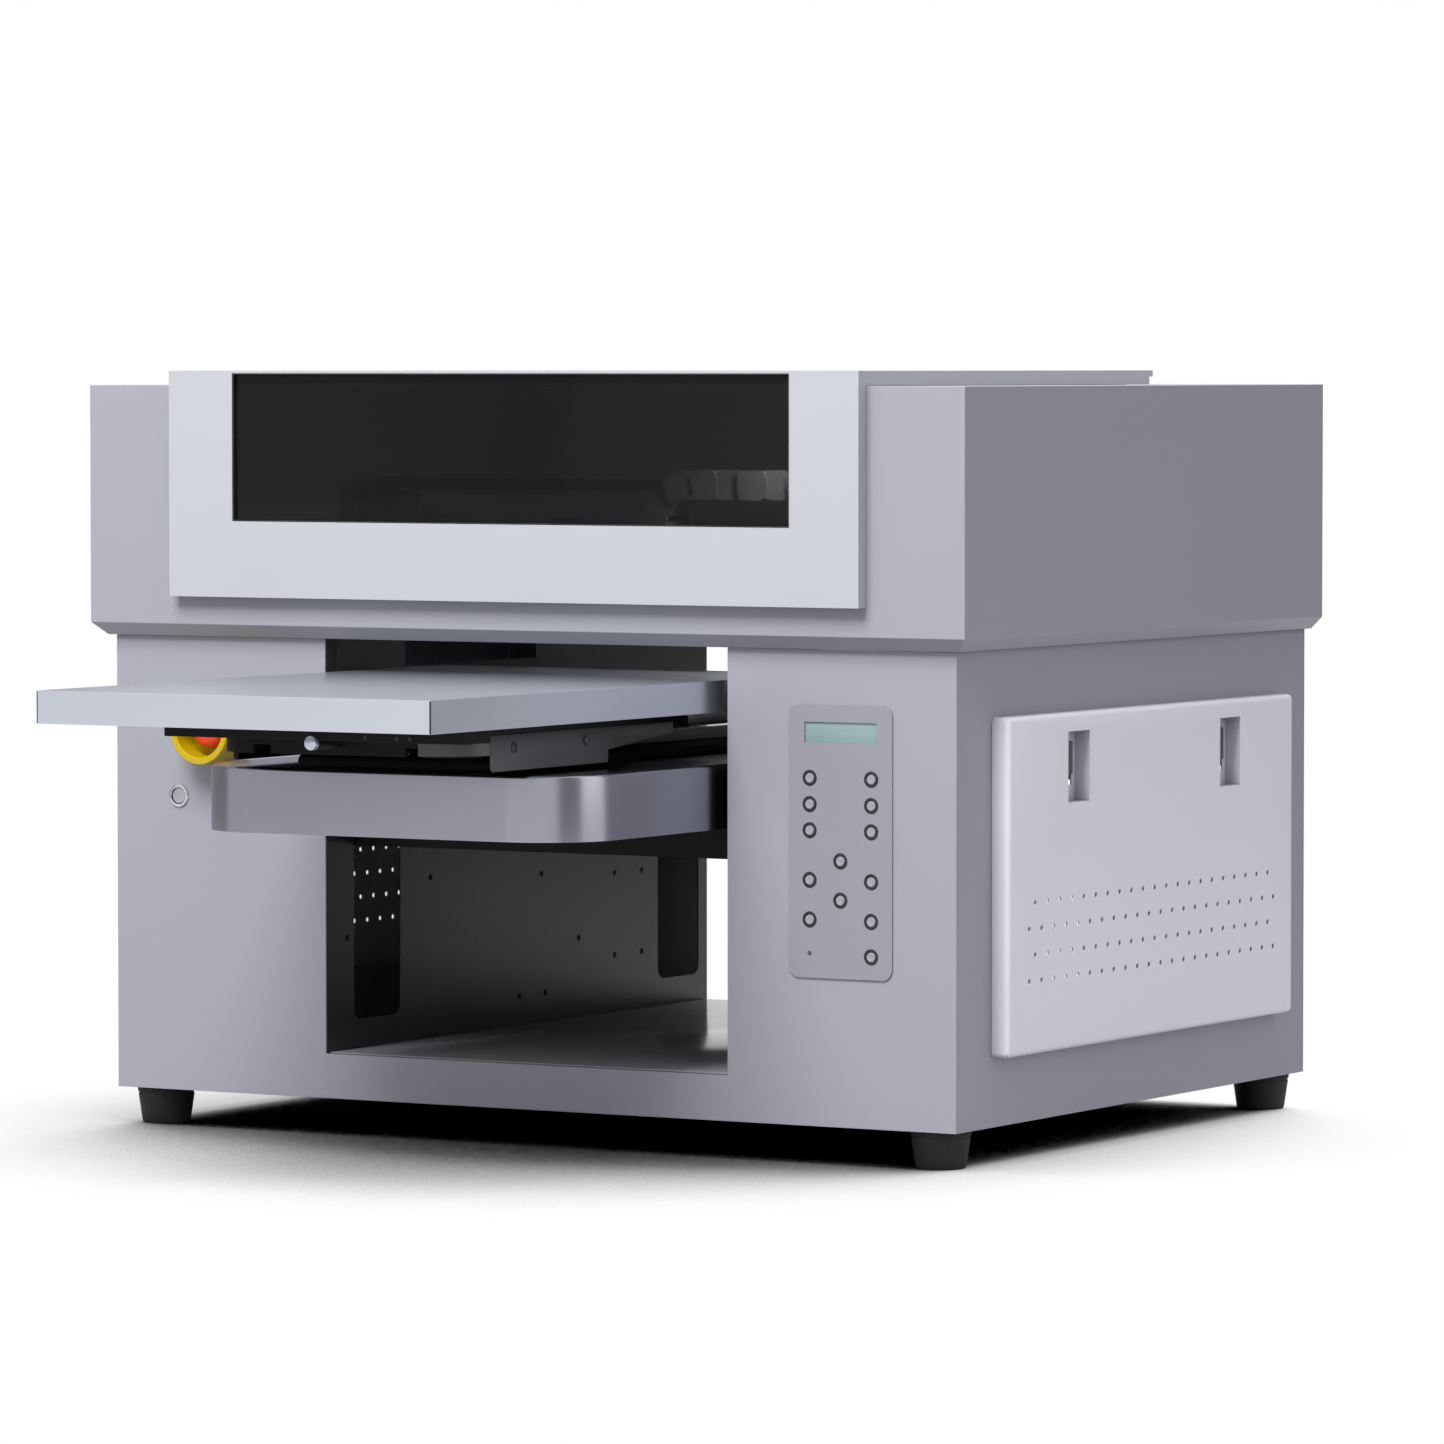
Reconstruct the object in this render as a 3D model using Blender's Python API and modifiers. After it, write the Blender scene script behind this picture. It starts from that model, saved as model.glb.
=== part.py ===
"""Desktop flatbed UV printer, built as an assembly of separate pieces.

Metres, +Z up.  The origin is on the ground, under the middle of the machine
with its print table run out to the front.  -Y is the front, +X the right side.
"""
import math

import bmesh
import bpy
from mathutils import Matrix, Vector

# Overall sizes of the casing
HOOD_WIDTH = 0.800
HOOD_DEPTH = 0.614
HOOD_HEIGHT = 0.2004
HOOD_FRONT_Y = -0.111
HOOD_CHAMFER = 0.010
HOOD_RIM = 0.020
CABINET_INSET = 0.015
CABINET_REAR_INSET = 0.0025
CABINET_HEIGHT = 0.3652
SHEET = 0.0015
BASE_SHEET = 0.002
BASE_FLANGE = 0.020
GAP = 0.0003
OVERRUN = 0.005

# Feet
FOOT_HEIGHT = 0.0294
FOOT_TOP_RADIUS = 0.0235
FOOT_BOTTOM_RADIUS = 0.0195
FOOT_INSET_X = 0.0281
FOOT_INSET_FRONT = 0.0274
FOOT_INSET_REAR = 0.0223

# Tunnel through the cabinet
TUNNEL_WIDTH = 0.3694
TUNNEL_SILL = 0.0354
TUNNEL_FLANGE = 0.050
SLOT_FRONT_START = 0.0563
SLOT_FRONT_LENGTH = 0.0688
SLOT_REAR_INSET = 0.0173
SLOT_REAR_LENGTH = 0.0678
SLOT_FLOOR_LIFT = 0.0240
SLOT_TOP_Z = 0.290
SLOT_CORNER = 0.009
CARRIAGE_WINDOW_START = 0.132
CARRIAGE_WINDOW_LENGTH = 0.200
CARRIAGE_WINDOW_Z = 0.369

# Side doors and the openings behind them
DOOR_START = 0.0707
DOOR_REAR_INSET = 0.0535
DOOR_BOTTOM_Z = 0.083
DOOR_HEIGHT = 0.260
DOOR_EDGE_RADIUS = 0.0035
ACCESS_MARGIN_SIDE = 0.025
ACCESS_MARGIN_BOTTOM = 0.018
ACCESS_MARGIN_TOP = 0.021
VENT_RADIUS = 0.002
VENT_PITCH = 0.020
VENT_ROW_PITCH = 0.0201
VENT_TOP_DROP = 0.1433
VENT_ROW_INSET = 0.0437
VENT_ROW_STAGGER = 0.0097
VENT_ROWS = 4
VENT_SIDES = 6
HOOK_WIDTH = 0.020
HOOK_REACH = 0.008
HOOK_SLOT_HEIGHT = 0.010
HOOK_INSET = 0.070
CUP_WIDTH = 0.036
CUP_HEIGHT = 0.055
CUP_DEPTH = 0.013
CUP_WALL = 0.0012
CUP_TOP_DROP = 0.0145
CUP_FRONT_START = 0.0968
CUP_REAR_START = 0.1328
LATCH_WINDOW_WIDTH = 0.023
LATCH_WINDOW_HEIGHT = 0.034
LATCH_WINDOW_DROP = 0.0088
LATCH_THUMB_HEIGHT = 0.025
LATCH_THUMB_PROUD = 0.0015
LATCH_LIP = 0.0025
LATCH_PLATE = 0.0015

# Lid with its smoked window
LID_WIDTH = 0.630
LID_PROUD = 0.012
LID_RISE = 0.0115
LID_BOTTOM_Z = 0.427
LID_REAR_INSET = 0.140
LID_SHEET = 0.002
LID_LAP = 0.015
LID_REAR_LAP = 0.032
WINDOW_WIDTH = 0.5092
WINDOW_BOTTOM_Z = 0.4872
WINDOW_GLASS = 0.003
WINDOW_LAP = 0.007
HINGE_INSET = 0.006
HINGE_RISE = 0.005
HINGE_HEEL_RISE = 0.0015
HINGE_SPREAD = 0.220
HINGE_KNUCKLE_RADIUS = 0.004
HINGE_KNUCKLE_LENGTH = 0.030
HINGE_PIN_RADIUS = 0.0025
HINGE_EAR_WIDTH = 0.004
HINGE_CLEARANCE = 0.0003
HINGE_LEAF_WIDTH = 0.016
HINGE_LEAF_SHEET = 0.0012

# Control panel
PANEL_WIDTH = 0.0904
PANEL_HEIGHT = 0.2098
PANEL_SHIFT = 0.00015
PANEL_TOP_DROP = 0.0418
PANEL_SHEET = 0.0012
PANEL_CORNER = 0.009
PANEL_LAP = 0.006
DISPLAY_WIDTH = 0.0631
DISPLAY_HEIGHT = 0.0161
DISPLAY_DROP = 0.0139
DISPLAY_LAP = 0.002
DISPLAY_GLASS = 0.003
KEY_COLUMN = 0.0269
KEY_HOLE_RADIUS = 0.0062
KEY_CAP_RADIUS = 0.0037
KEY_PROUD = 0.0006
KEY_FLANGE_RADIUS = 0.0072
KEY_FLANGE = 0.002
KEY_DROPS_LEFT = (0.0568, 0.0768, 0.0968, 0.1348, 0.1651)
KEY_DROPS_RIGHT = (0.0568, 0.0768, 0.0968, 0.1348, 0.1651, 0.1921)
KEY_DROPS_CENTRE = (0.1198, 0.1498)
LAMP_HOLE_RADIUS = 0.0015
LAMP_DROP = 0.1908

# Power button and emergency stop on the front
POWER_SHIFT = 0.03975
POWER_Z = 0.266
POWER_BEZEL_RADIUS = 0.009
POWER_BEZEL_PROUD = 0.0018
POWER_NECK_RADIUS = 0.008
POWER_CAP_RADIUS = 0.0064
POWER_CAP_PROUD = 0.0012
POWER_LENGTH = 0.014
STOP_SHIFT = 0.00215
STOP_Z = 0.3206
STOP_GUARD_RADIUS = 0.028
STOP_GUARD_WALL = 0.006
STOP_GUARD_DEPTH = 0.028
STOP_GUARD_BASE = 0.003
STOP_STEM_RADIUS = 0.011
STOP_STEM_LENGTH = 0.024
STOP_HEAD_RADIUS = 0.015
STOP_HEAD_HEIGHT = 0.0105
STOP_HEAD_SUNK = 0.008

# Mains inlet at the back
INLET_SHIFT = 0.01515
INLET_Z = 0.075
INLET_WIDTH = 0.028
INLET_HEIGHT = 0.020
INLET_DEPTH = 0.025
INLET_FLANGE = 0.002
INLET_FLANGE_LAP = 0.006
INLET_WALL = 0.002
INLET_PIN_WIDTH = 0.002
INLET_PIN_HEIGHT = 0.005
INLET_PIN_LENGTH = 0.014
INLET_PIN_PITCH = 0.007

# Vent slots at the back
REAR_SLOT_WIDTH = 0.060
REAR_SLOT_HEIGHT = 0.004
REAR_SLOT_PITCH = 0.012
REAR_SLOT_Z = 0.240
REAR_SLOT_COUNT = 6

# Lifting frame under the bed
BEAM_FRONT_WIDTH = 0.060
BEAM_REAR_WIDTH = 0.060
BEAM_THICKNESS = 0.0257
BEAM_REAR_DROP = 0.030
FRAME_REACH = 0.230
FRAME_SIDE_WIDTH = 0.030
ROD_RADIUS = 0.006
ROD_CLEARANCE = 0.0003
SCREW_RADIUS = 0.006
SCREW_Y = 0.300
SCREW_COLLAR_RADIUS = 0.011
SCREW_COLLAR_HEIGHT = 0.012
ROD_BAR_WIDTH = 0.024
ROD_BAR_HEIGHT = 0.008
ROD_TIE_Y = 0.110

# Bed, rails and print table
BED_WIDTH = 0.352
BED_FRONT_OVERHANG = 0.200
BED_REAR_INSET = 0.014
BED_HEIGHT = 0.0502
BED_TOP_Z = 0.3042
BED_WALL = 0.002
BED_CORNER = 0.060
DECK_WIDTH = 0.1814
DECK_INSET = 0.030
DECK_REAR_INSET = 0.008
DECK_HEIGHT = 0.010
DECK_CORNER = 0.006
RAIL_WIDTH = 0.015
RAIL_HEIGHT = 0.010
RAIL_SPREAD = 0.068
RAIL_END_INSET = 0.008
RAIL_TIE_WIDTH = 0.012
RAIL_TIE_HEIGHT = 0.0025
RUNNER_WIDTH = 0.032
RUNNER_LENGTH = 0.050
RUNNER_SPACING = 0.140
RUNNER_LIFT = 0.003
RUNNER_START = 0.003
TABLE_WIDTH = 0.3481
TABLE_LENGTH = 0.568
TABLE_HEIGHT = 0.0249
TABLE_RISE = 0.0645
TABLE_WALL = 0.003
TABLE_OVERHANG = 0.392
SADDLE_WIDTH = 0.268
SADDLE_SETBACK = 0.109
SADDLE_LENGTH = 0.324
SADDLE_SHEET = 0.0125
WING_SETBACK = 0.024
WING_SHEET = 0.004
WING_DEEP = 0.022
WING_MID = 0.012
WING_SHALLOW = 0.003
WING_DEEP_LENGTH = 0.1092
WING_SLOPE_LENGTH = 0.0968
SKIRT_WIDTH = 0.220
SKIRT_SETBACK = 0.034
SKIRT_LENGTH = 0.070
SKIRT_WALL = 0.004
SKIRT_CORNER = 0.020
SKIRT_CLEARANCE = 0.004
KNOB_RADIUS = 0.005
KNOB_DROP = 0.002
KNOB_PROUD = 0.002
TABLE_RIB_WIDTH = 0.032

# Gantry, print carriage and what it carries
GANTRY_Y = 0.232
GANTRY_DEPTH = 0.060
GANTRY_Z = 0.410
GANTRY_HEIGHT = 0.055
GANTRY_END_CLEARANCE = 0.020
PEDESTAL_WIDTH = 0.038
TRACK_HEIGHT = 0.015
TRACK_DEPTH = 0.012
TRACK_RISE = 0.020
CARRIAGE_PARK_INSET = 0.0835
CARRIAGE_WIDTH = 0.100
CARRIAGE_FRONT_Y = 0.070
CARRIAGE_LENGTH = 0.138
CARRIAGE_Z = 0.395
CARRIAGE_HEIGHT = 0.085
CARRIAGE_WALL = 0.003
SHOE_WIDTH = 0.080
SHOE_WALL = 0.008
HEAD_WIDTH = 0.050
HEAD_LENGTH = 0.080
HEAD_Z = 0.3845
HEAD_HEIGHT = 0.055
HEAD_COLLAR = 0.006
HEAD_COLLAR_HEIGHT = 0.004
LAMP_WIDTH = 0.038
LAMP_LENGTH = 0.100
LAMP_Z = 0.3865
LAMP_HEIGHT = 0.074
LAMP_FIN_PITCH = 0.012
LAMP_FIN_GAP = 0.006
LAMP_FIN_DEPTH = 0.030
LAMP_FINS = 7
MOTOR_SIDE = 0.042
MOTOR_LENGTH = 0.040
MOTOR_CORNER = 0.005
MOTOR_PULLEY_RADIUS = 0.010
MOTOR_PULLEY_LENGTH = 0.012

# Cable chain of the carriage
CHAIN_WIDTH = 0.036
CHAIN_THICKNESS = 0.025
CHAIN_BEND_RADIUS = 0.046
CHAIN_Y = 0.040
CHAIN_TOP_Z = 0.529
CHAIN_UPPER_LENGTH = 0.271
CHAIN_ANCHOR_INSET = 0.010
CHAIN_ARM_OVERHANG = 0.002
CHAIN_ARM_WIDTH = 0.020
CHAIN_ARM_SHEET = 0.003
CHAIN_LINK_PITCH = 0.022
CHAIN_GROOVE = 0.002
TROUGH_SHEET = 0.0025
TROUGH_WALL = 0.009
TROUGH_END_INSET = 0.006
TROUGH_POST_WIDTH = 0.036
TROUGH_POST_GAP = 0.0053
TROUGH_POST_DEPTH = 0.030
TROUGH_ARM_WIDTH = 0.016

# Capping station below the parked head
CAP_SHELF_Z = 0.326
CAP_SHELF_SHEET = 0.002
CAP_SHELF_HEIGHT = 0.060
CAP_BOX_WIDTH = 0.060
CAP_BOX_LENGTH = 0.090
CAP_HEAD_CLEARANCE = 0.0045
CAP_WELL_WALL = 0.006
CAP_WELL_DEPTH = 0.008

# Electronics and ink in the side compartments
BAY_INNER_GAP = 0.025
BAY_OUTER_GAP = 0.0185
BAY_FRONT_INSET = 0.116
BAY_REAR_INSET = 0.0805
CHASSIS_SHEET = 0.0015
SUPPLY_SHARE = 0.5375
SUPPLY_HEIGHT = 0.050
SUPPLY_STEP = 0.018
BOARD_SHARE = 0.4
BOARD_SHEET = 0.0016
BOARD_STANDOFF = 0.010
BOARD_STANDOFF_RADIUS = 0.003
BOARD_STANDOFF_INSET = 0.008
BOARD_PART_HEIGHT = 0.012
BOARD_PART_SHARES = ((0.20, 0.20, 0.30, 0.18), (0.20, 0.62, 0.24, 0.24), (0.62, 0.30, 0.20, 0.40))
RACK_SHEET = 0.002
RACK_HEIGHT = 0.020
TANK_REAR_INSET = 0.0225
TANK_LENGTH = 0.036
TANK_PITCH = 0.042
TANK_HEIGHT = 0.140
TANK_ROWS = 3
TANK_GAP = 0.006
TANK_CAP_RADIUS = 0.011
TANK_CAP_HEIGHT = 0.014
TANK_CORNER = 0.004

# Places that follow from the sizes above
HOOD_REAR_Y = HOOD_FRONT_Y + HOOD_DEPTH
CABINET_X = HOOD_WIDTH / 2 - CABINET_INSET
CABINET_FRONT_Y = HOOD_FRONT_Y + CABINET_INSET
CABINET_REAR_Y = HOOD_REAR_Y - CABINET_REAR_INSET
CABINET_TOP_Z = FOOT_HEIGHT + CABINET_HEIGHT
HOOD_TOP_Z = CABINET_TOP_Z + HOOD_HEIGHT
INNER_X = CABINET_X - SHEET
INNER_FRONT_Y = CABINET_FRONT_Y + SHEET + GAP
INNER_REAR_Y = CABINET_REAR_Y - SHEET - GAP
BAY_FLOOR_Z = FOOT_HEIGHT + BASE_SHEET + GAP
TUNNEL_FLOOR_Z = FOOT_HEIGHT + TUNNEL_SILL
TUNNEL_X = TUNNEL_WIDTH / 2
LINER_TOP_Z = CABINET_TOP_Z - GAP
DOOR_FRONT_Y = HOOD_FRONT_Y + DOOR_START
DOOR_REAR_Y = HOOD_REAR_Y - DOOR_REAR_INSET
DOOR_LENGTH = DOOR_REAR_Y - DOOR_FRONT_Y
DOOR_TOP_Z = DOOR_BOTTOM_Z + DOOR_HEIGHT
DOOR_FACE_X = HOOD_WIDTH / 2
LID_TOP_Z = HOOD_TOP_Z + LID_RISE
LID_FRONT_Y = HOOD_FRONT_Y - LID_PROUD
LID_REAR_Y = HOOD_REAR_Y - LID_REAR_INSET
COLUMN_CENTRE_X = (TUNNEL_X + CABINET_X) / 2
PANEL_CENTRE_X = COLUMN_CENTRE_X + PANEL_SHIFT
POWER_X = -COLUMN_CENTRE_X - POWER_SHIFT
STOP_X = -COLUMN_CENTRE_X - STOP_SHIFT
INLET_X = COLUMN_CENTRE_X + INLET_SHIFT
PANEL_TOP_Z = CABINET_TOP_Z - PANEL_TOP_DROP
PANEL_BACK_Y = CABINET_FRONT_Y - GAP
PANEL_FACE_Y = PANEL_BACK_Y - PANEL_SHEET
BED_BOTTOM_Z = BED_TOP_Z - BED_HEIGHT
BED_FRONT_Y = HOOD_FRONT_Y - BED_FRONT_OVERHANG
BED_REAR_Y = HOOD_REAR_Y - BED_REAR_INSET
FRAME_TOP_Z = BED_BOTTOM_Z - GAP
FRAME_BOTTOM_Z = FRAME_TOP_Z - BEAM_THICKNESS
FRAME_SIDE_X = FRAME_REACH - FRAME_SIDE_WIDTH / 2
BEAM_FRONT_Y = HOOD_FRONT_Y + SLOT_FRONT_START + SLOT_FRONT_LENGTH / 2
SLOT_REAR_START = HOOD_DEPTH - SLOT_REAR_INSET - SLOT_REAR_LENGTH
BEAM_REAR_Y = HOOD_FRONT_Y + SLOT_REAR_START + SLOT_REAR_LENGTH / 2
TABLE_FRONT_Y = HOOD_FRONT_Y - TABLE_OVERHANG
TABLE_TOP_Z = BED_TOP_Z + TABLE_RISE
TABLE_BOTTOM_Z = TABLE_TOP_Z - TABLE_HEIGHT
SADDLE_TOP_Z = TABLE_BOTTOM_Z - GAP
SADDLE_BOTTOM_Z = SADDLE_TOP_Z - SADDLE_SHEET
SADDLE_FRONT_Y = TABLE_FRONT_Y + SADDLE_SETBACK
DECK_BOTTOM_Z = BED_TOP_Z + GAP
DECK_TOP_Z = DECK_BOTTOM_Z + DECK_HEIGHT
DECK_FRONT_Y = BED_FRONT_Y + DECK_INSET
DECK_REAR_Y = BED_REAR_Y - DECK_REAR_INSET
RAIL_BOTTOM_Z = DECK_TOP_Z + GAP
RAIL_TOP_Z = RAIL_BOTTOM_Z + RAIL_HEIGHT
RAIL_FRONT_Y = DECK_FRONT_Y + RAIL_END_INSET
RAIL_REAR_Y = DECK_REAR_Y - RAIL_END_INSET
SKIRT_FRONT_Y = SADDLE_FRONT_Y + SKIRT_SETBACK
SKIRT_BOTTOM_Z = DECK_TOP_Z + SKIRT_CLEARANCE
TRACK_BOTTOM_Z = GANTRY_Z + TRACK_RISE
CARRIAGE_X = INNER_X - CARRIAGE_PARK_INSET
CARRIAGE_REAR_Y = CARRIAGE_FRONT_Y + CARRIAGE_LENGTH
CHAIN_ARM_X = CARRIAGE_X + CARRIAGE_WIDTH / 2 + CHAIN_ARM_OVERHANG
CHAIN_BEND_X = CHAIN_ARM_X - CHAIN_UPPER_LENGTH
CHAIN_ANCHOR_X = HOOD_WIDTH / 2 - CHAIN_ANCHOR_INSET
TROUGH_POST_X = TUNNEL_X + TROUGH_POST_GAP
TROUGH_START_X = TROUGH_END_INSET - TROUGH_POST_X - TROUGH_POST_WIDTH
CHAIN_UPPER_Z = CHAIN_TOP_Z - CHAIN_THICKNESS
CHAIN_CENTRE_Z = CHAIN_TOP_Z - CHAIN_BEND_RADIUS
CHAIN_LOWER_Z = CHAIN_CENTRE_Z - CHAIN_BEND_RADIUS
BAY_X = FRAME_REACH + BAY_INNER_GAP
BAY_WIDTH = INNER_X - BAY_OUTER_GAP - BAY_X
BAY_FRONT_Y = CABINET_FRONT_Y + BAY_FRONT_INSET
BAY_REAR_Y = CABINET_REAR_Y - BAY_REAR_INSET
SUPPLY_Y = BAY_FRONT_Y
SUPPLY_LENGTH = SUPPLY_SHARE * (BAY_REAR_Y - BAY_FRONT_Y)
BOARD_LENGTH = BOARD_SHARE * (BAY_REAR_Y - BAY_FRONT_Y)
BOARD_Y = BAY_REAR_Y - BOARD_LENGTH
TANK_Y = CABINET_REAR_Y - TANK_REAR_INSET - TANK_ROWS * TANK_PITCH

PARTS = "uv_printer"
CUTTERS = "cutters"

# Colours of the finishes
SILVER_GREY = (0.42, 0.42, 0.47)
PALE_GREY = (0.70, 0.70, 0.74)
PANEL_GREY = (0.32, 0.32, 0.36)
DARK_GREY = (0.045, 0.045, 0.052)
BLACK = (0.012, 0.012, 0.013)
SMOKED = (0.010, 0.010, 0.012)
STEEL = (0.55, 0.56, 0.58)
BED_METAL = (0.34, 0.34, 0.38)
TABLE_METAL = (0.72, 0.74, 0.78)
DISPLAY_GREEN = (0.34, 0.46, 0.46)
YELLOW = (0.80, 0.62, 0.02)
RED = (0.70, 0.05, 0.03)
INK_WHITE = (0.75, 0.75, 0.74)


def clear_scene():
    """Remove every object, so the script can be run again."""
    for obj in list(bpy.data.objects):
        bpy.data.objects.remove(obj, do_unlink=True)


def collection(name):
    """Return a collection of the scene, making it the first time."""
    found = bpy.data.collections.get(name)
    if found is None:
        found = bpy.data.collections.new(name)
    if found.name not in bpy.context.scene.collection.children:
        bpy.context.scene.collection.children.link(found)
    return found


def finish(name, colour, roughness, metallic):
    """Make a Principled material."""
    material = bpy.data.materials.new(name)
    material.use_nodes = True
    shader = material.node_tree.nodes["Principled BSDF"]
    shader.inputs["Base Color"].default_value = (*colour, 1)
    shader.inputs["Roughness"].default_value = roughness
    shader.inputs["Metallic"].default_value = metallic
    material.diffuse_color = (*colour, 1)
    return material


def paint(obj, colour, roughness=0.45, metallic=0.0):
    """Give an object its own finish."""
    obj.data.materials.clear()
    obj.data.materials.append(finish(f"{obj.name}_finish", colour, roughness, metallic))


def add_box(bm, low, high):
    """Add a box between two corners to a mesh and return its vertices."""
    low, high = Vector(low), Vector(high)
    place = Matrix.Translation((low + high) / 2) @ Matrix.Diagonal((*(high - low), 1))
    return bmesh.ops.create_cube(bm, size=1, matrix=place)["verts"]


def axis_turn(axis):
    """Return the rotation that lays a Z cylinder along X, Y or Z."""
    if axis == "X":
        return Matrix.Rotation(math.pi / 2, 4, "Y")
    if axis == "Y":
        return Matrix.Rotation(-math.pi / 2, 4, "X")
    return Matrix.Identity(4)


def add_cylinder(bm, start, axis, radius, length, sides=24, end_radius=None):
    """Add a capped cylinder or cone that grows from start along an axis."""
    turn = axis_turn(axis)
    middle = Vector(start) + turn.to_3x3() @ Vector((0, 0, length / 2))
    last = radius if end_radius is None else end_radius
    made = bmesh.ops.create_cone(bm, cap_ends=True, segments=sides, radius1=radius, radius2=last,
                                 depth=length, matrix=Matrix.Translation(middle) @ turn)
    return made["verts"]


def add_prism(bm, points, start, end):
    """Add a prism along X whose outline is a list of (Y, Z) points."""
    sides = [[bm.verts.new((x, y, z)) for y, z in points] for x in (start, end)]
    bm.faces.new(sides[0])
    bm.faces.new(list(reversed(sides[1])))
    for first, second, third, fourth in zip(sides[0], sides[0][1:] + sides[0][:1],
                                            sides[1][1:] + sides[1][:1], sides[1]):
        bm.faces.new((second, first, fourth, third))


def edges_of(verts, test):
    """Return the edges among some vertices whose two ends pass a test."""
    edges = {edge for vert in verts for edge in vert.link_edges}
    return [edge for edge in edges if test(edge.verts[0].co, edge.verts[1].co)]


def along(axis):
    """Return a test for edges that run along one axis."""
    index = "XYZ".index(axis)
    return lambda a, b: abs((a - b)[index]) > (a - b).length / 2


def round_edges(bm, edges, radius, segments=3):
    """Round or chamfer some edges of a mesh."""
    bmesh.ops.bevel(bm, geom=edges, offset=radius, segments=segments, profile=0.5,
                    affect="EDGES", clamp_overlap=True)


def make(name, build, origin=(0, 0, 0), group=PARTS, smooth=False):
    """Turn what a builder adds to a mesh into a named object placed at its origin."""
    bm = bmesh.new()
    build(bm)
    bmesh.ops.recalc_face_normals(bm, faces=bm.faces)
    bmesh.ops.translate(bm, verts=bm.verts, vec=-Vector(origin))
    mesh = bpy.data.meshes.new(name)
    bm.to_mesh(mesh)
    bm.free()
    obj = bpy.data.objects.new(name, mesh)
    obj.location = origin
    collection(group).objects.link(obj)
    if smooth:
        mesh.shade_smooth()
        mesh.set_sharp_from_angle(angle=math.radians(35))
    return obj


def tool(name, build):
    """Make a hidden cutter or join body."""
    obj = make(name, build, group=CUTTERS)
    obj.hide_render = True
    obj.display_type = "WIRE"
    return obj


def boolean(obj, name, build, operation):
    """Add a Boolean whose other body is built by a function."""
    modifier = obj.modifiers.new(name, "BOOLEAN")
    modifier.operation = operation
    modifier.solver = "EXACT"
    modifier.object = tool(f"{obj.name}_{name}", build)
    return obj


def cut(obj, name, build):
    """Cut a shape out of an object."""
    return boolean(obj, name, build, "DIFFERENCE")


def join(obj, name, build):
    """Join a shape to an object."""
    return boolean(obj, name, build, "UNION")


def outline_object(name, points, axis, start, end):
    """Extrude a flat outline along an axis: a filled 2D curve made into a welded mesh.

    The points are (X, Z) pairs for axis Y and (Y, Z) pairs for axis X.
    """
    curve = bpy.data.curves.new(f"{name}_outline", "CURVE")
    curve.dimensions = "2D"
    curve.fill_mode = "BOTH"
    curve.extrude = abs(end - start) / 2
    spline = curve.splines.new("POLY")
    spline.points.add(len(points) - 1)
    for point, (u, v) in zip(spline.points, points):
        point.co = (u, v, 0, 1)
    spline.use_cyclic_u = True
    guide = bpy.data.objects.new(f"{name}_guide", curve)
    collection(PARTS).objects.link(guide)
    bpy.context.view_layer.update()
    mesh = bpy.data.meshes.new_from_object(guide.evaluated_get(bpy.context.evaluated_depsgraph_get()))
    bpy.data.objects.remove(guide, do_unlink=True)
    middle = (start + end) / 2
    if axis == "Y":
        turn = Matrix(((1, 0, 0, 0), (0, 0, -1, middle), (0, 1, 0, 0), (0, 0, 0, 1)))
    else:
        turn = Matrix(((0, 0, 1, middle), (1, 0, 0, 0), (0, 1, 0, 0), (0, 0, 0, 1)))
    bm = bmesh.new()
    bm.from_mesh(mesh)
    bmesh.ops.remove_doubles(bm, verts=bm.verts, dist=GAP / 10)
    bmesh.ops.transform(bm, matrix=turn, verts=bm.verts)
    bmesh.ops.recalc_face_normals(bm, faces=bm.faces)
    bm.to_mesh(mesh)
    bm.free()
    obj = bpy.data.objects.new(name, mesh)
    collection(PARTS).objects.link(obj)
    return obj


def turned(name, profile, start, axis, sides=32):
    """Turn a profile of (radius, height) points, lowest first, into a solid with a Screw modifier."""
    mesh = bpy.data.meshes.new(name)
    bm = bmesh.new()
    verts = [bm.verts.new((radius, 0, height)) for radius, height in reversed(profile)]
    for first, second in zip(verts, verts[1:]):
        bm.edges.new((first, second))
    bm.to_mesh(mesh)
    bm.free()
    obj = bpy.data.objects.new(name, mesh)
    obj.matrix_world = Matrix.Translation(start) @ axis_turn(axis)
    collection(PARTS).objects.link(obj)
    screw = obj.modifiers.new("turn", "SCREW")
    screw.steps = sides
    screw.render_steps = sides
    screw.use_merge_vertices = True
    screw.merge_threshold = GAP / 10
    screw.use_smooth_shade = True
    return obj


def build_feet():
    """Four tapered rubber feet under the corners of the cabinet."""
    columns = (("left", -CABINET_X + FOOT_INSET_X), ("right", CABINET_X - FOOT_INSET_X))
    rows = (("front", CABINET_FRONT_Y + FOOT_INSET_FRONT), ("rear", CABINET_REAR_Y - FOOT_INSET_REAR))
    for column, x in columns:
        for row, y in rows:
            foot = make(f"rubber_foot_{row}_{column}", lambda bm: add_cylinder(
                bm, (x, y, 0), "Z", FOOT_BOTTOM_RADIUS, FOOT_HEIGHT - GAP, end_radius=FOOT_TOP_RADIUS),
                smooth=True)
            paint(foot, BLACK, 0.8)


def build_base_pan():
    """The floor of the cabinet, a pan inside the panels."""
    x = INNER_X - GAP
    obj = make("base_pan", lambda bm: add_box(bm, (-x, INNER_FRONT_Y, FOOT_HEIGHT),
                                              (x, INNER_REAR_Y, FOOT_HEIGHT + BASE_FLANGE)))
    cut(obj, "hollow", lambda bm: add_box(
        bm, (-x + BASE_SHEET, INNER_FRONT_Y + BASE_SHEET, FOOT_HEIGHT + BASE_SHEET),
        (x - BASE_SHEET, INNER_REAR_Y - BASE_SHEET, FOOT_HEIGHT + BASE_FLANGE + OVERRUN)))
    paint(obj, PANEL_GREY, 0.5)


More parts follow.
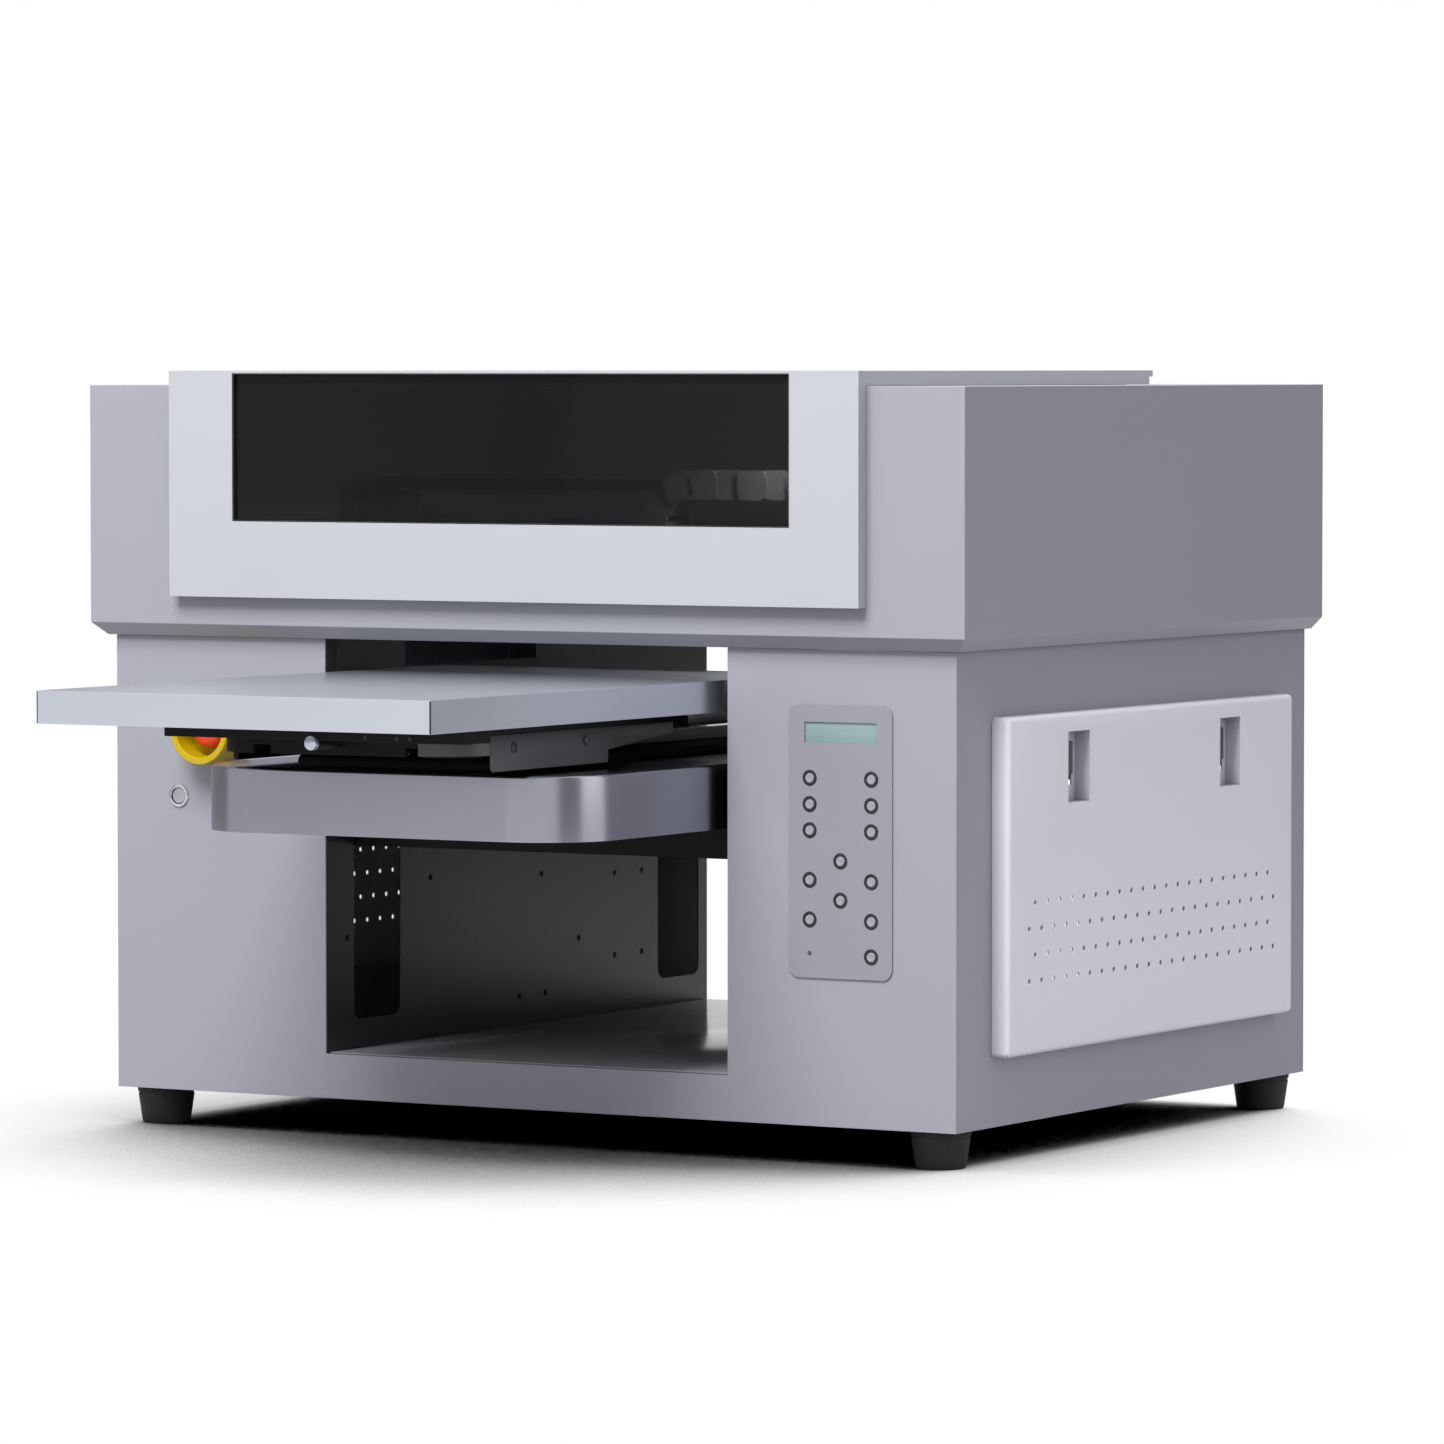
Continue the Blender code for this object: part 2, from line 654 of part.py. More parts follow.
def tunnel_notch(bm, front, rear):
    """The tunnel's opening through a front or rear panel, open at the top."""
    add_box(bm, (-TUNNEL_X, front - OVERRUN, TUNNEL_FLOOR_Z),
            (TUNNEL_X, rear + OVERRUN, CABINET_TOP_Z + OVERRUN))


def build_front_panel():
    """The front of the cabinet, with the tunnel's mouth and the holes of the controls."""
    back = CABINET_FRONT_Y + SHEET
    obj = make("front_panel", lambda bm: add_box(bm, (-CABINET_X, CABINET_FRONT_Y, FOOT_HEIGHT),
                                                 (CABINET_X, back, LINER_TOP_Z)))

    def openings(bm):
        tunnel_notch(bm, CABINET_FRONT_Y, back)
        half = PANEL_WIDTH / 2 - PANEL_LAP
        low_z, high_z = PANEL_TOP_Z - PANEL_HEIGHT + PANEL_LAP, PANEL_TOP_Z - PANEL_LAP
        add_box(bm, (PANEL_CENTRE_X - half, CABINET_FRONT_Y - OVERRUN, low_z),
                (PANEL_CENTRE_X + half, back + OVERRUN, high_z))
        for x, z, radius in ((POWER_X, POWER_Z, POWER_NECK_RADIUS), (STOP_X, STOP_Z, STOP_STEM_RADIUS)):
            add_cylinder(bm, (x, CABINET_FRONT_Y - OVERRUN, z), "Y", radius + 2 * GAP, SHEET + 2 * OVERRUN)
    cut(obj, "openings", openings)
    paint(obj, SILVER_GREY, 0.4)


def build_rear_panel():
    """The back of the cabinet, with the tunnel's exit, the inlet's hole and vent slots."""
    front = CABINET_REAR_Y - SHEET
    obj = make("rear_panel", lambda bm: add_box(bm, (-CABINET_X, front, FOOT_HEIGHT),
                                                (CABINET_X, CABINET_REAR_Y, LINER_TOP_Z)))

    def openings(bm):
        tunnel_notch(bm, front, CABINET_REAR_Y)
        x, z = INLET_WIDTH / 2 + GAP, INLET_HEIGHT / 2 + GAP
        add_box(bm, (INLET_X - x, front - OVERRUN, INLET_Z - z),
                (INLET_X + x, CABINET_REAR_Y + OVERRUN, INLET_Z + z))
        for side in (-1, 1):
            centre = side * COLUMN_CENTRE_X
            for row in range(REAR_SLOT_COUNT):
                bottom = REAR_SLOT_Z + row * REAR_SLOT_PITCH
                add_box(bm, (centre - REAR_SLOT_WIDTH / 2, front - OVERRUN, bottom),
                        (centre + REAR_SLOT_WIDTH / 2, CABINET_REAR_Y + OVERRUN, bottom + REAR_SLOT_HEIGHT))
    cut(obj, "openings", openings)
    paint(obj, SILVER_GREY, 0.4)


def hook_places():
    """Return the Y places of a door's two hooks."""
    return (DOOR_FRONT_Y + HOOK_INSET, DOOR_REAR_Y - HOOK_INSET)


def span_x(side, inner, outer):
    """Return low and high X for a stretch on the right (1) or left (-1) side."""
    return (inner, outer) if side > 0 else (-outer, -inner)


def build_side_panel(name, side):
    """One side of the cabinet, with the access opening and the slots of the door's hooks."""
    x_low, x_high = span_x(side, INNER_X, CABINET_X)
    obj = make(name, lambda bm: add_box(bm, (x_low, INNER_FRONT_Y, FOOT_HEIGHT),
                                        (x_high, INNER_REAR_Y, LINER_TOP_Z)))

    def openings(bm):
        low_z, high_z = DOOR_BOTTOM_Z + ACCESS_MARGIN_BOTTOM, DOOR_TOP_Z - ACCESS_MARGIN_TOP
        add_box(bm, (x_low - OVERRUN, DOOR_FRONT_Y + ACCESS_MARGIN_SIDE, low_z),
                (x_high + OVERRUN, DOOR_REAR_Y - ACCESS_MARGIN_SIDE, high_z))
        for y in hook_places():
            half = HOOK_WIDTH / 2 + GAP
            add_box(bm, (x_low - OVERRUN, y - half, DOOR_BOTTOM_Z - GAP),
                    (x_high + OVERRUN, y + half, DOOR_BOTTOM_Z - GAP + HOOK_SLOT_HEIGHT))
    cut(obj, "openings", openings)
    paint(obj, SILVER_GREY, 0.4)


def add_slot(bm, start, length, low_z):
    """Add a slot cutter across both walls of the tunnel, with rounded lower corners."""
    front = HOOD_FRONT_Y + start
    reach = TUNNEL_X + SHEET + OVERRUN
    verts = add_box(bm, (-reach, front, low_z), (reach, front + length, SLOT_TOP_Z))
    middle = (low_z + SLOT_TOP_Z) / 2
    lower = edges_of(verts, lambda a, b: along("X")(a, b) and a.z < middle)
    round_edges(bm, lower, SLOT_CORNER, 4)


def build_tunnel_liner():
    """Floor and walls of the tunnel in one folded sheet, with flanges at the top.

    Two slots in each wall let the lifting frame through, and a window lets the
    print carriage pass.
    """
    inner, outer = TUNNEL_X, TUNNEL_X + SHEET
    flange = outer + TUNNEL_FLANGE
    low, lip = TUNNEL_FLOOR_Z - SHEET, LINER_TOP_Z - SHEET
    half = [(outer, low), (outer, lip), (flange, lip), (flange, LINER_TOP_Z), (inner, LINER_TOP_Z),
            (inner, TUNNEL_FLOOR_Z)]
    points = half + [(-x, z) for x, z in reversed(half)]
    obj = outline_object("tunnel_liner", points, "Y", INNER_FRONT_Y, INNER_REAR_Y)

    def openings(bm):
        floor = TUNNEL_FLOOR_Z + SLOT_FLOOR_LIFT
        add_slot(bm, SLOT_FRONT_START, SLOT_FRONT_LENGTH, floor)
        add_slot(bm, SLOT_REAR_START, SLOT_REAR_LENGTH, floor)
        start = HOOD_FRONT_Y + CARRIAGE_WINDOW_START
        reach = flange + OVERRUN
        add_box(bm, (-reach, start, CARRIAGE_WINDOW_Z),
                (reach, start + CARRIAGE_WINDOW_LENGTH, LINER_TOP_Z + OVERRUN))
    cut(obj, "openings", openings)
    paint(obj, DARK_GREY, 0.35)


def add_hood_block(bm, wall, chamfer):
    """Add the hood's outer form, or its inner one a wall thickness inside it."""
    x = HOOD_WIDTH / 2 - wall
    low, high = CABINET_TOP_Z + wall, HOOD_TOP_Z - wall
    verts = add_box(bm, (-x, HOOD_FRONT_Y + wall, low), (x, HOOD_REAR_Y - wall, high))
    middle = Vector((0, (HOOD_FRONT_Y + HOOD_REAR_Y) / 2, (low + high) / 2))

    def lower_front_or_side(a, b):
        centre = (a + b) / 2 - middle
        return centre.z < 0 and abs((a - b).z) < wall + GAP and centre.y < GAP
    round_edges(bm, edges_of(verts, lower_front_or_side), chamfer, 1)


def build_hood():
    """The upper casing: a folded shell with a chamfered lower edge, open inside."""
    obj = make("hood_shell", lambda bm: add_hood_block(bm, 0, HOOD_CHAMFER))
    inner_chamfer = HOOD_CHAMFER - SHEET * (2 - math.sqrt(2))
    cut(obj, "hollow", lambda bm: add_hood_block(bm, SHEET, inner_chamfer))

    def openings(bm):
        x = INNER_X - HOOD_RIM
        add_box(bm, (-x, CABINET_FRONT_Y + HOOD_RIM, CABINET_TOP_Z - OVERRUN),
                (x, CABINET_REAR_Y - HOOD_RIM, CABINET_TOP_Z + SHEET + OVERRUN))
        x = LID_WIDTH / 2 - LID_LAP
        add_box(bm, (-x, LID_FRONT_Y, LID_BOTTOM_Z + LID_LAP),
                (x, LID_REAR_Y - LID_REAR_LAP, LID_TOP_Z + OVERRUN))
    cut(obj, "openings", openings)
    paint(obj, SILVER_GREY, 0.4)


def hinge_axis():
    """Return the (Y, Z) place of the lid's hinge axis."""
    return LID_REAR_Y - HINGE_INSET, HOOD_TOP_Z + HINGE_RISE


def ear_places(centre):
    """Return the X starts of the lid's two ears beside one hinge."""
    gap = HINGE_KNUCKLE_LENGTH / 2 + GAP
    return (centre - gap - HINGE_EAR_WIDTH, centre + gap)


def build_lid():
    """The lid: an L-shaped cover over the hood's front and top, its window and its hinges."""
    y_axis, z_axis = hinge_axis()
    x = LID_WIDTH / 2
    obj = make("lid_frame", lambda bm: add_box(
        bm, (-x, LID_FRONT_Y, LID_BOTTOM_Z), (x, LID_REAR_Y, LID_TOP_Z)), origin=(0, y_axis, z_axis))

    def hollow(bm):
        add_box(bm, (-x - OVERRUN, HOOD_FRONT_Y - GAP, LID_BOTTOM_Z - OVERRUN),
                (x + OVERRUN, LID_REAR_Y + OVERRUN, HOOD_TOP_Z + GAP))
    cut(obj, "step", hollow)

    def inside(bm):
        add_box(bm, (-x + LID_SHEET, LID_FRONT_Y + LID_SHEET, LID_BOTTOM_Z + LID_SHEET),
                (x - LID_SHEET, LID_REAR_Y + OVERRUN, LID_TOP_Z - LID_SHEET))
    cut(obj, "hollow", inside)

    def aperture(bm):
        half = WINDOW_WIDTH / 2
        add_box(bm, (-half, LID_FRONT_Y - OVERRUN, WINDOW_BOTTOM_Z),
                (half, LID_FRONT_Y + LID_SHEET + OVERRUN, LID_TOP_Z - LID_SHEET))
    cut(obj, "aperture", aperture)

    def heels(bm):
        for side in (-1, 1):
            low, high = span_x(side, x - LID_SHEET - GAP, x + OVERRUN)
            add_box(bm, (low, y_axis, LID_BOTTOM_Z), (high, LID_REAR_Y + OVERRUN, z_axis + HINGE_HEEL_RISE))
    cut(obj, "heels", heels)

    ear_radius = LID_TOP_Z - LID_SHEET - z_axis

    def ears(bm):
        for centre in (-HINGE_SPREAD, HINGE_SPREAD):
            for start in ear_places(centre):
                add_box(bm, (start, y_axis - ear_radius, z_axis),
                        (start + HINGE_EAR_WIDTH, y_axis + ear_radius, LID_TOP_Z - LID_SHEET / 2))
    join(obj, "ears", ears)

    def ear_ends(bm):
        for centre in (-HINGE_SPREAD, HINGE_SPREAD):
            for start in ear_places(centre):
                add_cylinder(bm, (start, y_axis, z_axis), "X", ear_radius - GAP, HINGE_EAR_WIDTH, 16)
    join(obj, "ear_ends", ear_ends)

    def bores(bm):
        for centre in (-HINGE_SPREAD, HINGE_SPREAD):
            for start in ear_places(centre):
                add_cylinder(bm, (start - GAP, y_axis, z_axis), "X", HINGE_PIN_RADIUS + HINGE_CLEARANCE,
                             HINGE_EAR_WIDTH + 2 * GAP, 16)
    cut(obj, "bores", bores)
    paint(obj, PALE_GREY, 0.35)

    back = LID_FRONT_Y + LID_SHEET + GAP
    half = WINDOW_WIDTH / 2 + WINDOW_LAP
    glass = make("lid_window", lambda bm: add_box(
        bm, (-half, back, WINDOW_BOTTOM_Z - WINDOW_LAP),
        (half, back + WINDOW_GLASS, LID_TOP_Z - LID_SHEET - GAP)))
    paint(glass, SMOKED, 0.06)

    build_lid_hinge(y_axis, z_axis)


def build_lid_hinge(y_axis, z_axis):
    """The lid's hinge: a leaf across the hood's top with two knuckles and their pins."""
    half = HINGE_KNUCKLE_LENGTH / 2
    end = HINGE_SPREAD + half
    leaf_base = HOOD_TOP_Z + GAP
    leaf_rear = y_axis - HINGE_KNUCKLE_RADIUS - HINGE_CLEARANCE * 2
    hinge = make("lid_hinge", lambda bm: add_box(
        bm, (-end, leaf_rear - HINGE_LEAF_WIDTH, leaf_base), (end, leaf_rear, leaf_base + HINGE_LEAF_SHEET)))

    def feet(bm):
        for centre in (-HINGE_SPREAD, HINGE_SPREAD):
            add_box(bm, (centre - half, leaf_rear - HINGE_LEAF_WIDTH / 2, leaf_base),
                    (centre + half, y_axis + HINGE_KNUCKLE_RADIUS, z_axis))
    join(hinge, "feet", feet)

    def knuckles(bm):
        for centre in (-HINGE_SPREAD, HINGE_SPREAD):
            add_cylinder(bm, (centre - half, y_axis, z_axis), "X", HINGE_KNUCKLE_RADIUS, 2 * half, 16)
    join(hinge, "knuckles", knuckles)

    def pins(bm):
        for centre in (-HINGE_SPREAD, HINGE_SPREAD):
            reach = half + HINGE_EAR_WIDTH + 2 * GAP
            add_cylinder(bm, (centre - reach, y_axis, z_axis), "X", HINGE_PIN_RADIUS, 2 * reach, 16)
    join(hinge, "pins", pins)
    paint(hinge, STEEL, 0.35, 1.0)


def cup_places():
    """Return the (Y start, Z bottom) places of a door's two latch cups."""
    bottom = DOOR_TOP_Z - CUP_TOP_DROP - CUP_HEIGHT
    return ((DOOR_FRONT_Y + CUP_FRONT_START, bottom), (DOOR_REAR_Y - CUP_REAR_START, bottom))


def vent_places():
    """Return the (Y, Z) centres of a door's vent holes, in staggered rows."""
    places = []
    for row in range(VENT_ROWS):
        inset = VENT_ROW_INSET - (0 if row % 2 == 0 else VENT_ROW_STAGGER)
        count = int((DOOR_LENGTH - 2 * inset) / VENT_PITCH) + 1
        z = DOOR_TOP_Z - VENT_TOP_DROP - row * VENT_ROW_PITCH
        places += [(DOOR_FRONT_Y + inset + column * VENT_PITCH, z) for column in range(count)]
    return places


def build_door(name, side):
    """One side door: a folded pan with vent holes, two latch cups and two hooks below."""
    inner, face = CABINET_X + GAP, DOOR_FACE_X
    x_low, x_high = span_x(side, inner, face)

    def blank(bm):
        verts = add_box(bm, (x_low, DOOR_FRONT_Y, DOOR_BOTTOM_Z), (x_high, DOOR_REAR_Y, DOOR_TOP_Z))
        middle = (inner + face) / 2
        rounded = edges_of(verts, lambda a, b: along("X")(a, b) or min(a.x * side, b.x * side) > middle)
        round_edges(bm, rounded, DOOR_EDGE_RADIUS, 3)
    obj = make(name, blank, origin=(side * CABINET_X, (DOOR_FRONT_Y + DOOR_REAR_Y) / 2, DOOR_BOTTOM_Z))

    def hollow(bm):
        low, high = span_x(side, inner - OVERRUN, face - SHEET)
        add_box(bm, (low, DOOR_FRONT_Y + SHEET, DOOR_BOTTOM_Z + SHEET),
                (high, DOOR_REAR_Y - SHEET, DOOR_TOP_Z - SHEET))
    cut(obj, "hollow", hollow)

    def cups(bm):
        low, high = span_x(side, face - CUP_DEPTH - CUP_WALL, face - SHEET / 2)
        for y, z in cup_places():
            add_box(bm, (low, y - CUP_WALL, z - CUP_WALL),
                    (high, y + CUP_WIDTH + CUP_WALL, z + CUP_HEIGHT + CUP_WALL))
        low, high = span_x(side, CABINET_X - HOOK_REACH, inner + SHEET)
        for y in hook_places():
            add_box(bm, (low, y - HOOK_WIDTH / 2, DOOR_BOTTOM_Z),
                    (high, y + HOOK_WIDTH / 2, DOOR_BOTTOM_Z + SHEET - GAP))
    join(obj, "cups_and_hooks", cups)

    def pockets(bm):
        low, high = span_x(side, face - CUP_DEPTH, face + OVERRUN)
        for y, z in cup_places():
            add_box(bm, (low, y, z), (high, y + CUP_WIDTH, z + CUP_HEIGHT))
    cut(obj, "pockets", pockets)

    def windows(bm):
        low, high = span_x(side, face - CUP_DEPTH - CUP_WALL - OVERRUN / 5, face - CUP_DEPTH + OVERRUN / 5)
        for y, z in cup_places():
            first = y + (CUP_WIDTH - LATCH_WINDOW_WIDTH) / 2
            top = z + CUP_HEIGHT - LATCH_WINDOW_DROP
            add_box(bm, (low, first, top - LATCH_WINDOW_HEIGHT), (high, first + LATCH_WINDOW_WIDTH, top))
    cut(obj, "latch_windows", windows)

    def vents(bm):
        start = (face - SHEET - OVERRUN) * side if side > 0 else -(face + OVERRUN)
        for y, z in vent_places():
            add_cylinder(bm, (start, y, z), "X", VENT_RADIUS, SHEET + 2 * OVERRUN, VENT_SIDES)
    cut(obj, "vents", vents)
    paint(obj, PALE_GREY, 0.4)


def build_latch(name, side, y, z):
    """A spring latch slider: a back plate behind the cup and a thumb block in its window."""
    back = DOOR_FACE_X - CUP_DEPTH - CUP_WALL - GAP
    top = z + CUP_HEIGHT - LATCH_WINDOW_DROP
    centre = y + CUP_WIDTH / 2
    half = LATCH_WINDOW_WIDTH / 2
    x_low, x_high = span_x(side, back - LATCH_PLATE, back)
    nose = DOOR_TOP_Z - ACCESS_MARGIN_TOP - GAP
    obj = make(name, lambda bm: add_box(
        bm, (x_low, centre - half - LATCH_LIP, top - LATCH_THUMB_HEIGHT - 2 * LATCH_LIP),
        (x_high, centre + half + LATCH_LIP, nose)),
        origin=(side * back, centre, top))

    def thumb(bm):
        low, high = span_x(side, back - LATCH_PLATE / 2, DOOR_FACE_X - CUP_DEPTH + LATCH_THUMB_PROUD)
        add_box(bm, (low, centre - half + GAP, top - GAP - LATCH_THUMB_HEIGHT),
                (high, centre + half - GAP, top - GAP))
    join(obj, "thumb", thumb)
    paint(obj, DARK_GREY, 0.4)


def key_places():
    """Return the (X, Z) centres of the control panel's keys, column by column."""
    columns = ((PANEL_CENTRE_X - KEY_COLUMN, KEY_DROPS_LEFT), (PANEL_CENTRE_X, KEY_DROPS_CENTRE),
               (PANEL_CENTRE_X + KEY_COLUMN, KEY_DROPS_RIGHT))
    return [(x, PANEL_TOP_Z - drop) for x, drops in columns for drop in drops]


def build_control_panel():
    """The control plate with its display and its thirteen round keys."""
    half = PANEL_WIDTH / 2

    def plate(bm):
        verts = add_box(bm, (PANEL_CENTRE_X - half, PANEL_FACE_Y, PANEL_TOP_Z - PANEL_HEIGHT),
                        (PANEL_CENTRE_X + half, PANEL_BACK_Y, PANEL_TOP_Z))
        round_edges(bm, edges_of(verts, along("Y")), PANEL_CORNER, 5)
    obj = make("control_panel_plate", plate)
    centre_z = PANEL_TOP_Z - DISPLAY_DROP - DISPLAY_HEIGHT / 2

    def holes(bm):
        start, length = PANEL_FACE_Y - OVERRUN, PANEL_SHEET + 2 * OVERRUN
        for x, z in key_places():
            add_cylinder(bm, (x, start, z), "Y", KEY_HOLE_RADIUS, length, 16)
        add_cylinder(bm, (PANEL_CENTRE_X - KEY_COLUMN, start, PANEL_TOP_Z - LAMP_DROP), "Y",
                     LAMP_HOLE_RADIUS, length, 12)
        add_box(bm, (PANEL_CENTRE_X - DISPLAY_WIDTH / 2, start, centre_z - DISPLAY_HEIGHT / 2),
                (PANEL_CENTRE_X + DISPLAY_WIDTH / 2, start + length, centre_z + DISPLAY_HEIGHT / 2))
    cut(obj, "holes", holes)
    paint(obj, PANEL_GREY, 0.45)

    x, z = DISPLAY_WIDTH / 2 + DISPLAY_LAP, DISPLAY_HEIGHT / 2 + DISPLAY_LAP
    display = make("display_window", lambda bm: add_box(
        bm, (PANEL_CENTRE_X - x, PANEL_BACK_Y + GAP, centre_z - z),
        (PANEL_CENTRE_X + x, PANEL_BACK_Y + GAP + DISPLAY_GLASS, centre_z + z)))
    paint(display, DISPLAY_GREEN, 0.2)

    for number, (x, z) in enumerate(key_places(), 1):
        build_key(f"key_{number:02d}", x, z)


def build_key(name, x, z):
    """One round key: a cap in the plate's hole and a flange behind the plate."""
    seat = KEY_PROUD + PANEL_SHEET + GAP
    profile = [(0, 0), (KEY_CAP_RADIUS - KEY_PROUD, 0), (KEY_CAP_RADIUS, KEY_PROUD), (KEY_CAP_RADIUS, seat),
               (KEY_FLANGE_RADIUS, seat), (KEY_FLANGE_RADIUS, seat + KEY_FLANGE), (0, seat + KEY_FLANGE)]
    obj = turned(name, profile, (x, PANEL_FACE_Y - KEY_PROUD, z), "Y", 16)
    paint(obj, PALE_GREY, 0.35)


def build_power_button():
    """The push button at the lower left: a metal bezel with a threaded neck, and its cap."""
    face = CABINET_FRONT_Y - GAP
    bezel = make("power_button_bezel", lambda bm: add_cylinder(
        bm, (POWER_X, face - POWER_BEZEL_PROUD, POWER_Z), "Y", POWER_BEZEL_RADIUS, POWER_BEZEL_PROUD, 32),
        smooth=True)
    join(bezel, "neck", lambda bm: add_cylinder(
        bm, (POWER_X, face - POWER_BEZEL_PROUD / 2, POWER_Z), "Y", POWER_NECK_RADIUS, POWER_LENGTH, 24))
    cut(bezel, "bore", lambda bm: add_cylinder(
        bm, (POWER_X, face - POWER_BEZEL_PROUD - OVERRUN, POWER_Z), "Y", POWER_CAP_RADIUS + GAP,
        POWER_LENGTH + 3 * OVERRUN, 24))
    paint(bezel, STEEL, 0.25, 1.0)
    start = face - POWER_CAP_PROUD
    length = POWER_LENGTH - POWER_BEZEL_PROUD
    rim = POWER_CAP_PROUD / 2
    profile = [(0, 0), (POWER_CAP_RADIUS - rim, 0), (POWER_CAP_RADIUS, rim), (POWER_CAP_RADIUS, length),
               (0, length)]
    cap = turned("power_button_cap", profile, (POWER_X, start, POWER_Z), "Y", 24)
    paint(cap, STEEL, 0.3, 1.0)


def build_emergency_stop():
    """The emergency stop: a yellow guard ring and a red mushroom head on its stem."""
    front = CABINET_FRONT_Y - GAP - STOP_GUARD_DEPTH
    guard = make("estop_guard", lambda bm: add_cylinder(
        bm, (STOP_X, front, STOP_Z), "Y", STOP_GUARD_RADIUS, STOP_GUARD_DEPTH, 40), smooth=True)

    def bore(bm):
        add_cylinder(bm, (STOP_X, front - OVERRUN, STOP_Z), "Y", STOP_GUARD_RADIUS - STOP_GUARD_WALL,
                     STOP_GUARD_DEPTH - STOP_GUARD_BASE + OVERRUN, 40)
    cut(guard, "well", bore)
    cut(guard, "bore", lambda bm: add_cylinder(
        bm, (STOP_X, front + STOP_GUARD_WALL, STOP_Z), "Y", STOP_STEM_RADIUS + GAP,
        STOP_GUARD_DEPTH + OVERRUN, 24))
    paint(guard, YELLOW, 0.4)
    start = front + STOP_HEAD_SUNK
    dome = [(STOP_HEAD_RADIUS * math.sin(angle), STOP_HEAD_HEIGHT / 2 * (1 - math.cos(angle)))
            for angle in (math.radians(15 * step) for step in range(7))]
    profile = dome + [(STOP_HEAD_RADIUS, STOP_HEAD_HEIGHT), (STOP_STEM_RADIUS, STOP_HEAD_HEIGHT),
                      (STOP_STEM_RADIUS, STOP_HEAD_HEIGHT + STOP_STEM_LENGTH),
                      (0, STOP_HEAD_HEIGHT + STOP_STEM_LENGTH)]
    head = turned("estop_head", profile, (STOP_X, start, STOP_Z), "Y", 24)
    paint(head, RED, 0.35)


def build_inlet():
    """The mains inlet: a flanged socket with three flat pins."""
    x, z = INLET_WIDTH / 2, INLET_HEIGHT / 2
    face = CABINET_REAR_Y + GAP
    lap = INLET_FLANGE_LAP
    obj = make("power_inlet", lambda bm: add_box(
        bm, (INLET_X - x - lap, face, INLET_Z - z - lap / 2),
        (INLET_X + x + lap, face + INLET_FLANGE, INLET_Z + z + lap / 2)))
    join(obj, "body", lambda bm: add_box(
        bm, (INLET_X - x, face + INLET_FLANGE / 2 - INLET_DEPTH, INLET_Z - z),
        (INLET_X + x, face + INLET_FLANGE / 2, INLET_Z + z)))
    depth = INLET_DEPTH - INLET_WALL
    cut(obj, "socket", lambda bm: add_box(
        bm, (INLET_X - x + INLET_WALL, face + INLET_FLANGE - depth, INLET_Z - z + INLET_WALL),
        (INLET_X + x - INLET_WALL, face + INLET_FLANGE + OVERRUN, INLET_Z + z - INLET_WALL)))

    def pins(bm):
        bottom = face + INLET_FLANGE - depth - INLET_WALL / 2
        for step in (-1, 0, 1):
            centre = INLET_X + step * INLET_PIN_PITCH
            middle = INLET_Z + (INLET_PIN_WIDTH if step == 0 else 0)
            add_box(bm, (centre - INLET_PIN_WIDTH / 2, bottom, middle - INLET_PIN_HEIGHT / 2),
                    (centre + INLET_PIN_WIDTH / 2, bottom + INLET_PIN_LENGTH, middle + INLET_PIN_HEIGHT / 2))
    join(obj, "pins", pins)
    paint(obj, BLACK, 0.5)


def rod_places():
    """Return the (X, Y) places of the four guide rods."""
    return [(x, y) for x in (-FRAME_SIDE_X, FRAME_SIDE_X) for y in (BEAM_FRONT_Y, BEAM_REAR_Y)]


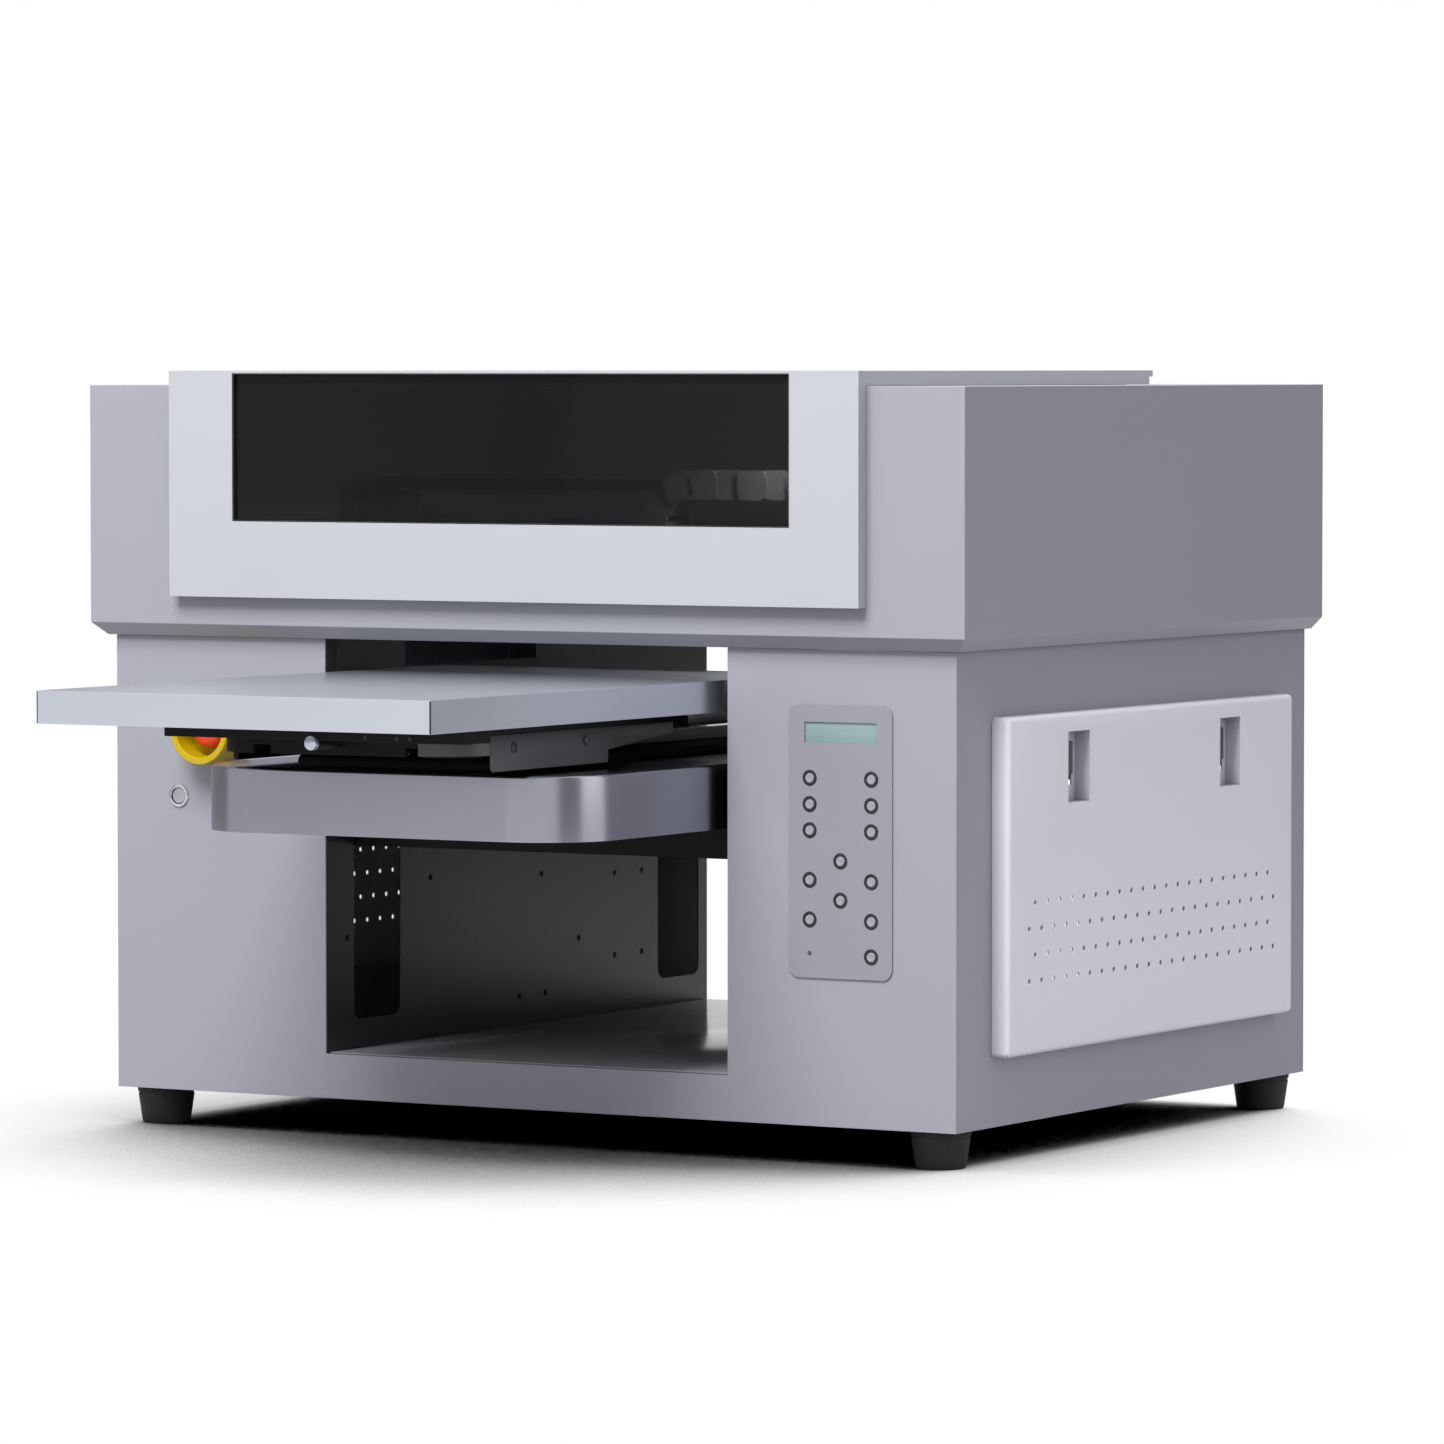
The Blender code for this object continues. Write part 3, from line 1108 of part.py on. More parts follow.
def build_lift():
    """The lifting frame, which reaches through the tunnel's slots, its rods and its screws."""
    front = BEAM_FRONT_Y - BEAM_FRONT_WIDTH / 2
    rear = BEAM_REAR_Y + BEAM_REAR_WIDTH / 2
    obj = make("lift_frame", lambda bm: add_box(bm, (-FRAME_REACH, front, FRAME_BOTTOM_Z),
                                                (FRAME_REACH, rear, FRAME_TOP_Z)),
               origin=(0, SCREW_Y, FRAME_TOP_Z))
    join(obj, "rear_beam", lambda bm: add_box(
        bm, (-FRAME_REACH, rear - BEAM_REAR_WIDTH, FRAME_BOTTOM_Z - BEAM_REAR_DROP),
        (FRAME_REACH, rear, FRAME_TOP_Z - BEAM_THICKNESS / 2)))
    inner = FRAME_REACH - FRAME_SIDE_WIDTH
    cut(obj, "opening", lambda bm: add_box(
        bm, (-inner, front + BEAM_FRONT_WIDTH, FRAME_BOTTOM_Z - BEAM_REAR_DROP - OVERRUN),
        (inner, rear - BEAM_REAR_WIDTH, FRAME_TOP_Z + OVERRUN)))

    def bores(bm):
        start = FRAME_BOTTOM_Z - BEAM_REAR_DROP - OVERRUN
        length = BEAM_THICKNESS + BEAM_REAR_DROP + 2 * OVERRUN
        for x, y in rod_places():
            add_cylinder(bm, (x, y, start), "Z", ROD_RADIUS + ROD_CLEARANCE, length, 20)
        for x in (-FRAME_SIDE_X, FRAME_SIDE_X):
            add_cylinder(bm, (x, SCREW_Y, start), "Z", SCREW_RADIUS + ROD_CLEARANCE, length, 20)
    cut(obj, "bores", bores)
    paint(obj, BLACK, 0.4)

    top = LINER_TOP_Z - SHEET - GAP
    bar_top = BAY_FLOOR_Z + ROD_BAR_HEIGHT
    half_bar = ROD_BAR_WIDTH / 2
    frame = make("guide_rod_frame", lambda bm: add_box(
        bm, (-FRAME_SIDE_X, ROD_TIE_Y - half_bar, BAY_FLOOR_Z),
        (FRAME_SIDE_X, ROD_TIE_Y + half_bar, bar_top)))

    def bars(bm):
        for x in (-FRAME_SIDE_X, FRAME_SIDE_X):
            add_box(bm, (x - half_bar, BEAM_FRONT_Y - half_bar, BAY_FLOOR_Z),
                    (x + half_bar, BEAM_REAR_Y + half_bar, bar_top))
    join(frame, "bars", bars)

    def rods(bm):
        for x, y in rod_places():
            add_cylinder(bm, (x, y, BAY_FLOOR_Z + ROD_BAR_HEIGHT / 2), "Z", ROD_RADIUS,
                         top - BAY_FLOOR_Z - ROD_BAR_HEIGHT / 2, 20)
    join(frame, "rods", rods)
    paint(frame, STEEL, 0.25, 1.0)

    base = bar_top + GAP
    profile = [(0, 0), (SCREW_COLLAR_RADIUS, 0), (SCREW_COLLAR_RADIUS, SCREW_COLLAR_HEIGHT),
               (SCREW_RADIUS, SCREW_COLLAR_HEIGHT), (SCREW_RADIUS, top - base), (0, top - base)]
    for name, x in (("lift_screw_right", FRAME_SIDE_X), ("lift_screw_left", -FRAME_SIDE_X)):
        screw = turned(name, profile, (x, SCREW_Y, base), "Z", 20)
        paint(screw, STEEL, 0.25, 1.0)


def build_bed():
    """The bed: an upturned pan with rounded corners, and its black deck with two rails on top."""
    x = BED_WIDTH / 2
    rear = BED_REAR_Y

    def pan(bm, wall, low_z):
        verts = add_box(bm, (-x + wall, BED_FRONT_Y + wall, low_z), (x - wall, rear - wall, BED_TOP_Z - wall))
        round_edges(bm, edges_of(verts, along("Z")), BED_CORNER - wall, 10)
    tray = make("bed_tray", lambda bm: pan(bm, 0, BED_BOTTOM_Z), smooth=True)
    cut(tray, "hollow", lambda bm: pan(bm, BED_WALL, BED_BOTTOM_Z - OVERRUN))
    paint(tray, BED_METAL, 0.3, 0.8)

    def deck(bm):
        verts = add_box(bm, (-DECK_WIDTH / 2, DECK_FRONT_Y, DECK_BOTTOM_Z),
                        (DECK_WIDTH / 2, DECK_REAR_Y, DECK_TOP_Z))
        middle = (DECK_BOTTOM_Z + DECK_TOP_Z) / 2
        upper = edges_of(verts, lambda a, b: along("Z")(a, b) or min(a.z, b.z) > middle)
        round_edges(bm, upper, DECK_CORNER, 3)
    paint(make("bed_deck", deck), BLACK, 0.5)

    rails = make("feed_rails", lambda bm: add_box(
        bm, (-RAIL_SPREAD, RAIL_REAR_Y - RAIL_TIE_WIDTH, RAIL_BOTTOM_Z),
        (RAIL_SPREAD, RAIL_REAR_Y, RAIL_BOTTOM_Z + RAIL_TIE_HEIGHT)))

    def bars(bm):
        for centre in (-RAIL_SPREAD, RAIL_SPREAD):
            add_box(bm, (centre - RAIL_WIDTH / 2, RAIL_FRONT_Y, RAIL_BOTTOM_Z),
                    (centre + RAIL_WIDTH / 2, RAIL_REAR_Y, RAIL_TOP_Z))
    join(rails, "bars", bars)
    paint(rails, STEEL, 0.25, 1.0)


def runner_places():
    """Return the (X, Y start) places of the four runner blocks under the saddle."""
    first = RAIL_FRONT_Y + RUNNER_START
    return [(x, y) for x in (-RAIL_SPREAD, RAIL_SPREAD) for y in (first, first + RUNNER_SPACING)]


def skirt_path(inset):
    """Return the (X, Y) points along the U-shaped skirt, from its left end to its right end."""
    half = SKIRT_WIDTH / 2
    end = SKIRT_FRONT_Y + SKIRT_LENGTH
    centre_x = half - SKIRT_CORNER
    centre_y = SKIRT_FRONT_Y + SKIRT_CORNER
    radius = SKIRT_CORNER - inset
    steps = 4
    turns = [math.pi / 2 * step / steps for step in range(steps + 1)]
    left = [(-centre_x - radius * math.cos(a), centre_y - radius * math.sin(a)) for a in turns]
    right = [(centre_x + radius * math.sin(a), centre_y - radius * math.cos(a)) for a in turns]
    return [(inset - half, end), *left, *right, (half - inset, end)]


def add_upright(bm, points, low_z, high_z):
    """Add a prism along Z whose outline is a list of (X, Y) points."""
    ends = [[bm.verts.new((x, y, z)) for x, y in points] for z in (low_z, high_z)]
    bm.faces.new(list(reversed(ends[0])))
    bm.faces.new(ends[1])
    for first, second, third, fourth in zip(ends[0], ends[0][1:] + ends[0][:1],
                                            ends[1][1:] + ends[1][:1], ends[1]):
        bm.faces.new((first, second, third, fourth))


def build_table():
    """The print table, and the saddle that carries it along the rails."""
    x = SADDLE_WIDTH / 2
    rear = SADDLE_FRONT_Y + SADDLE_LENGTH
    obj = make("table_saddle", lambda bm: add_box(
        bm, (-x, SADDLE_FRONT_Y, SADDLE_BOTTOM_Z), (x, rear, SADDLE_TOP_Z)))
    join(obj, "skirt", lambda bm: add_upright(
        bm, skirt_path(0) + list(reversed(skirt_path(SKIRT_WALL))), SKIRT_BOTTOM_Z,
        SADDLE_BOTTOM_Z + SADDLE_SHEET / 2))

    def runners(bm):
        for centre, y in runner_places():
            add_box(bm, (centre - RUNNER_WIDTH / 2, y, RAIL_BOTTOM_Z + RUNNER_LIFT),
                    (centre + RUNNER_WIDTH / 2, y + RUNNER_LENGTH, SADDLE_BOTTOM_Z + SADDLE_SHEET / 2))
    join(obj, "runners", runners)

    step = rear - WING_SETBACK
    slope = step - WING_SLOPE_LENGTH
    deep = slope - WING_DEEP_LENGTH
    root = SADDLE_BOTTOM_Z + SADDLE_SHEET / 2
    points = [(deep, root), (deep, SADDLE_BOTTOM_Z - WING_DEEP), (slope, SADDLE_BOTTOM_Z - WING_DEEP),
              (slope, SADDLE_BOTTOM_Z - WING_MID), (step, SADDLE_BOTTOM_Z - WING_SHALLOW), (step, root)]

    def wings(bm):
        for side in (-1, 1):
            add_prism(bm, points, *span_x(side, x - WING_SHEET, x))
    join(obj, "wings", wings)
    join(obj, "knob", lambda bm: add_cylinder(
        bm, (0, SADDLE_FRONT_Y - KNOB_PROUD, SADDLE_BOTTOM_Z - KNOB_DROP), "Y", KNOB_RADIUS,
        KNOB_PROUD + SKIRT_SETBACK + SKIRT_WALL / 2, 20))

    def grooves(bm):
        for centre in (-RAIL_SPREAD, RAIL_SPREAD):
            half = RAIL_WIDTH / 2 + GAP
            add_box(bm, (centre - half, SADDLE_FRONT_Y - OVERRUN, RAIL_BOTTOM_Z - OVERRUN),
                    (centre + half, rear + OVERRUN, RAIL_TOP_Z + GAP))
    cut(obj, "grooves", grooves)
    paint(obj, BLACK, 0.45)

    table_x = TABLE_WIDTH / 2
    table_rear = TABLE_FRONT_Y + TABLE_LENGTH
    table = make("table_plate", lambda bm: add_box(
        bm, (-table_x, TABLE_FRONT_Y, TABLE_BOTTOM_Z), (table_x, table_rear, TABLE_TOP_Z)))
    cut(table, "hollow", lambda bm: add_box(
        bm, (-table_x + TABLE_WALL, TABLE_FRONT_Y + TABLE_WALL, TABLE_BOTTOM_Z - OVERRUN),
        (table_x - TABLE_WALL, table_rear - TABLE_WALL, TABLE_TOP_Z - TABLE_WALL)))

    def ribs(bm):
        for centre in (-RAIL_SPREAD, RAIL_SPREAD):
            outer = math.copysign(SADDLE_WIDTH / 2, centre)
            inner = math.copysign(SADDLE_WIDTH / 2 - TABLE_RIB_WIDTH, centre)
            add_box(bm, (min(inner, outer), SADDLE_FRONT_Y, TABLE_BOTTOM_Z),
                    (max(inner, outer), rear, TABLE_TOP_Z - TABLE_WALL / 2))
    join(table, "ribs", ribs)
    paint(table, TABLE_METAL, 0.3, 0.6)


def build_gantry():
    """The gantry beam with its track, on two pedestals over the tunnel's flanges."""
    reach = INNER_X - GANTRY_END_CLEARANCE / 4
    rear = GANTRY_Y + GANTRY_DEPTH
    obj = make("gantry_beam", lambda bm: add_box(bm, (-reach, GANTRY_Y, GANTRY_Z),
                                                 (reach, rear, GANTRY_Z + GANTRY_HEIGHT)))

    def pedestals(bm):
        for side in (-1, 1):
            first = TUNNEL_X + SHEET + OVERRUN
            low, high = span_x(side, first, first + PEDESTAL_WIDTH)
            add_box(bm, (low, GANTRY_Y, LINER_TOP_Z + GAP), (high, rear, GANTRY_Z + GANTRY_HEIGHT / 2))
    join(obj, "pedestals", pedestals)
    join(obj, "track", lambda bm: add_box(
        bm, (-reach + GANTRY_END_CLEARANCE, GANTRY_Y - TRACK_DEPTH, TRACK_BOTTOM_Z),
        (reach - GANTRY_END_CLEARANCE, GANTRY_Y + TRACK_DEPTH, TRACK_BOTTOM_Z + TRACK_HEIGHT)))
    paint(obj, STEEL, 0.4, 0.8)

    side = MOTOR_SIDE
    first = -reach + GAP
    base = GANTRY_Z + GANTRY_HEIGHT + GAP
    centre_y = GANTRY_Y + GANTRY_DEPTH / 2

    def body(bm):
        verts = add_box(bm, (first, centre_y - side / 2, base),
                        (first + side, centre_y + side / 2, base + MOTOR_LENGTH))
        round_edges(bm, edges_of(verts, along("Z")), MOTOR_CORNER, 1)
    motor = make("carriage_motor", body)

    def shaft(bm):
        add_cylinder(bm, (first + side / 2, centre_y, base + MOTOR_LENGTH / 2), "Z", MOTOR_PULLEY_RADIUS,
                     MOTOR_LENGTH / 2 + MOTOR_PULLEY_LENGTH, 20)
    join(motor, "pulley", shaft)
    paint(motor, BLACK, 0.5)
    return obj


def build_carriage():
    """The print carriage with its print head and its curing lamp."""
    half = CARRIAGE_WIDTH / 2
    low, high = CARRIAGE_X - half, CARRIAGE_X + half
    wall = CARRIAGE_WALL
    obj = make("print_carriage", lambda bm: add_box(
        bm, (low, CARRIAGE_FRONT_Y, CARRIAGE_Z), (high, CARRIAGE_REAR_Y, CARRIAGE_Z + CARRIAGE_HEIGHT)),
        origin=(CARRIAGE_X, CARRIAGE_REAR_Y, TRACK_BOTTOM_Z))
    cut(obj, "hollow", lambda bm: add_box(
        bm, (low + wall, CARRIAGE_FRONT_Y + wall, CARRIAGE_Z + wall),
        (high - wall, CARRIAGE_REAR_Y - wall, CARRIAGE_Z + CARRIAGE_HEIGHT + OVERRUN)))
    shoe = SHOE_WIDTH / 2
    join(obj, "shoe", lambda bm: add_box(
        bm, (CARRIAGE_X - shoe, CARRIAGE_REAR_Y - wall / 2, TRACK_BOTTOM_Z - SHOE_WALL),
        (CARRIAGE_X + shoe, GANTRY_Y - GAP, TRACK_BOTTOM_Z + TRACK_HEIGHT + SHOE_WALL)))
    cut(obj, "track_groove", lambda bm: add_box(
        bm, (low - OVERRUN, GANTRY_Y - TRACK_DEPTH - GAP, TRACK_BOTTOM_Z - GAP),
        (high + OVERRUN, GANTRY_Y + OVERRUN, TRACK_BOTTOM_Z + TRACK_HEIGHT + GAP)))
    head_x, head_y = HEAD_WIDTH / 2, HEAD_LENGTH / 2
    centre_y = (CARRIAGE_FRONT_Y + CARRIAGE_REAR_Y - wall) / 2
    cut(obj, "head_hole", lambda bm: add_box(
        bm, (CARRIAGE_X - head_x - GAP, centre_y - head_y - GAP, CARRIAGE_Z - OVERRUN),
        (CARRIAGE_X + head_x + GAP, centre_y + head_y + GAP, CARRIAGE_Z + wall + OVERRUN)))

    arm_high = CHAIN_ARM_X
    arm_low = arm_high - CHAIN_ARM_WIDTH
    arm_top = CHAIN_UPPER_Z - GAP
    join(obj, "chain_post", lambda bm: add_box(
        bm, (arm_low, CARRIAGE_FRONT_Y + wall / 2 - CHAIN_ARM_SHEET, CARRIAGE_Z + CARRIAGE_HEIGHT / 2),
        (high - wall / 2, CARRIAGE_FRONT_Y + wall / 2, arm_top)))
    join(obj, "chain_arm", lambda bm: add_box(
        bm, (arm_low, CHAIN_Y - CHAIN_WIDTH / 2, arm_top - CHAIN_ARM_SHEET),
        (high - wall / 2, CARRIAGE_FRONT_Y + wall / 4, arm_top)))
    paint(obj, BLACK, 0.4)

    def head_body(bm):
        add_box(bm, (CARRIAGE_X - head_x, centre_y - head_y, HEAD_Z),
                (CARRIAGE_X + head_x, centre_y + head_y, HEAD_Z + HEAD_HEIGHT))
    head = make("print_head", head_body)
    base = CARRIAGE_Z + wall + GAP
    join(head, "collar", lambda bm: add_box(
        bm, (CARRIAGE_X - head_x - HEAD_COLLAR, centre_y - head_y - HEAD_COLLAR, base),
        (CARRIAGE_X + head_x + HEAD_COLLAR, centre_y + head_y + HEAD_COLLAR, base + HEAD_COLLAR_HEIGHT)))
    paint(head, STEEL, 0.35, 0.6)

    lamp_high = low - GAP
    lamp_low = lamp_high - LAMP_WIDTH
    lamp_y = centre_y - LAMP_LENGTH / 2
    lamp = make("uv_lamp", lambda bm: add_box(bm, (lamp_low, lamp_y, LAMP_Z),
                                              (lamp_high, lamp_y + LAMP_LENGTH, LAMP_Z + LAMP_HEIGHT)))

    def fins(bm):
        margin = (LAMP_LENGTH - (LAMP_FINS - 1) * LAMP_FIN_PITCH - LAMP_FIN_GAP) / 2
        for number in range(LAMP_FINS):
            y = lamp_y + margin + number * LAMP_FIN_PITCH
            add_box(bm, (lamp_low - OVERRUN, y, LAMP_Z + LAMP_HEIGHT - LAMP_FIN_DEPTH),
                    (lamp_high + OVERRUN, y + LAMP_FIN_GAP, LAMP_Z + LAMP_HEIGHT + OVERRUN))
    cut(lamp, "fins", fins)
    paint(lamp, STEEL, 0.4, 0.7)


def add_link_grooves(bm, start, end, low_z):
    """Add cutters for the narrow grooves between the links of a chain's straight run."""
    count = int((end - start) / CHAIN_LINK_PITCH)
    for number in range(1, count):
        x = start + number * (end - start) / count
        for z in (low_z, low_z + CHAIN_THICKNESS):
            add_box(bm, (x - CHAIN_GROOVE / 2, CHAIN_Y - CHAIN_WIDTH, z - CHAIN_GROOVE),
                    (x + CHAIN_GROOVE / 2, CHAIN_Y + CHAIN_WIDTH, z + CHAIN_GROOVE))


def build_chain(gantry):
    """The cable chain in three pieces, upper run, bend and lower run, and its trough on the gantry."""
    front, rear = CHAIN_Y - CHAIN_WIDTH / 2, CHAIN_Y + CHAIN_WIDTH / 2
    runs = (("drag_chain_upper", CHAIN_BEND_X, CHAIN_ARM_X, CHAIN_UPPER_Z),
            ("drag_chain_lower", CHAIN_BEND_X, CHAIN_ANCHOR_X, CHAIN_LOWER_Z))
    for name, start, end, low_z in runs:
        run = make(name, lambda bm: add_box(
            bm, (start + GAP, front, low_z), (end, rear, low_z + CHAIN_THICKNESS)))
        cut(run, "grooves", lambda bm: add_link_grooves(bm, start, end, low_z))
        paint(run, BLACK, 0.5)

    inner = CHAIN_BEND_RADIUS - CHAIN_THICKNESS
    steps = 12
    angles = [math.pi / 2 + math.pi * step / steps for step in range(steps + 1)]
    arc = [(CHAIN_BEND_X + CHAIN_BEND_RADIUS * math.cos(a), CHAIN_CENTRE_Z + CHAIN_BEND_RADIUS * math.sin(a))
           for a in angles]
    back = [(CHAIN_BEND_X + inner * math.cos(a), CHAIN_CENTRE_Z + inner * math.sin(a))
            for a in reversed(angles)]
    paint(outline_object("drag_chain_bend", arc + back, "Y", front, rear), BLACK, 0.5)

    base = CHAIN_LOWER_Z - GAP
    margin = TROUGH_SHEET + GAP

    def trough(bm):
        add_box(bm, (TROUGH_START_X, front - margin, base - TROUGH_SHEET),
                (CHAIN_ANCHOR_X + margin, rear + margin, base + TROUGH_WALL))
    join(gantry, "trough", trough)
    cut(gantry, "channel", lambda bm: add_box(
        bm, (TROUGH_START_X - OVERRUN, front - GAP, base),
        (CHAIN_ANCHOR_X + GAP, rear + GAP, base + TROUGH_WALL + OVERRUN)))

    def posts(bm):
        window = HOOD_FRONT_Y + CARRIAGE_WINDOW_START
        for side in (-1, 1):
            low, high = span_x(side, TROUGH_POST_X, TROUGH_POST_X + TROUGH_POST_WIDTH)
            add_box(bm, (low, window - OVERRUN / 2 - TROUGH_POST_DEPTH, LINER_TOP_Z + GAP),
                    (high, front - margin + TROUGH_SHEET / 2, base - TROUGH_SHEET / 2))
    join(gantry, "posts", posts)
    end = INNER_X - GANTRY_END_CLEARANCE / 4
    join(gantry, "trough_arm", lambda bm: add_box(
        bm, (end - TROUGH_ARM_WIDTH, rear + margin / 2, base - TROUGH_SHEET - TROUGH_WALL),
        (end, GANTRY_Y + OVERRUN, base)))


def build_cap_station():
    """The capping station on its bracket, below the parked print head."""
    outer = INNER_X - GAP
    centre_y = (CARRIAGE_FRONT_Y + CARRIAGE_REAR_Y - CARRIAGE_WALL) / 2
    y = CAP_BOX_LENGTH / 2
    x = CAP_BOX_WIDTH / 2
    sheet = CAP_SHELF_SHEET
    top = HEAD_Z - CAP_HEAD_CLEARANCE
    obj = make("cap_station", lambda bm: add_box(bm, (CARRIAGE_X - x, centre_y - y, CAP_SHELF_Z),
                                                 (outer, centre_y + y, CAP_SHELF_Z + sheet)))
    join(obj, "flange", lambda bm: add_box(bm, (outer - sheet, centre_y - y, CAP_SHELF_Z),
                                           (outer, centre_y + y, CAP_SHELF_Z + CAP_SHELF_HEIGHT)))
    join(obj, "box", lambda bm: add_box(bm, (CARRIAGE_X - x, centre_y - y, CAP_SHELF_Z + sheet / 2),
                                        (CARRIAGE_X + x, centre_y + y, top)))
    cut(obj, "well", lambda bm: add_box(
        bm, (CARRIAGE_X - x + CAP_WELL_WALL, centre_y - y + CAP_WELL_WALL, top - CAP_WELL_DEPTH),
        (CARRIAGE_X + x - CAP_WELL_WALL, centre_y + y - CAP_WELL_WALL, top + OVERRUN)))
    paint(obj, DARK_GREY, 0.5)


def build_electronics():
    """The power supply and the control board on one chassis plate, in the right compartment."""
    low, high = BAY_X, BAY_X + BAY_WIDTH
    top = BAY_FLOOR_Z + CHASSIS_SHEET
    obj = make("electronics_chassis", lambda bm: add_box(
        bm, (low, SUPPLY_Y, BAY_FLOOR_Z), (high, BOARD_Y + BOARD_LENGTH, top)))
    join(obj, "supply", lambda bm: add_box(
        bm, (low, SUPPLY_Y, top - CHASSIS_SHEET / 2), (high, SUPPLY_Y + SUPPLY_LENGTH, top + SUPPLY_HEIGHT)))
    cut(obj, "terminal_step", lambda bm: add_box(
        bm, (low - OVERRUN, SUPPLY_Y - OVERRUN, top + SUPPLY_HEIGHT / 2),
        (high + OVERRUN, SUPPLY_Y + SUPPLY_STEP, top + SUPPLY_HEIGHT + OVERRUN)))

    base = top + BOARD_STANDOFF
    join(obj, "board", lambda bm: add_box(
        bm, (low, BOARD_Y, base), (high, BOARD_Y + BOARD_LENGTH, base + BOARD_SHEET)))

    def standoffs(bm):
        inset = BOARD_STANDOFF_INSET
        for x in (low + inset, high - inset):
            for y in (BOARD_Y + inset, BOARD_Y + BOARD_LENGTH - inset):
                add_cylinder(bm, (x, y, top - CHASSIS_SHEET / 2), "Z", BOARD_STANDOFF_RADIUS,
                             BOARD_STANDOFF + CHASSIS_SHEET / 2 + BOARD_SHEET / 2, 12)
    join(obj, "standoffs", standoffs)

    def components(bm):
        for x, y, width, length in BOARD_PART_SHARES:
            corner = (low + x * BAY_WIDTH, BOARD_Y + y * BOARD_LENGTH)
            add_box(bm, (*corner, base + BOARD_SHEET / 2),
                    (corner[0] + width * BAY_WIDTH, corner[1] + length * BOARD_LENGTH,
                     base + BOARD_SHEET + BOARD_PART_HEIGHT))
    join(obj, "components", components)
    paint(obj, STEEL, 0.4, 0.8)


def tank_places():
    """Return the (X low, X high, Y start) places of the ink tanks, two to a row."""
    low, high = -BAY_X - BAY_WIDTH + 2 * RACK_SHEET, -BAY_X - 2 * RACK_SHEET
    middle = (low + high) / 2
    spans = ((low, middle - TANK_GAP / 2), (middle + TANK_GAP / 2, high))
    return [(*span, TANK_Y + row * TANK_PITCH) for row in range(TANK_ROWS) for span in spans]


def build_ink_tanks():
    """Six ink tanks with caps in their rack, in the rear of the left compartment."""
    low, high = -BAY_X - BAY_WIDTH, -BAY_X
    last = TANK_Y + (TANK_ROWS - 1) * TANK_PITCH + TANK_LENGTH
    margin = TANK_PITCH - TANK_LENGTH
    base = BAY_FLOOR_Z + RACK_SHEET
    obj = make("ink_tank_rack", lambda bm: add_box(
        bm, (low, TANK_Y - margin, BAY_FLOOR_Z), (high, last + margin, BAY_FLOOR_Z + RACK_HEIGHT)))
    cut(obj, "tray", lambda bm: add_box(
        bm, (low + RACK_SHEET, TANK_Y - margin + RACK_SHEET, base),
        (high - RACK_SHEET, last + margin - RACK_SHEET, BAY_FLOOR_Z + RACK_HEIGHT + OVERRUN)))

    def tanks(bm):
        for x_low, x_high, y in tank_places():
            verts = add_box(bm, (x_low, y, base - RACK_SHEET / 2),
                            (x_high, y + TANK_LENGTH, base + TANK_HEIGHT))
            round_edges(bm, edges_of(verts, along("Z")), TANK_CORNER, 2)
    join(obj, "tanks", tanks)

    def caps(bm):
        for x_low, x_high, y in tank_places():
            centre = ((x_low + x_high) / 2, y + TANK_LENGTH / 2, base + TANK_HEIGHT - TANK_CORNER)
            add_cylinder(bm, centre, "Z", TANK_CAP_RADIUS, TANK_CAP_HEIGHT + TANK_CORNER, 16)
    join(obj, "caps", caps)
    paint(obj, INK_WHITE, 0.5)


def build_printer():
    """Build every piece of the printer."""
    clear_scene()
    build_feet()
    build_base_pan()
    build_front_panel()
    build_rear_panel()
    build_side_panel("side_panel_right", 1)
    build_side_panel("side_panel_left", -1)
    build_tunnel_liner()
    build_hood()
    build_lid()
    for label, side in (("right", 1), ("left", -1)):
        build_door(f"door_{label}", side)
        for place, (y, z) in zip(("front", "rear"), cup_places()):
            build_latch(f"latch_{label}_{place}", side, y, z)
    build_control_panel()
    build_power_button()
    build_emergency_stop()
    build_inlet()
    build_lift()
    build_bed()
    build_table()
    gantry = build_gantry()
    build_carriage()
    build_chain(gantry)
    build_cap_station()
    build_electronics()
    build_ink_tanks()
    bpy.context.view_layer.update()


if __name__ == "__main__":
    build_printer()
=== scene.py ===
"""Looks of a desktop flatbed UV printer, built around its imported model.

Metres, +Z up.  The origin is on the ground, -Y is the front with the print
table run out, and +X is the machine's right side.  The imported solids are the
fixed frame: each of them is replaced here by a piece with rounded edges,
finer forms and its own finish, and small fittings are added to them.
"""
import logging
import math
from dataclasses import dataclass, field
from enum import Enum
from typing import Callable, Iterable, Mapping, Sequence

import bmesh
import bpy
from mathutils import Matrix, Vector

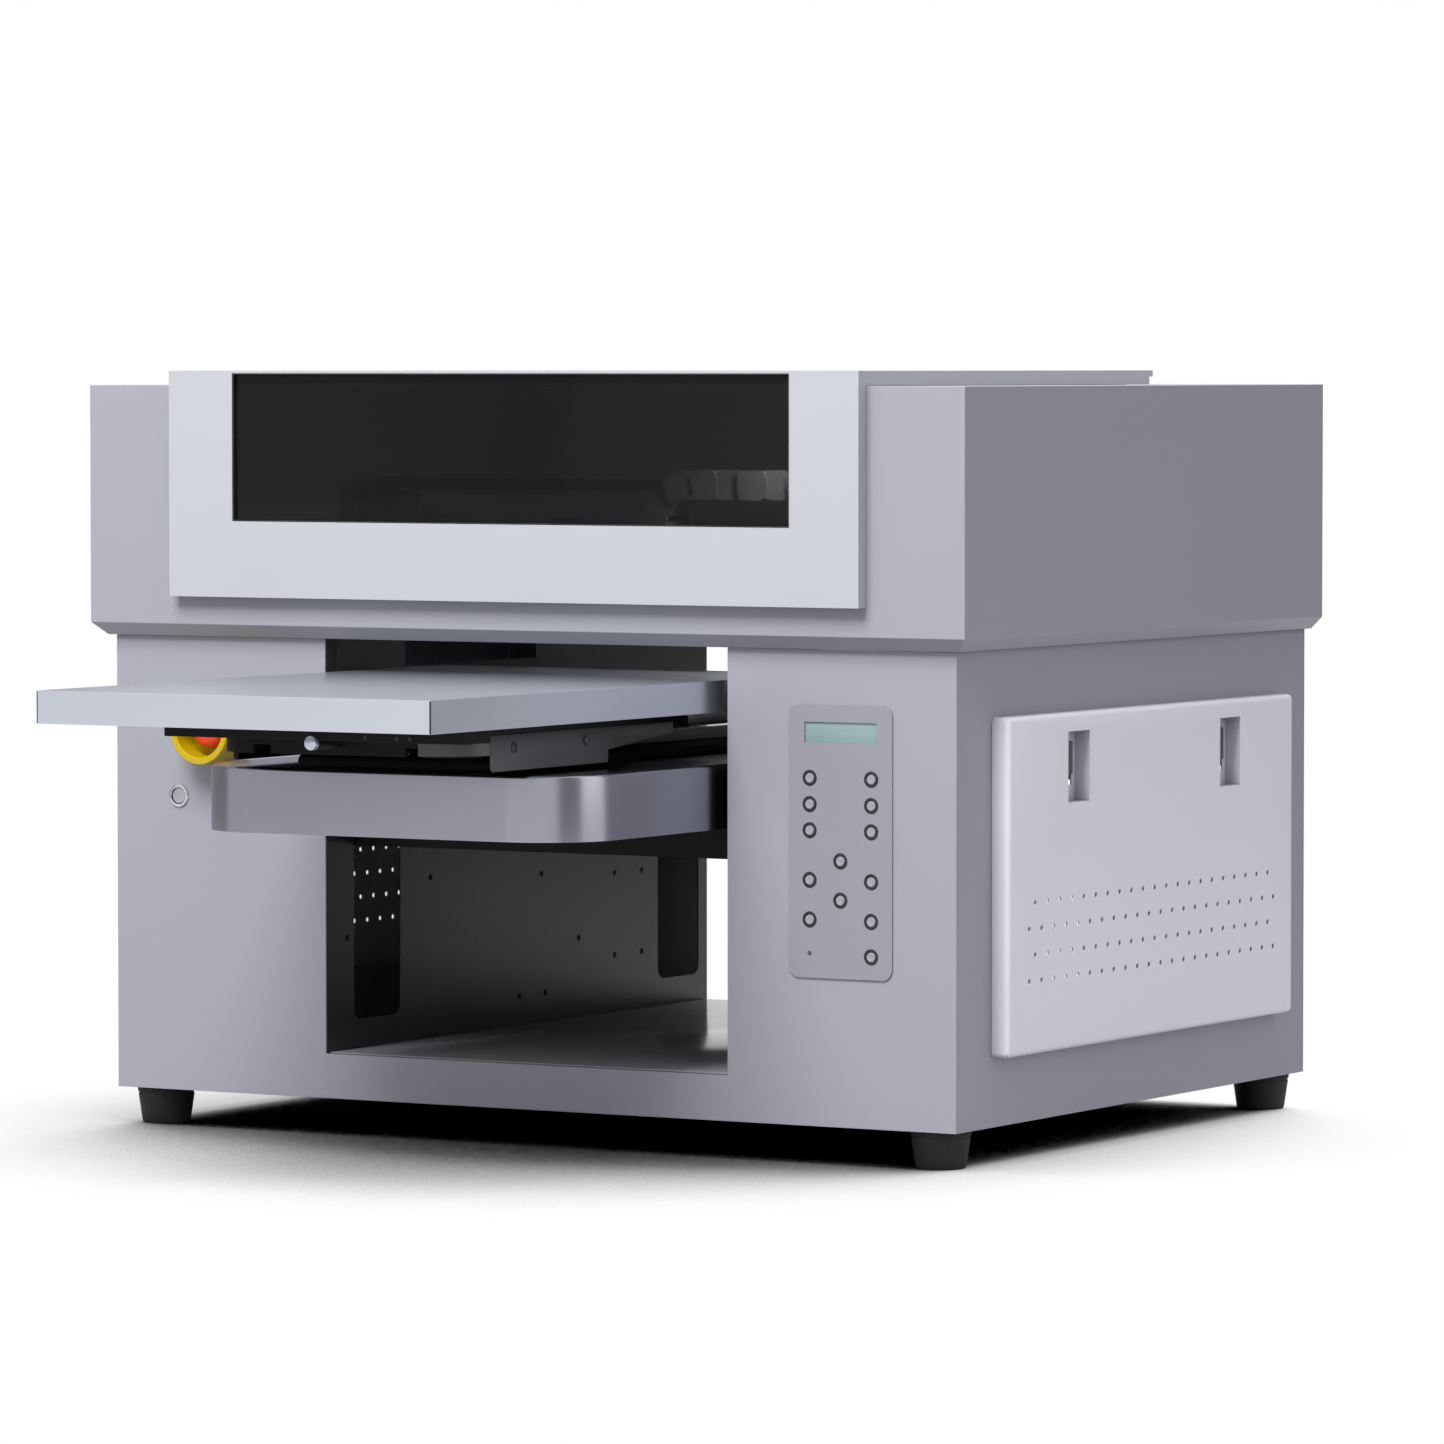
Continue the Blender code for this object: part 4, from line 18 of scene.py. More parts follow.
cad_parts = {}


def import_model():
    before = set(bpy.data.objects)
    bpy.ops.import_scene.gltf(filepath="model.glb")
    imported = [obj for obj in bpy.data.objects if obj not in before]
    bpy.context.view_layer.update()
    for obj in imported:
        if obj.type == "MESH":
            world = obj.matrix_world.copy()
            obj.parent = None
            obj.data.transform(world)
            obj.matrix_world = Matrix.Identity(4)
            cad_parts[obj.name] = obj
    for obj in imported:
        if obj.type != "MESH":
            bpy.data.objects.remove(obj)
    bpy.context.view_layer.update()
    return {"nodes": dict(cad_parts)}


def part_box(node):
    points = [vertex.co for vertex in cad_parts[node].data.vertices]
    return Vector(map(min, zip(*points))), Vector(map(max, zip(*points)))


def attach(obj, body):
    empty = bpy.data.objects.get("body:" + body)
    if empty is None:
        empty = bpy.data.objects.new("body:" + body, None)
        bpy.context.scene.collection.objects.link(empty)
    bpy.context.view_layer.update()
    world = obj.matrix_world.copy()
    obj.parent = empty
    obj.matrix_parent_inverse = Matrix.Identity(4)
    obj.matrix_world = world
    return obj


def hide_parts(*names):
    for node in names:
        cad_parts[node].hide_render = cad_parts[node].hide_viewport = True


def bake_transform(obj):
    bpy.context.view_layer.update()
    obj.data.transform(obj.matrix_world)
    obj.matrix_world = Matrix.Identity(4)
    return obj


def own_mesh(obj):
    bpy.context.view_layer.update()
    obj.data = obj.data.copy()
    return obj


LOG = logging.getLogger("printer")
Point = tuple[float, float, float]
Colour = tuple[float, float, float]
Places = list[tuple[float, float]]
Box = tuple[Point, Point]


class Slot(Enum):
    """The record's material slots."""

    CASING = "casing_paint"
    LID = "lid_paint"
    TUNNEL = "tunnel_paint"
    COAT = "black_coat"
    PANEL = "panel_sheet"
    SMOKED = "smoked_glass"
    DISPLAY = "display_glass"
    ZINC = "zinc_steel"
    BED = "bed_metal"
    TABLE = "table_metal"
    KEY = "key_plastic"
    BLACK = "black_plastic"
    GUARD = "guard_yellow"
    STOP = "stop_red"
    TANK = "tank_plastic"
    RUBBER = "foot_rubber"


class Edge:
    """The radii that edges are rounded to, from foil to thick blocks."""

    FOIL = 0.0001
    FILM = 0.0002
    LEAF = 0.0003
    SHEET = 0.0004
    PLATE = 0.0005
    PART = 0.0006
    BLOCK = 0.0008


class Side(Enum):
    """The two sides of the machine, as the sign of X."""

    RIGHT = 1
    LEFT = -1

    def span(self, inner: float, outer: float) -> tuple[float, float]:
        """Return low and high X for a stretch on this side."""
        return (inner, outer) if self is Side.RIGHT else (-outer, -inner)


class Graph:
    """Adds and links nodes in one node tree."""

    def __init__(self, tree: bpy.types.NodeTree) -> None:
        """Keep the tree.

        Args:
            tree: the tree of a material, a world or a node group.
        """
        self.tree = tree

    def add(self, kind: str, inputs: Mapping | None = None, **settings: object) -> bpy.types.Node:
        """Add one node.

        Args:
            kind: the node's type name.
            inputs: socket name or number to a value or to a socket that feeds it.
            settings: properties of the node itself.

        Returns:
            The new node.
        """
        node = self.tree.nodes.new(kind)
        node.location = (180 * (len(self.tree.nodes) % 9), -220 * (len(self.tree.nodes) // 9))
        for name, value in settings.items():
            setattr(node, name, value)
        for socket, value in (inputs or {}).items():
            if isinstance(value, bpy.types.NodeSocket):
                self.tree.links.new(value, node.inputs[socket])
            else:
                node.inputs[socket].default_value = value
        return node

    def maths(self, operation: str, first: object, second: object = 0.0, clamp: bool = False) -> bpy.types.NodeSocket:
        """Return the result of a Math node on two values or sockets."""
        node = self.add("ShaderNodeMath", {0: first, 1: second}, operation=operation, use_clamp=clamp)
        return node.outputs[0]

    def ranged(self, value: object, low: float, high: float, to_low: float, to_high: float) -> bpy.types.NodeSocket:
        """Return a value mapped from one range to another, with its ends held."""
        node = self.add("ShaderNodeMapRange", {0: value, 1: low, 2: high, 3: to_low, 4: to_high}, clamp=True)
        return node.outputs[0]

    def blended(self, factor: object, first: object, second: object) -> bpy.types.NodeSocket:
        """Return a mix of two colours.

        Args:
            factor: how much of the second colour shows.
            first: a colour or a socket.
            second: a colour or a socket.

        Returns:
            The mixed colour's socket.
        """
        node = self.add("ShaderNodeMix", data_type="RGBA")
        for index, value in ((0, factor), (6, first), (7, second)):
            if isinstance(value, bpy.types.NodeSocket):
                self.tree.links.new(value, node.inputs[index])
            else:
                node.inputs[index].default_value = value
        return node.outputs[2]

    def place(self, scale: Point = (1, 1, 1)) -> bpy.types.NodeSocket:
        """Return the surface's own place, in metres, stretched by a scale."""
        source = self.add("ShaderNodeTexCoord").outputs["Object"]
        return self.add("ShaderNodeVectorMath", {0: source, 1: scale}, operation="MULTIPLY").outputs[0]

    def noise(self, vector: object, scale: object, detail: float = 2.0) -> bpy.types.NodeSocket:
        """Return a noise value between about 0.2 and 0.8."""
        return self.add("ShaderNodeTexNoise", {"Vector": vector, "Scale": scale, "Detail": detail}).outputs[0]


def rgba(colour: Colour) -> tuple[float, float, float, float]:
    """Return a colour with full alpha."""
    return (*colour, 1.0)


def group_of(name: str, inputs: Mapping[str, float], outputs: Sequence[str],
             build: Callable[[Graph, bpy.types.Node], Mapping[str, bpy.types.NodeSocket]]) -> bpy.types.NodeTree:
    """Return a shared node group, making it the first time.

    Args:
        name: the group's name.
        inputs: each input's name and its usual value.
        outputs: the names of the outputs.
        build: adds the nodes and returns the socket for each output.

    Returns:
        The group's node tree.
    """
    found = bpy.data.node_groups.get(name)
    if found is not None:
        return found
    tree = bpy.data.node_groups.new(name, "ShaderNodeTree")
    for label, value in inputs.items():
        socket = tree.interface.new_socket(label, in_out="INPUT", socket_type="NodeSocketFloat")
        socket.default_value = value
    for label in outputs:
        tree.interface.new_socket(label, in_out="OUTPUT", socket_type="NodeSocketFloat")
    graph = Graph(tree)
    results = build(graph, graph.add("NodeGroupInput"))
    last = graph.add("NodeGroupOutput")
    for label, socket in results.items():
        tree.links.new(socket, last.inputs[label])
    return tree


class Effects:
    """The effects that several finishes share, each one a node group."""

    @staticmethod
    def coat_grain() -> bpy.types.NodeTree:
        """Return the skin of a sprayed or moulded surface: fine pimples, and a slow drift of tone.

        Returns:
            The group's node tree.
        """
        def build(graph: Graph, given: bpy.types.Node) -> dict[str, bpy.types.NodeSocket]:
            """Mix two sizes of noise into a height, and a wide one into a tone.

            Args:
                graph: the group's graph.
                given: the node that brings the group's inputs.

            Returns:
                The socket for each output.
            """
            place = graph.place()
            fine = graph.noise(place, given.outputs["Scale"], 2.0)
            broad = graph.noise(place, graph.maths("MULTIPLY", given.outputs["Scale"], 0.22), 3.0)
            height = graph.maths("ADD", graph.maths("MULTIPLY", fine, 0.7), graph.maths("MULTIPLY", broad, 0.3))
            drift = graph.maths("SUBTRACT", graph.noise(place, 5.0, 3.0), 0.5)
            tone = graph.maths("ADD", 1.0, graph.maths("MULTIPLY", drift, given.outputs["Mottle"]))
            return {"Height": height, "Tone": tone}
        return group_of("coat_grain", {"Scale": 800.0, "Mottle": 0.06}, ("Height", "Tone"), build)

    @staticmethod
    def edge_wear_and_highlight() -> bpy.types.NodeTree:
        """Return a mask of the edges that hands and tools rub, broken up by noise; on the grey casing the same mask
        lays a painted highlight along the folds.

        Returns:
            The group's node tree.
        """
        def build(graph: Graph, given: bpy.types.Node) -> dict[str, bpy.types.NodeSocket]:
            """Compare the surface's normal with one rounded over its edges.

            Args:
                graph: the group's graph.
                given: the node that brings the group's inputs.

            Returns:
                The socket for each output.
            """
            soft = graph.add("ShaderNodeBevel", {"Radius": given.outputs["Radius"]}, samples=4)
            true = graph.add("ShaderNodeNewGeometry").outputs["True Normal"]
            same = graph.add("ShaderNodeVectorMath", {0: soft.outputs[0], 1: true}, operation="DOT_PRODUCT")
            edge = graph.ranged(same.outputs["Value"], 0.985, 0.80, 0.0, 1.0)
            breaks = graph.ranged(graph.noise(graph.place(), 350.0, 4.0), 0.40, 0.60, 0.15, 1.0)
            mask = graph.maths("MULTIPLY", graph.maths("MULTIPLY", edge, breaks), given.outputs["Amount"], True)
            return {"Mask": mask}
        return group_of("edge_wear_and_highlight", {"Radius": 0.0008, "Amount": 0.5}, ("Mask",), build)

    @staticmethod
    def brushed_grain() -> bpy.types.NodeTree:
        """Return fine lines along one direction, set by how close they lie along X, Y and Z.

        Returns:
            The group's node tree.
        """
        def build(graph: Graph, given: bpy.types.Node) -> dict[str, bpy.types.NodeSocket]:
            """Stretch two noises by the three closeness values.

            Args:
                graph: the group's graph.
                given: the node that brings the group's inputs.

            Returns:
                The socket for each output.
            """
            stretch = graph.add("ShaderNodeCombineXYZ", {i: given.outputs[f"Along {a}"] for i, a in enumerate("XYZ")})
            vector = graph.add("ShaderNodeVectorMath", {0: graph.place(), 1: stretch.outputs[0]}, operation="MULTIPLY")
            line = graph.noise(vector.outputs[0], 1.0, 3.0)
            wide = graph.noise(vector.outputs[0], 0.17, 2.0)
            streak = graph.maths("ADD", graph.maths("MULTIPLY", line, 0.65), graph.maths("MULTIPLY", wide, 0.35))
            return {"Streak": streak}
        return group_of("brushed_grain", {"Along X": 8.0, "Along Y": 900.0, "Along Z": 900.0}, ("Streak",), build)

    @staticmethod
    def settled_dust() -> bpy.types.NodeTree:
        """Return a mask of thin dust on what faces up.

        Returns:
            The group's node tree.
        """
        def build(graph: Graph, given: bpy.types.Node) -> dict[str, bpy.types.NodeSocket]:
            """Take the upward part of the normal and break it up with noise.

            Args:
                graph: the group's graph.
                given: the node that brings the group's inputs.

            Returns:
                The socket for each output.
            """
            normal = graph.add("ShaderNodeNewGeometry").outputs["Normal"]
            up = graph.add("ShaderNodeSeparateXYZ", {0: normal}).outputs[2]
            facing = graph.ranged(up, 0.6, 1.0, 0.0, 1.0)
            patches = graph.ranged(graph.noise(graph.place(), 22.0, 6.0), 0.35, 0.7, 0.2, 1.0)
            mask = graph.maths("MULTIPLY", graph.maths("MULTIPLY", facing, patches), given.outputs["Amount"], True)
            return {"Mask": mask}
        return group_of("settled_dust", {"Amount": 0.1}, ("Mask",), build)

    @staticmethod
    def painted_recess_shade() -> bpy.types.NodeTree:
        """Return a mask of painted shade for the corners and recesses where little sky reaches.

        Returns:
            The group's node tree.
        """
        def build(graph: Graph, given: bpy.types.Node) -> dict[str, bpy.types.NodeSocket]:
            """Turn the share of open sky above a point round.

            Args:
                graph: the group's graph.
                given: the node that brings the group's inputs.

            Returns:
                The socket for each output.
            """
            sky = graph.add("ShaderNodeAmbientOcclusion", {"Distance": given.outputs["Reach"]}, samples=6)
            closed = graph.ranged(sky.outputs["AO"], 0.95, 0.25, 0.0, 1.0)
            return {"Mask": graph.maths("MULTIPLY", closed, given.outputs["Amount"], True)}
        return group_of("painted_recess_shade", {"Reach": 0.02, "Amount": 0.5}, ("Mask",), build)

    @staticmethod
    def handling_marks() -> bpy.types.NodeTree:
        """Return faint wipe marks and finger spots, as a mask for roughness.

        Returns:
            The group's node tree.
        """
        def build(graph: Graph, given: bpy.types.Node) -> dict[str, bpy.types.NodeSocket]:
            """Cross a slow wipe with small soft spots.

            Args:
                graph: the group's graph.
                given: the node that brings the group's inputs.

            Returns:
                The socket for each output.
            """
            place = graph.place()
            wipe = graph.ranged(graph.noise(graph.place((9, 9, 24)), 1.0, 4.0), 0.48, 0.80, 0.0, 1.0)
            spots = graph.add("ShaderNodeTexVoronoi", {"Vector": place, "Scale": 38.0}).outputs["Distance"]
            dots = graph.maths("MULTIPLY", graph.ranged(spots, 0.0, 0.22, 1.0, 0.0),
                               graph.ranged(graph.noise(place, 9.0, 1.0), 0.58, 0.66, 0.0, 1.0))
            mask = graph.maths("MULTIPLY", graph.maths("MAXIMUM", wipe, dots), given.outputs["Amount"], True)
            return {"Mask": mask}
        return group_of("handling_marks", {"Amount": 0.5}, ("Mask",), build)


SETTLED_ON_METAL: Colour = (0.62, 0.61, 0.59)
SETTLED_ON_PLASTIC: Colour = (0.55, 0.54, 0.52)
# Colour of the painted shade in corners and recesses.
PAINTED_CORNER_SHADE: Colour = (0.05, 0.05, 0.055)
CELL_GAP: Colour = (0.30, 0.38, 0.37)


@dataclass(frozen=True)
class Finish:
    """What every finish has: a name, a colour and how it shines."""

    name: str
    colour: Colour
    roughness: float = 0.45
    metallic: float = 0.0

    def material(self) -> bpy.types.Material:
        """Return this finish as a material, making it the first time.

        Returns:
            The material.
        """
        found = bpy.data.materials.get(self.name)
        if found is not None:
            return found
        made = bpy.data.materials.new(self.name)
        made.use_nodes = True
        made.diffuse_color = rgba(self.colour)
        graph = Graph(made.node_tree)
        shader = made.node_tree.nodes["Principled BSDF"]
        shader.inputs["Base Color"].default_value = rgba(self.colour)
        shader.inputs["Roughness"].default_value = self.roughness
        shader.inputs["Metallic"].default_value = self.metallic
        self.dress(graph, shader)
        return made

    def dress(self, graph: Graph, shader: bpy.types.Node) -> None:
        """Add this finish's own nodes; each kind of finish has its own."""

    def grained(self, graph: Graph, shader: bpy.types.Node, height: bpy.types.NodeSocket, depth: float,
                strength: float) -> None:
        """Feed a height to the shader's normal.

        Args:
            graph: the material's graph.
            shader: its Principled node.
            height: the height's socket.
            depth: the relief in metres.
            strength: how much of it shows.
        """
        bump = graph.add("ShaderNodeBump", {"Strength": strength, "Distance": depth, "Height": height})
        graph.tree.links.new(bump.outputs[0], shader.inputs["Normal"])

    def shared(self, graph: Graph, tree: bpy.types.NodeTree, **values: float) -> bpy.types.Node:
        """Place a shared group in the material with its own values; underscores stand for spaces.

        Args:
            graph: the material's graph.
            tree: the group's node tree.
            values: the group's inputs by name.

        Returns:
            The group's node in the material.
        """
        node = graph.add("ShaderNodeGroup")
        node.node_tree = tree
        for name, value in values.items():
            node.inputs[name.replace("_", " ")].default_value = value
        return node


@dataclass(frozen=True)
class SprayedCoat(Finish):
    """Powder coat on sheet metal: fine orange peel, lighter edges (scuffing, and on the grey casing also a painted
    highlight), a little dust, and painted shade in recesses.
    """

    grain: float = 900.0
    relief: float = 0.00006
    mottle: float = 0.05
    wear_and_highlight: float = 0.5
    wear_radius: float = 0.0009
    worn_and_highlit: Colour = (0.78, 0.78, 0.82)
    dust: float = 0.06
    specular: float = 0.5
    # How much painted shade darkens the corners and recesses.
    recess: float = 0.0
    reach: float = 0.02

    def dress(self, graph: Graph, shader: bpy.types.Node) -> None:
        """Drive colour, roughness and relief from the shared effects.

        Args:
            graph: the material's graph.
            shader: its Principled node.
        """
        grain = self.shared(graph, Effects.coat_grain(), Scale=self.grain, Mottle=self.mottle)
        wear_and_highlight = self.shared(graph, Effects.edge_wear_and_highlight(), Radius=self.wear_radius, Amount=self.wear_and_highlight)
        dust = self.shared(graph, Effects.settled_dust(), Amount=self.dust)
        toned = graph.add("ShaderNodeVectorMath", {0: self.colour, "Scale": grain.outputs["Tone"]}, operation="SCALE")
        # Lighter edges: scuffing, and on the grey casing also a painted highlight along its folded corners.
        scuffed_and_highlit = graph.blended(wear_and_highlight.outputs[0], toned.outputs[0], rgba(self.worn_and_highlit))
        dusty = graph.blended(dust.outputs[0], scuffed_and_highlit, rgba(SETTLED_ON_METAL))
        # Painted shade: corners and recesses darken towards a near-black by how little sky they see.
        shade = self.shared(graph, Effects.painted_recess_shade(), Reach=self.reach, Amount=self.recess)
        shaded = graph.blended(shade.outputs[0], dusty, rgba(PAINTED_CORNER_SHADE))
        graph.tree.links.new(shaded, shader.inputs["Base Color"])
        rough = graph.ranged(grain.outputs["Height"], 0.3, 0.7, self.roughness - 0.05, self.roughness + 0.07)
        graph.tree.links.new(rough, shader.inputs["Roughness"])
        shader.inputs["Specular IOR Level"].default_value = self.specular
        self.grained(graph, shader, grain.outputs["Height"], self.relief, 0.5)


@dataclass(frozen=True)
class BrushedMetal(Finish):
    """Bare or anodised metal with fine lines, brighter edges and handling marks."""

    metallic: float = 1.0
    closeness: Point = (8.0, 900.0, 900.0)
    contrast: float = 0.10
    depth: float = 0.35
    marks: float = 0.5
    spread: float = 0.05
    relief: float = 0.00003
    mark_gain: float = 0.10
    wear_and_highlight: float = 0.4
    wear_radius: float = 0.0007
    worn_and_highlit: Colour = (0.85, 0.86, 0.88)

    def dress(self, graph: Graph, shader: bpy.types.Node) -> None:
        """Drive colour, roughness and relief from the brushed lines.

        Args:
            graph: the material's graph.
            shader: its Principled node.
        """
        along = {f"Along_{axis}": value for axis, value in zip("XYZ", self.closeness)}
        lines = self.shared(graph, Effects.brushed_grain(), **along)
        marks = self.shared(graph, Effects.handling_marks(), Amount=self.marks)
        wear_and_highlight = self.shared(graph, Effects.edge_wear_and_highlight(), Radius=self.wear_radius, Amount=self.wear_and_highlight)
        tone = graph.ranged(lines.outputs[0], 0.3, 0.7, 1.0 - self.contrast, 1.0 + self.contrast)
        toned = graph.add("ShaderNodeVectorMath", {0: self.colour, "Scale": tone}, operation="SCALE")
        scuffed_and_highlit = graph.blended(wear_and_highlight.outputs[0], toned.outputs[0], rgba(self.worn_and_highlit))
        graph.tree.links.new(scuffed_and_highlit, shader.inputs["Base Color"])
        rough = graph.ranged(lines.outputs[0], 0.3, 0.7, self.roughness - self.spread, self.roughness + self.spread)
        marked = graph.maths("ADD", rough, graph.maths("MULTIPLY", marks.outputs[0], self.mark_gain), True)
        graph.tree.links.new(marked, shader.inputs["Roughness"])
        self.grained(graph, shader, lines.outputs[0], self.relief, self.depth)


@dataclass(frozen=True)
class MouldedPlastic(Finish):
    """Moulded plastic or rubber with a fine spark grain, and dust in the open."""

    grain: float = 1800.0
    relief: float = 0.00004
    mottle: float = 0.10
    dust: float = 0.08
    wear_and_highlight: float = 0.25
    wear_radius: float = 0.0006
    worn_and_highlit: Colour = (0.30, 0.30, 0.31)

    def dress(self, graph: Graph, shader: bpy.types.Node) -> None:
        """Drive colour, roughness and relief from the moulded grain.

        Args:
            graph: the material's graph.
            shader: its Principled node.
        """
        grain = self.shared(graph, Effects.coat_grain(), Scale=self.grain, Mottle=self.mottle)
        wear_and_highlight = self.shared(graph, Effects.edge_wear_and_highlight(), Radius=self.wear_radius, Amount=self.wear_and_highlight)
        dust = self.shared(graph, Effects.settled_dust(), Amount=self.dust)
        toned = graph.add("ShaderNodeVectorMath", {0: self.colour, "Scale": grain.outputs["Tone"]}, operation="SCALE")
        scuffed_and_highlit = graph.blended(wear_and_highlight.outputs[0], toned.outputs[0], rgba(self.worn_and_highlit))
        dusty = graph.blended(dust.outputs[0], scuffed_and_highlit, rgba(SETTLED_ON_PLASTIC))
        graph.tree.links.new(dusty, shader.inputs["Base Color"])
        rough = graph.ranged(grain.outputs["Height"], 0.3, 0.7, self.roughness - 0.06, self.roughness + 0.08)
        graph.tree.links.new(rough, shader.inputs["Roughness"])
        self.grained(graph, shader, grain.outputs["Height"], self.relief, 0.5)


@dataclass(frozen=True)
class SmokedPane(Finish):
    """Dark acrylic that lets a little of what is behind it through."""

    clearness: float = 0.14
    specular: float = 0.5
    wipes: float = 0.6
    wiped_gain: float = 0.09

    def dress(self, graph: Graph, shader: bpy.types.Node) -> None:
        """Set how clear the pane is, and mark its gloss with faint wipes.

        Args:
            graph: the material's graph.
            shader: its Principled node.
        """
        marks = self.shared(graph, Effects.handling_marks(), Amount=self.wipes)
        rough = graph.ranged(marks.outputs[0], 0.0, 1.0, self.roughness, self.roughness + self.wiped_gain)
        graph.tree.links.new(rough, shader.inputs["Roughness"])
        shader.inputs["Alpha"].default_value = 1.0 - self.clearness
        shader.inputs["Specular IOR Level"].default_value = self.specular


@dataclass(frozen=True)
class CharacterDisplay(Finish):
    """A character display behind its pane: two rows of empty cells and a soft light."""

    cell: tuple[float, float] = (0.0035, 0.0065)
    origin: tuple[float, float] = (0.257, 0.3305)
    glow: float = 0.12

    def dress(self, graph: Graph, shader: bpy.types.Node) -> None:
        """Draw the cells as a faint grid, from the surface's own place.

        Args:
            graph: the material's graph.
            shader: its Principled node.
        """
        parts = graph.add("ShaderNodeSeparateXYZ", {0: graph.place()})
        bars = []
        for axis, size, start in ((0, self.cell[0], self.origin[0]), (2, self.cell[1], self.origin[1])):
            steps = graph.maths("DIVIDE", graph.maths("SUBTRACT", parts.outputs[axis], start), size)
            off = graph.maths("ABSOLUTE", graph.maths("SUBTRACT", graph.maths("FRACT", steps), 0.5))
            bars.append(graph.ranged(off, 0.40, 0.44, 0.0, 1.0))
        gap = graph.maths("MAXIMUM", *bars)
        drift = graph.ranged(graph.noise(graph.place(), 40.0, 2.0), 0.3, 0.7, 0.96, 1.04)
        lit = graph.add("ShaderNodeVectorMath", {0: self.colour, "Scale": drift}, operation="SCALE")
        cells = graph.blended(graph.maths("MULTIPLY", gap, 0.2), lit.outputs[0], rgba(CELL_GAP))
        graph.tree.links.new(cells, shader.inputs["Base Color"])
        graph.tree.links.new(cells, shader.inputs["Emission Color"])
        shader.inputs["Emission Strength"].default_value = self.glow


# The grey casing's lighter edges are partly scuffing and partly a painted highlight along its folded corners.
CASING = SprayedCoat("grey_powder_coat", (0.318, 0.320, 0.368), 0.42, wear_and_highlight=0.30, worn_and_highlit=(0.50, 0.50, 0.55))
LID = SprayedCoat("pale_powder_coat", (0.445, 0.451, 0.486), 0.40, wear_and_highlight=0.12, worn_and_highlit=(0.62, 0.62, 0.66))
# The door's recesses, its latch cups most, are darkened with painted shade.
DOOR = SprayedCoat("pale_door_coat", (0.80, 0.79, 0.87), 0.34, wear_and_highlight=0.10, worn_and_highlit=(0.90, 0.90, 0.94),
                    recess=0.62, reach=0.022)
TUNNEL = SprayedCoat("charcoal_coat", (0.030, 0.030, 0.035), 0.36, worn_and_highlit=(0.16, 0.16, 0.18), wear_and_highlight=0.3)
# Painted reflection: the tunnel floor's coat is far paler than the charcoal liner, standing in for its glancing
# reflection.
TUNNEL_FLOOR_PAINTED_SHEEN = SprayedCoat("charcoal_floor_painted_sheen", (0.36, 0.365, 0.392), 0.14, relief=0.00002, specular=0.30, wear_and_highlight=0.1,
                           worn_and_highlit=(0.1, 0.1, 0.11), dust=0.03)
BLACK_COAT = SprayedCoat("black_powder_coat", (0.008, 0.008, 0.009), 0.50, worn_and_highlit=(0.03, 0.03, 0.033),
                         wear_and_highlight=0.12, specular=0.15, dust=0.005)
# Painted light: a lighter copy of the saddle's black coat, for its side plates and corner cheek.
WING_COAT_PAINTED_LIGHT = SprayedCoat("black_coat_painted_light", (0.070, 0.068, 0.074), 0.34, worn_and_highlit=(0.14, 0.14, 0.15), wear_and_highlight=0.1, dust=0.02)
PANEL = SprayedCoat("control_plate_coat", (0.275, 0.270, 0.305), 0.42, worn_and_highlit=(0.42, 0.42, 0.46), wear_and_highlight=0.15)
BED_METAL = BrushedMetal("satin_bed_metal", (0.335, 0.338, 0.385), 0.24, closeness=(60.0, 60.0, 3.0), contrast=0.006,
                         wear_and_highlight=0.1, depth=0.02, marks=0.08, spread=0.008)
TABLE_METAL = BrushedMetal("anodised_table_metal", (0.61, 0.635, 0.70), 0.30, closeness=(6.0, 6.0, 500.0),
                           metallic=0.82, contrast=0.006, wear_and_highlight=0.08, depth=0.02, marks=0.08, spread=0.008)
ALUMINIUM = BrushedMetal("drawn_aluminium", (0.62, 0.63, 0.65), 0.32, closeness=(8.0, 900.0, 900.0))
STEEL = BrushedMetal("ground_steel", (0.60, 0.60, 0.62), 0.20, closeness=(900.0, 8.0, 900.0))
ZINC = BrushedMetal("zinc_plate", (0.56, 0.57, 0.58), 0.34, closeness=(300.0, 300.0, 300.0), contrast=0.14)
SATIN_STEEL = BrushedMetal("satin_button_steel", (0.50, 0.50, 0.54), 0.34, closeness=(1200.0, 60.0, 60.0),
                           contrast=0.05)
CHROME = BrushedMetal("chromed_rim", (0.62, 0.62, 0.65), 0.16, closeness=(400.0, 400.0, 400.0), contrast=0.03)
BRASS = BrushedMetal("machined_brass", (0.72, 0.52, 0.24), 0.28, closeness=(600.0, 600.0, 60.0), worn_and_highlit=(0.85, 0.7, 0.4))
COPPER = BrushedMetal("wound_copper", (0.72, 0.36, 0.18), 0.35, closeness=(60.0, 60.0, 900.0), worn_and_highlit=(0.85, 0.5, 0.3))
RUBBER = MouldedPlastic("black_rubber", (0.009, 0.009, 0.010), 0.72, grain=900.0, relief=0.00012, dust=0.05)
BELT_RUBBER = MouldedPlastic("belt_rubber", (0.016, 0.016, 0.017), 0.60, grain=1400.0, relief=0.00008, dust=0.02)
BLACK_PLASTIC = MouldedPlastic("satin_black_plastic", (0.014, 0.014, 0.015), 0.45)
CHAIN_PLASTIC = MouldedPlastic("grey_chain_plastic", (0.19, 0.19, 0.20), 0.42)
LATCH_PLASTIC = MouldedPlastic("latch_plastic", (0.085, 0.085, 0.097), 0.40, wear_and_highlight=0.1)
KEY_PLASTIC = MouldedPlastic("key_cap_plastic", (0.31, 0.31, 0.345), 0.36, worn_and_highlit=(0.5, 0.5, 0.52), wear_and_highlight=0.05, dust=0.0)
YELLOW_PLASTIC = MouldedPlastic("guard_plastic", (0.50, 0.355, 0.002), 0.38, wear_and_highlight=0.1, worn_and_highlit=(0.8, 0.65, 0.1), dust=0.01)
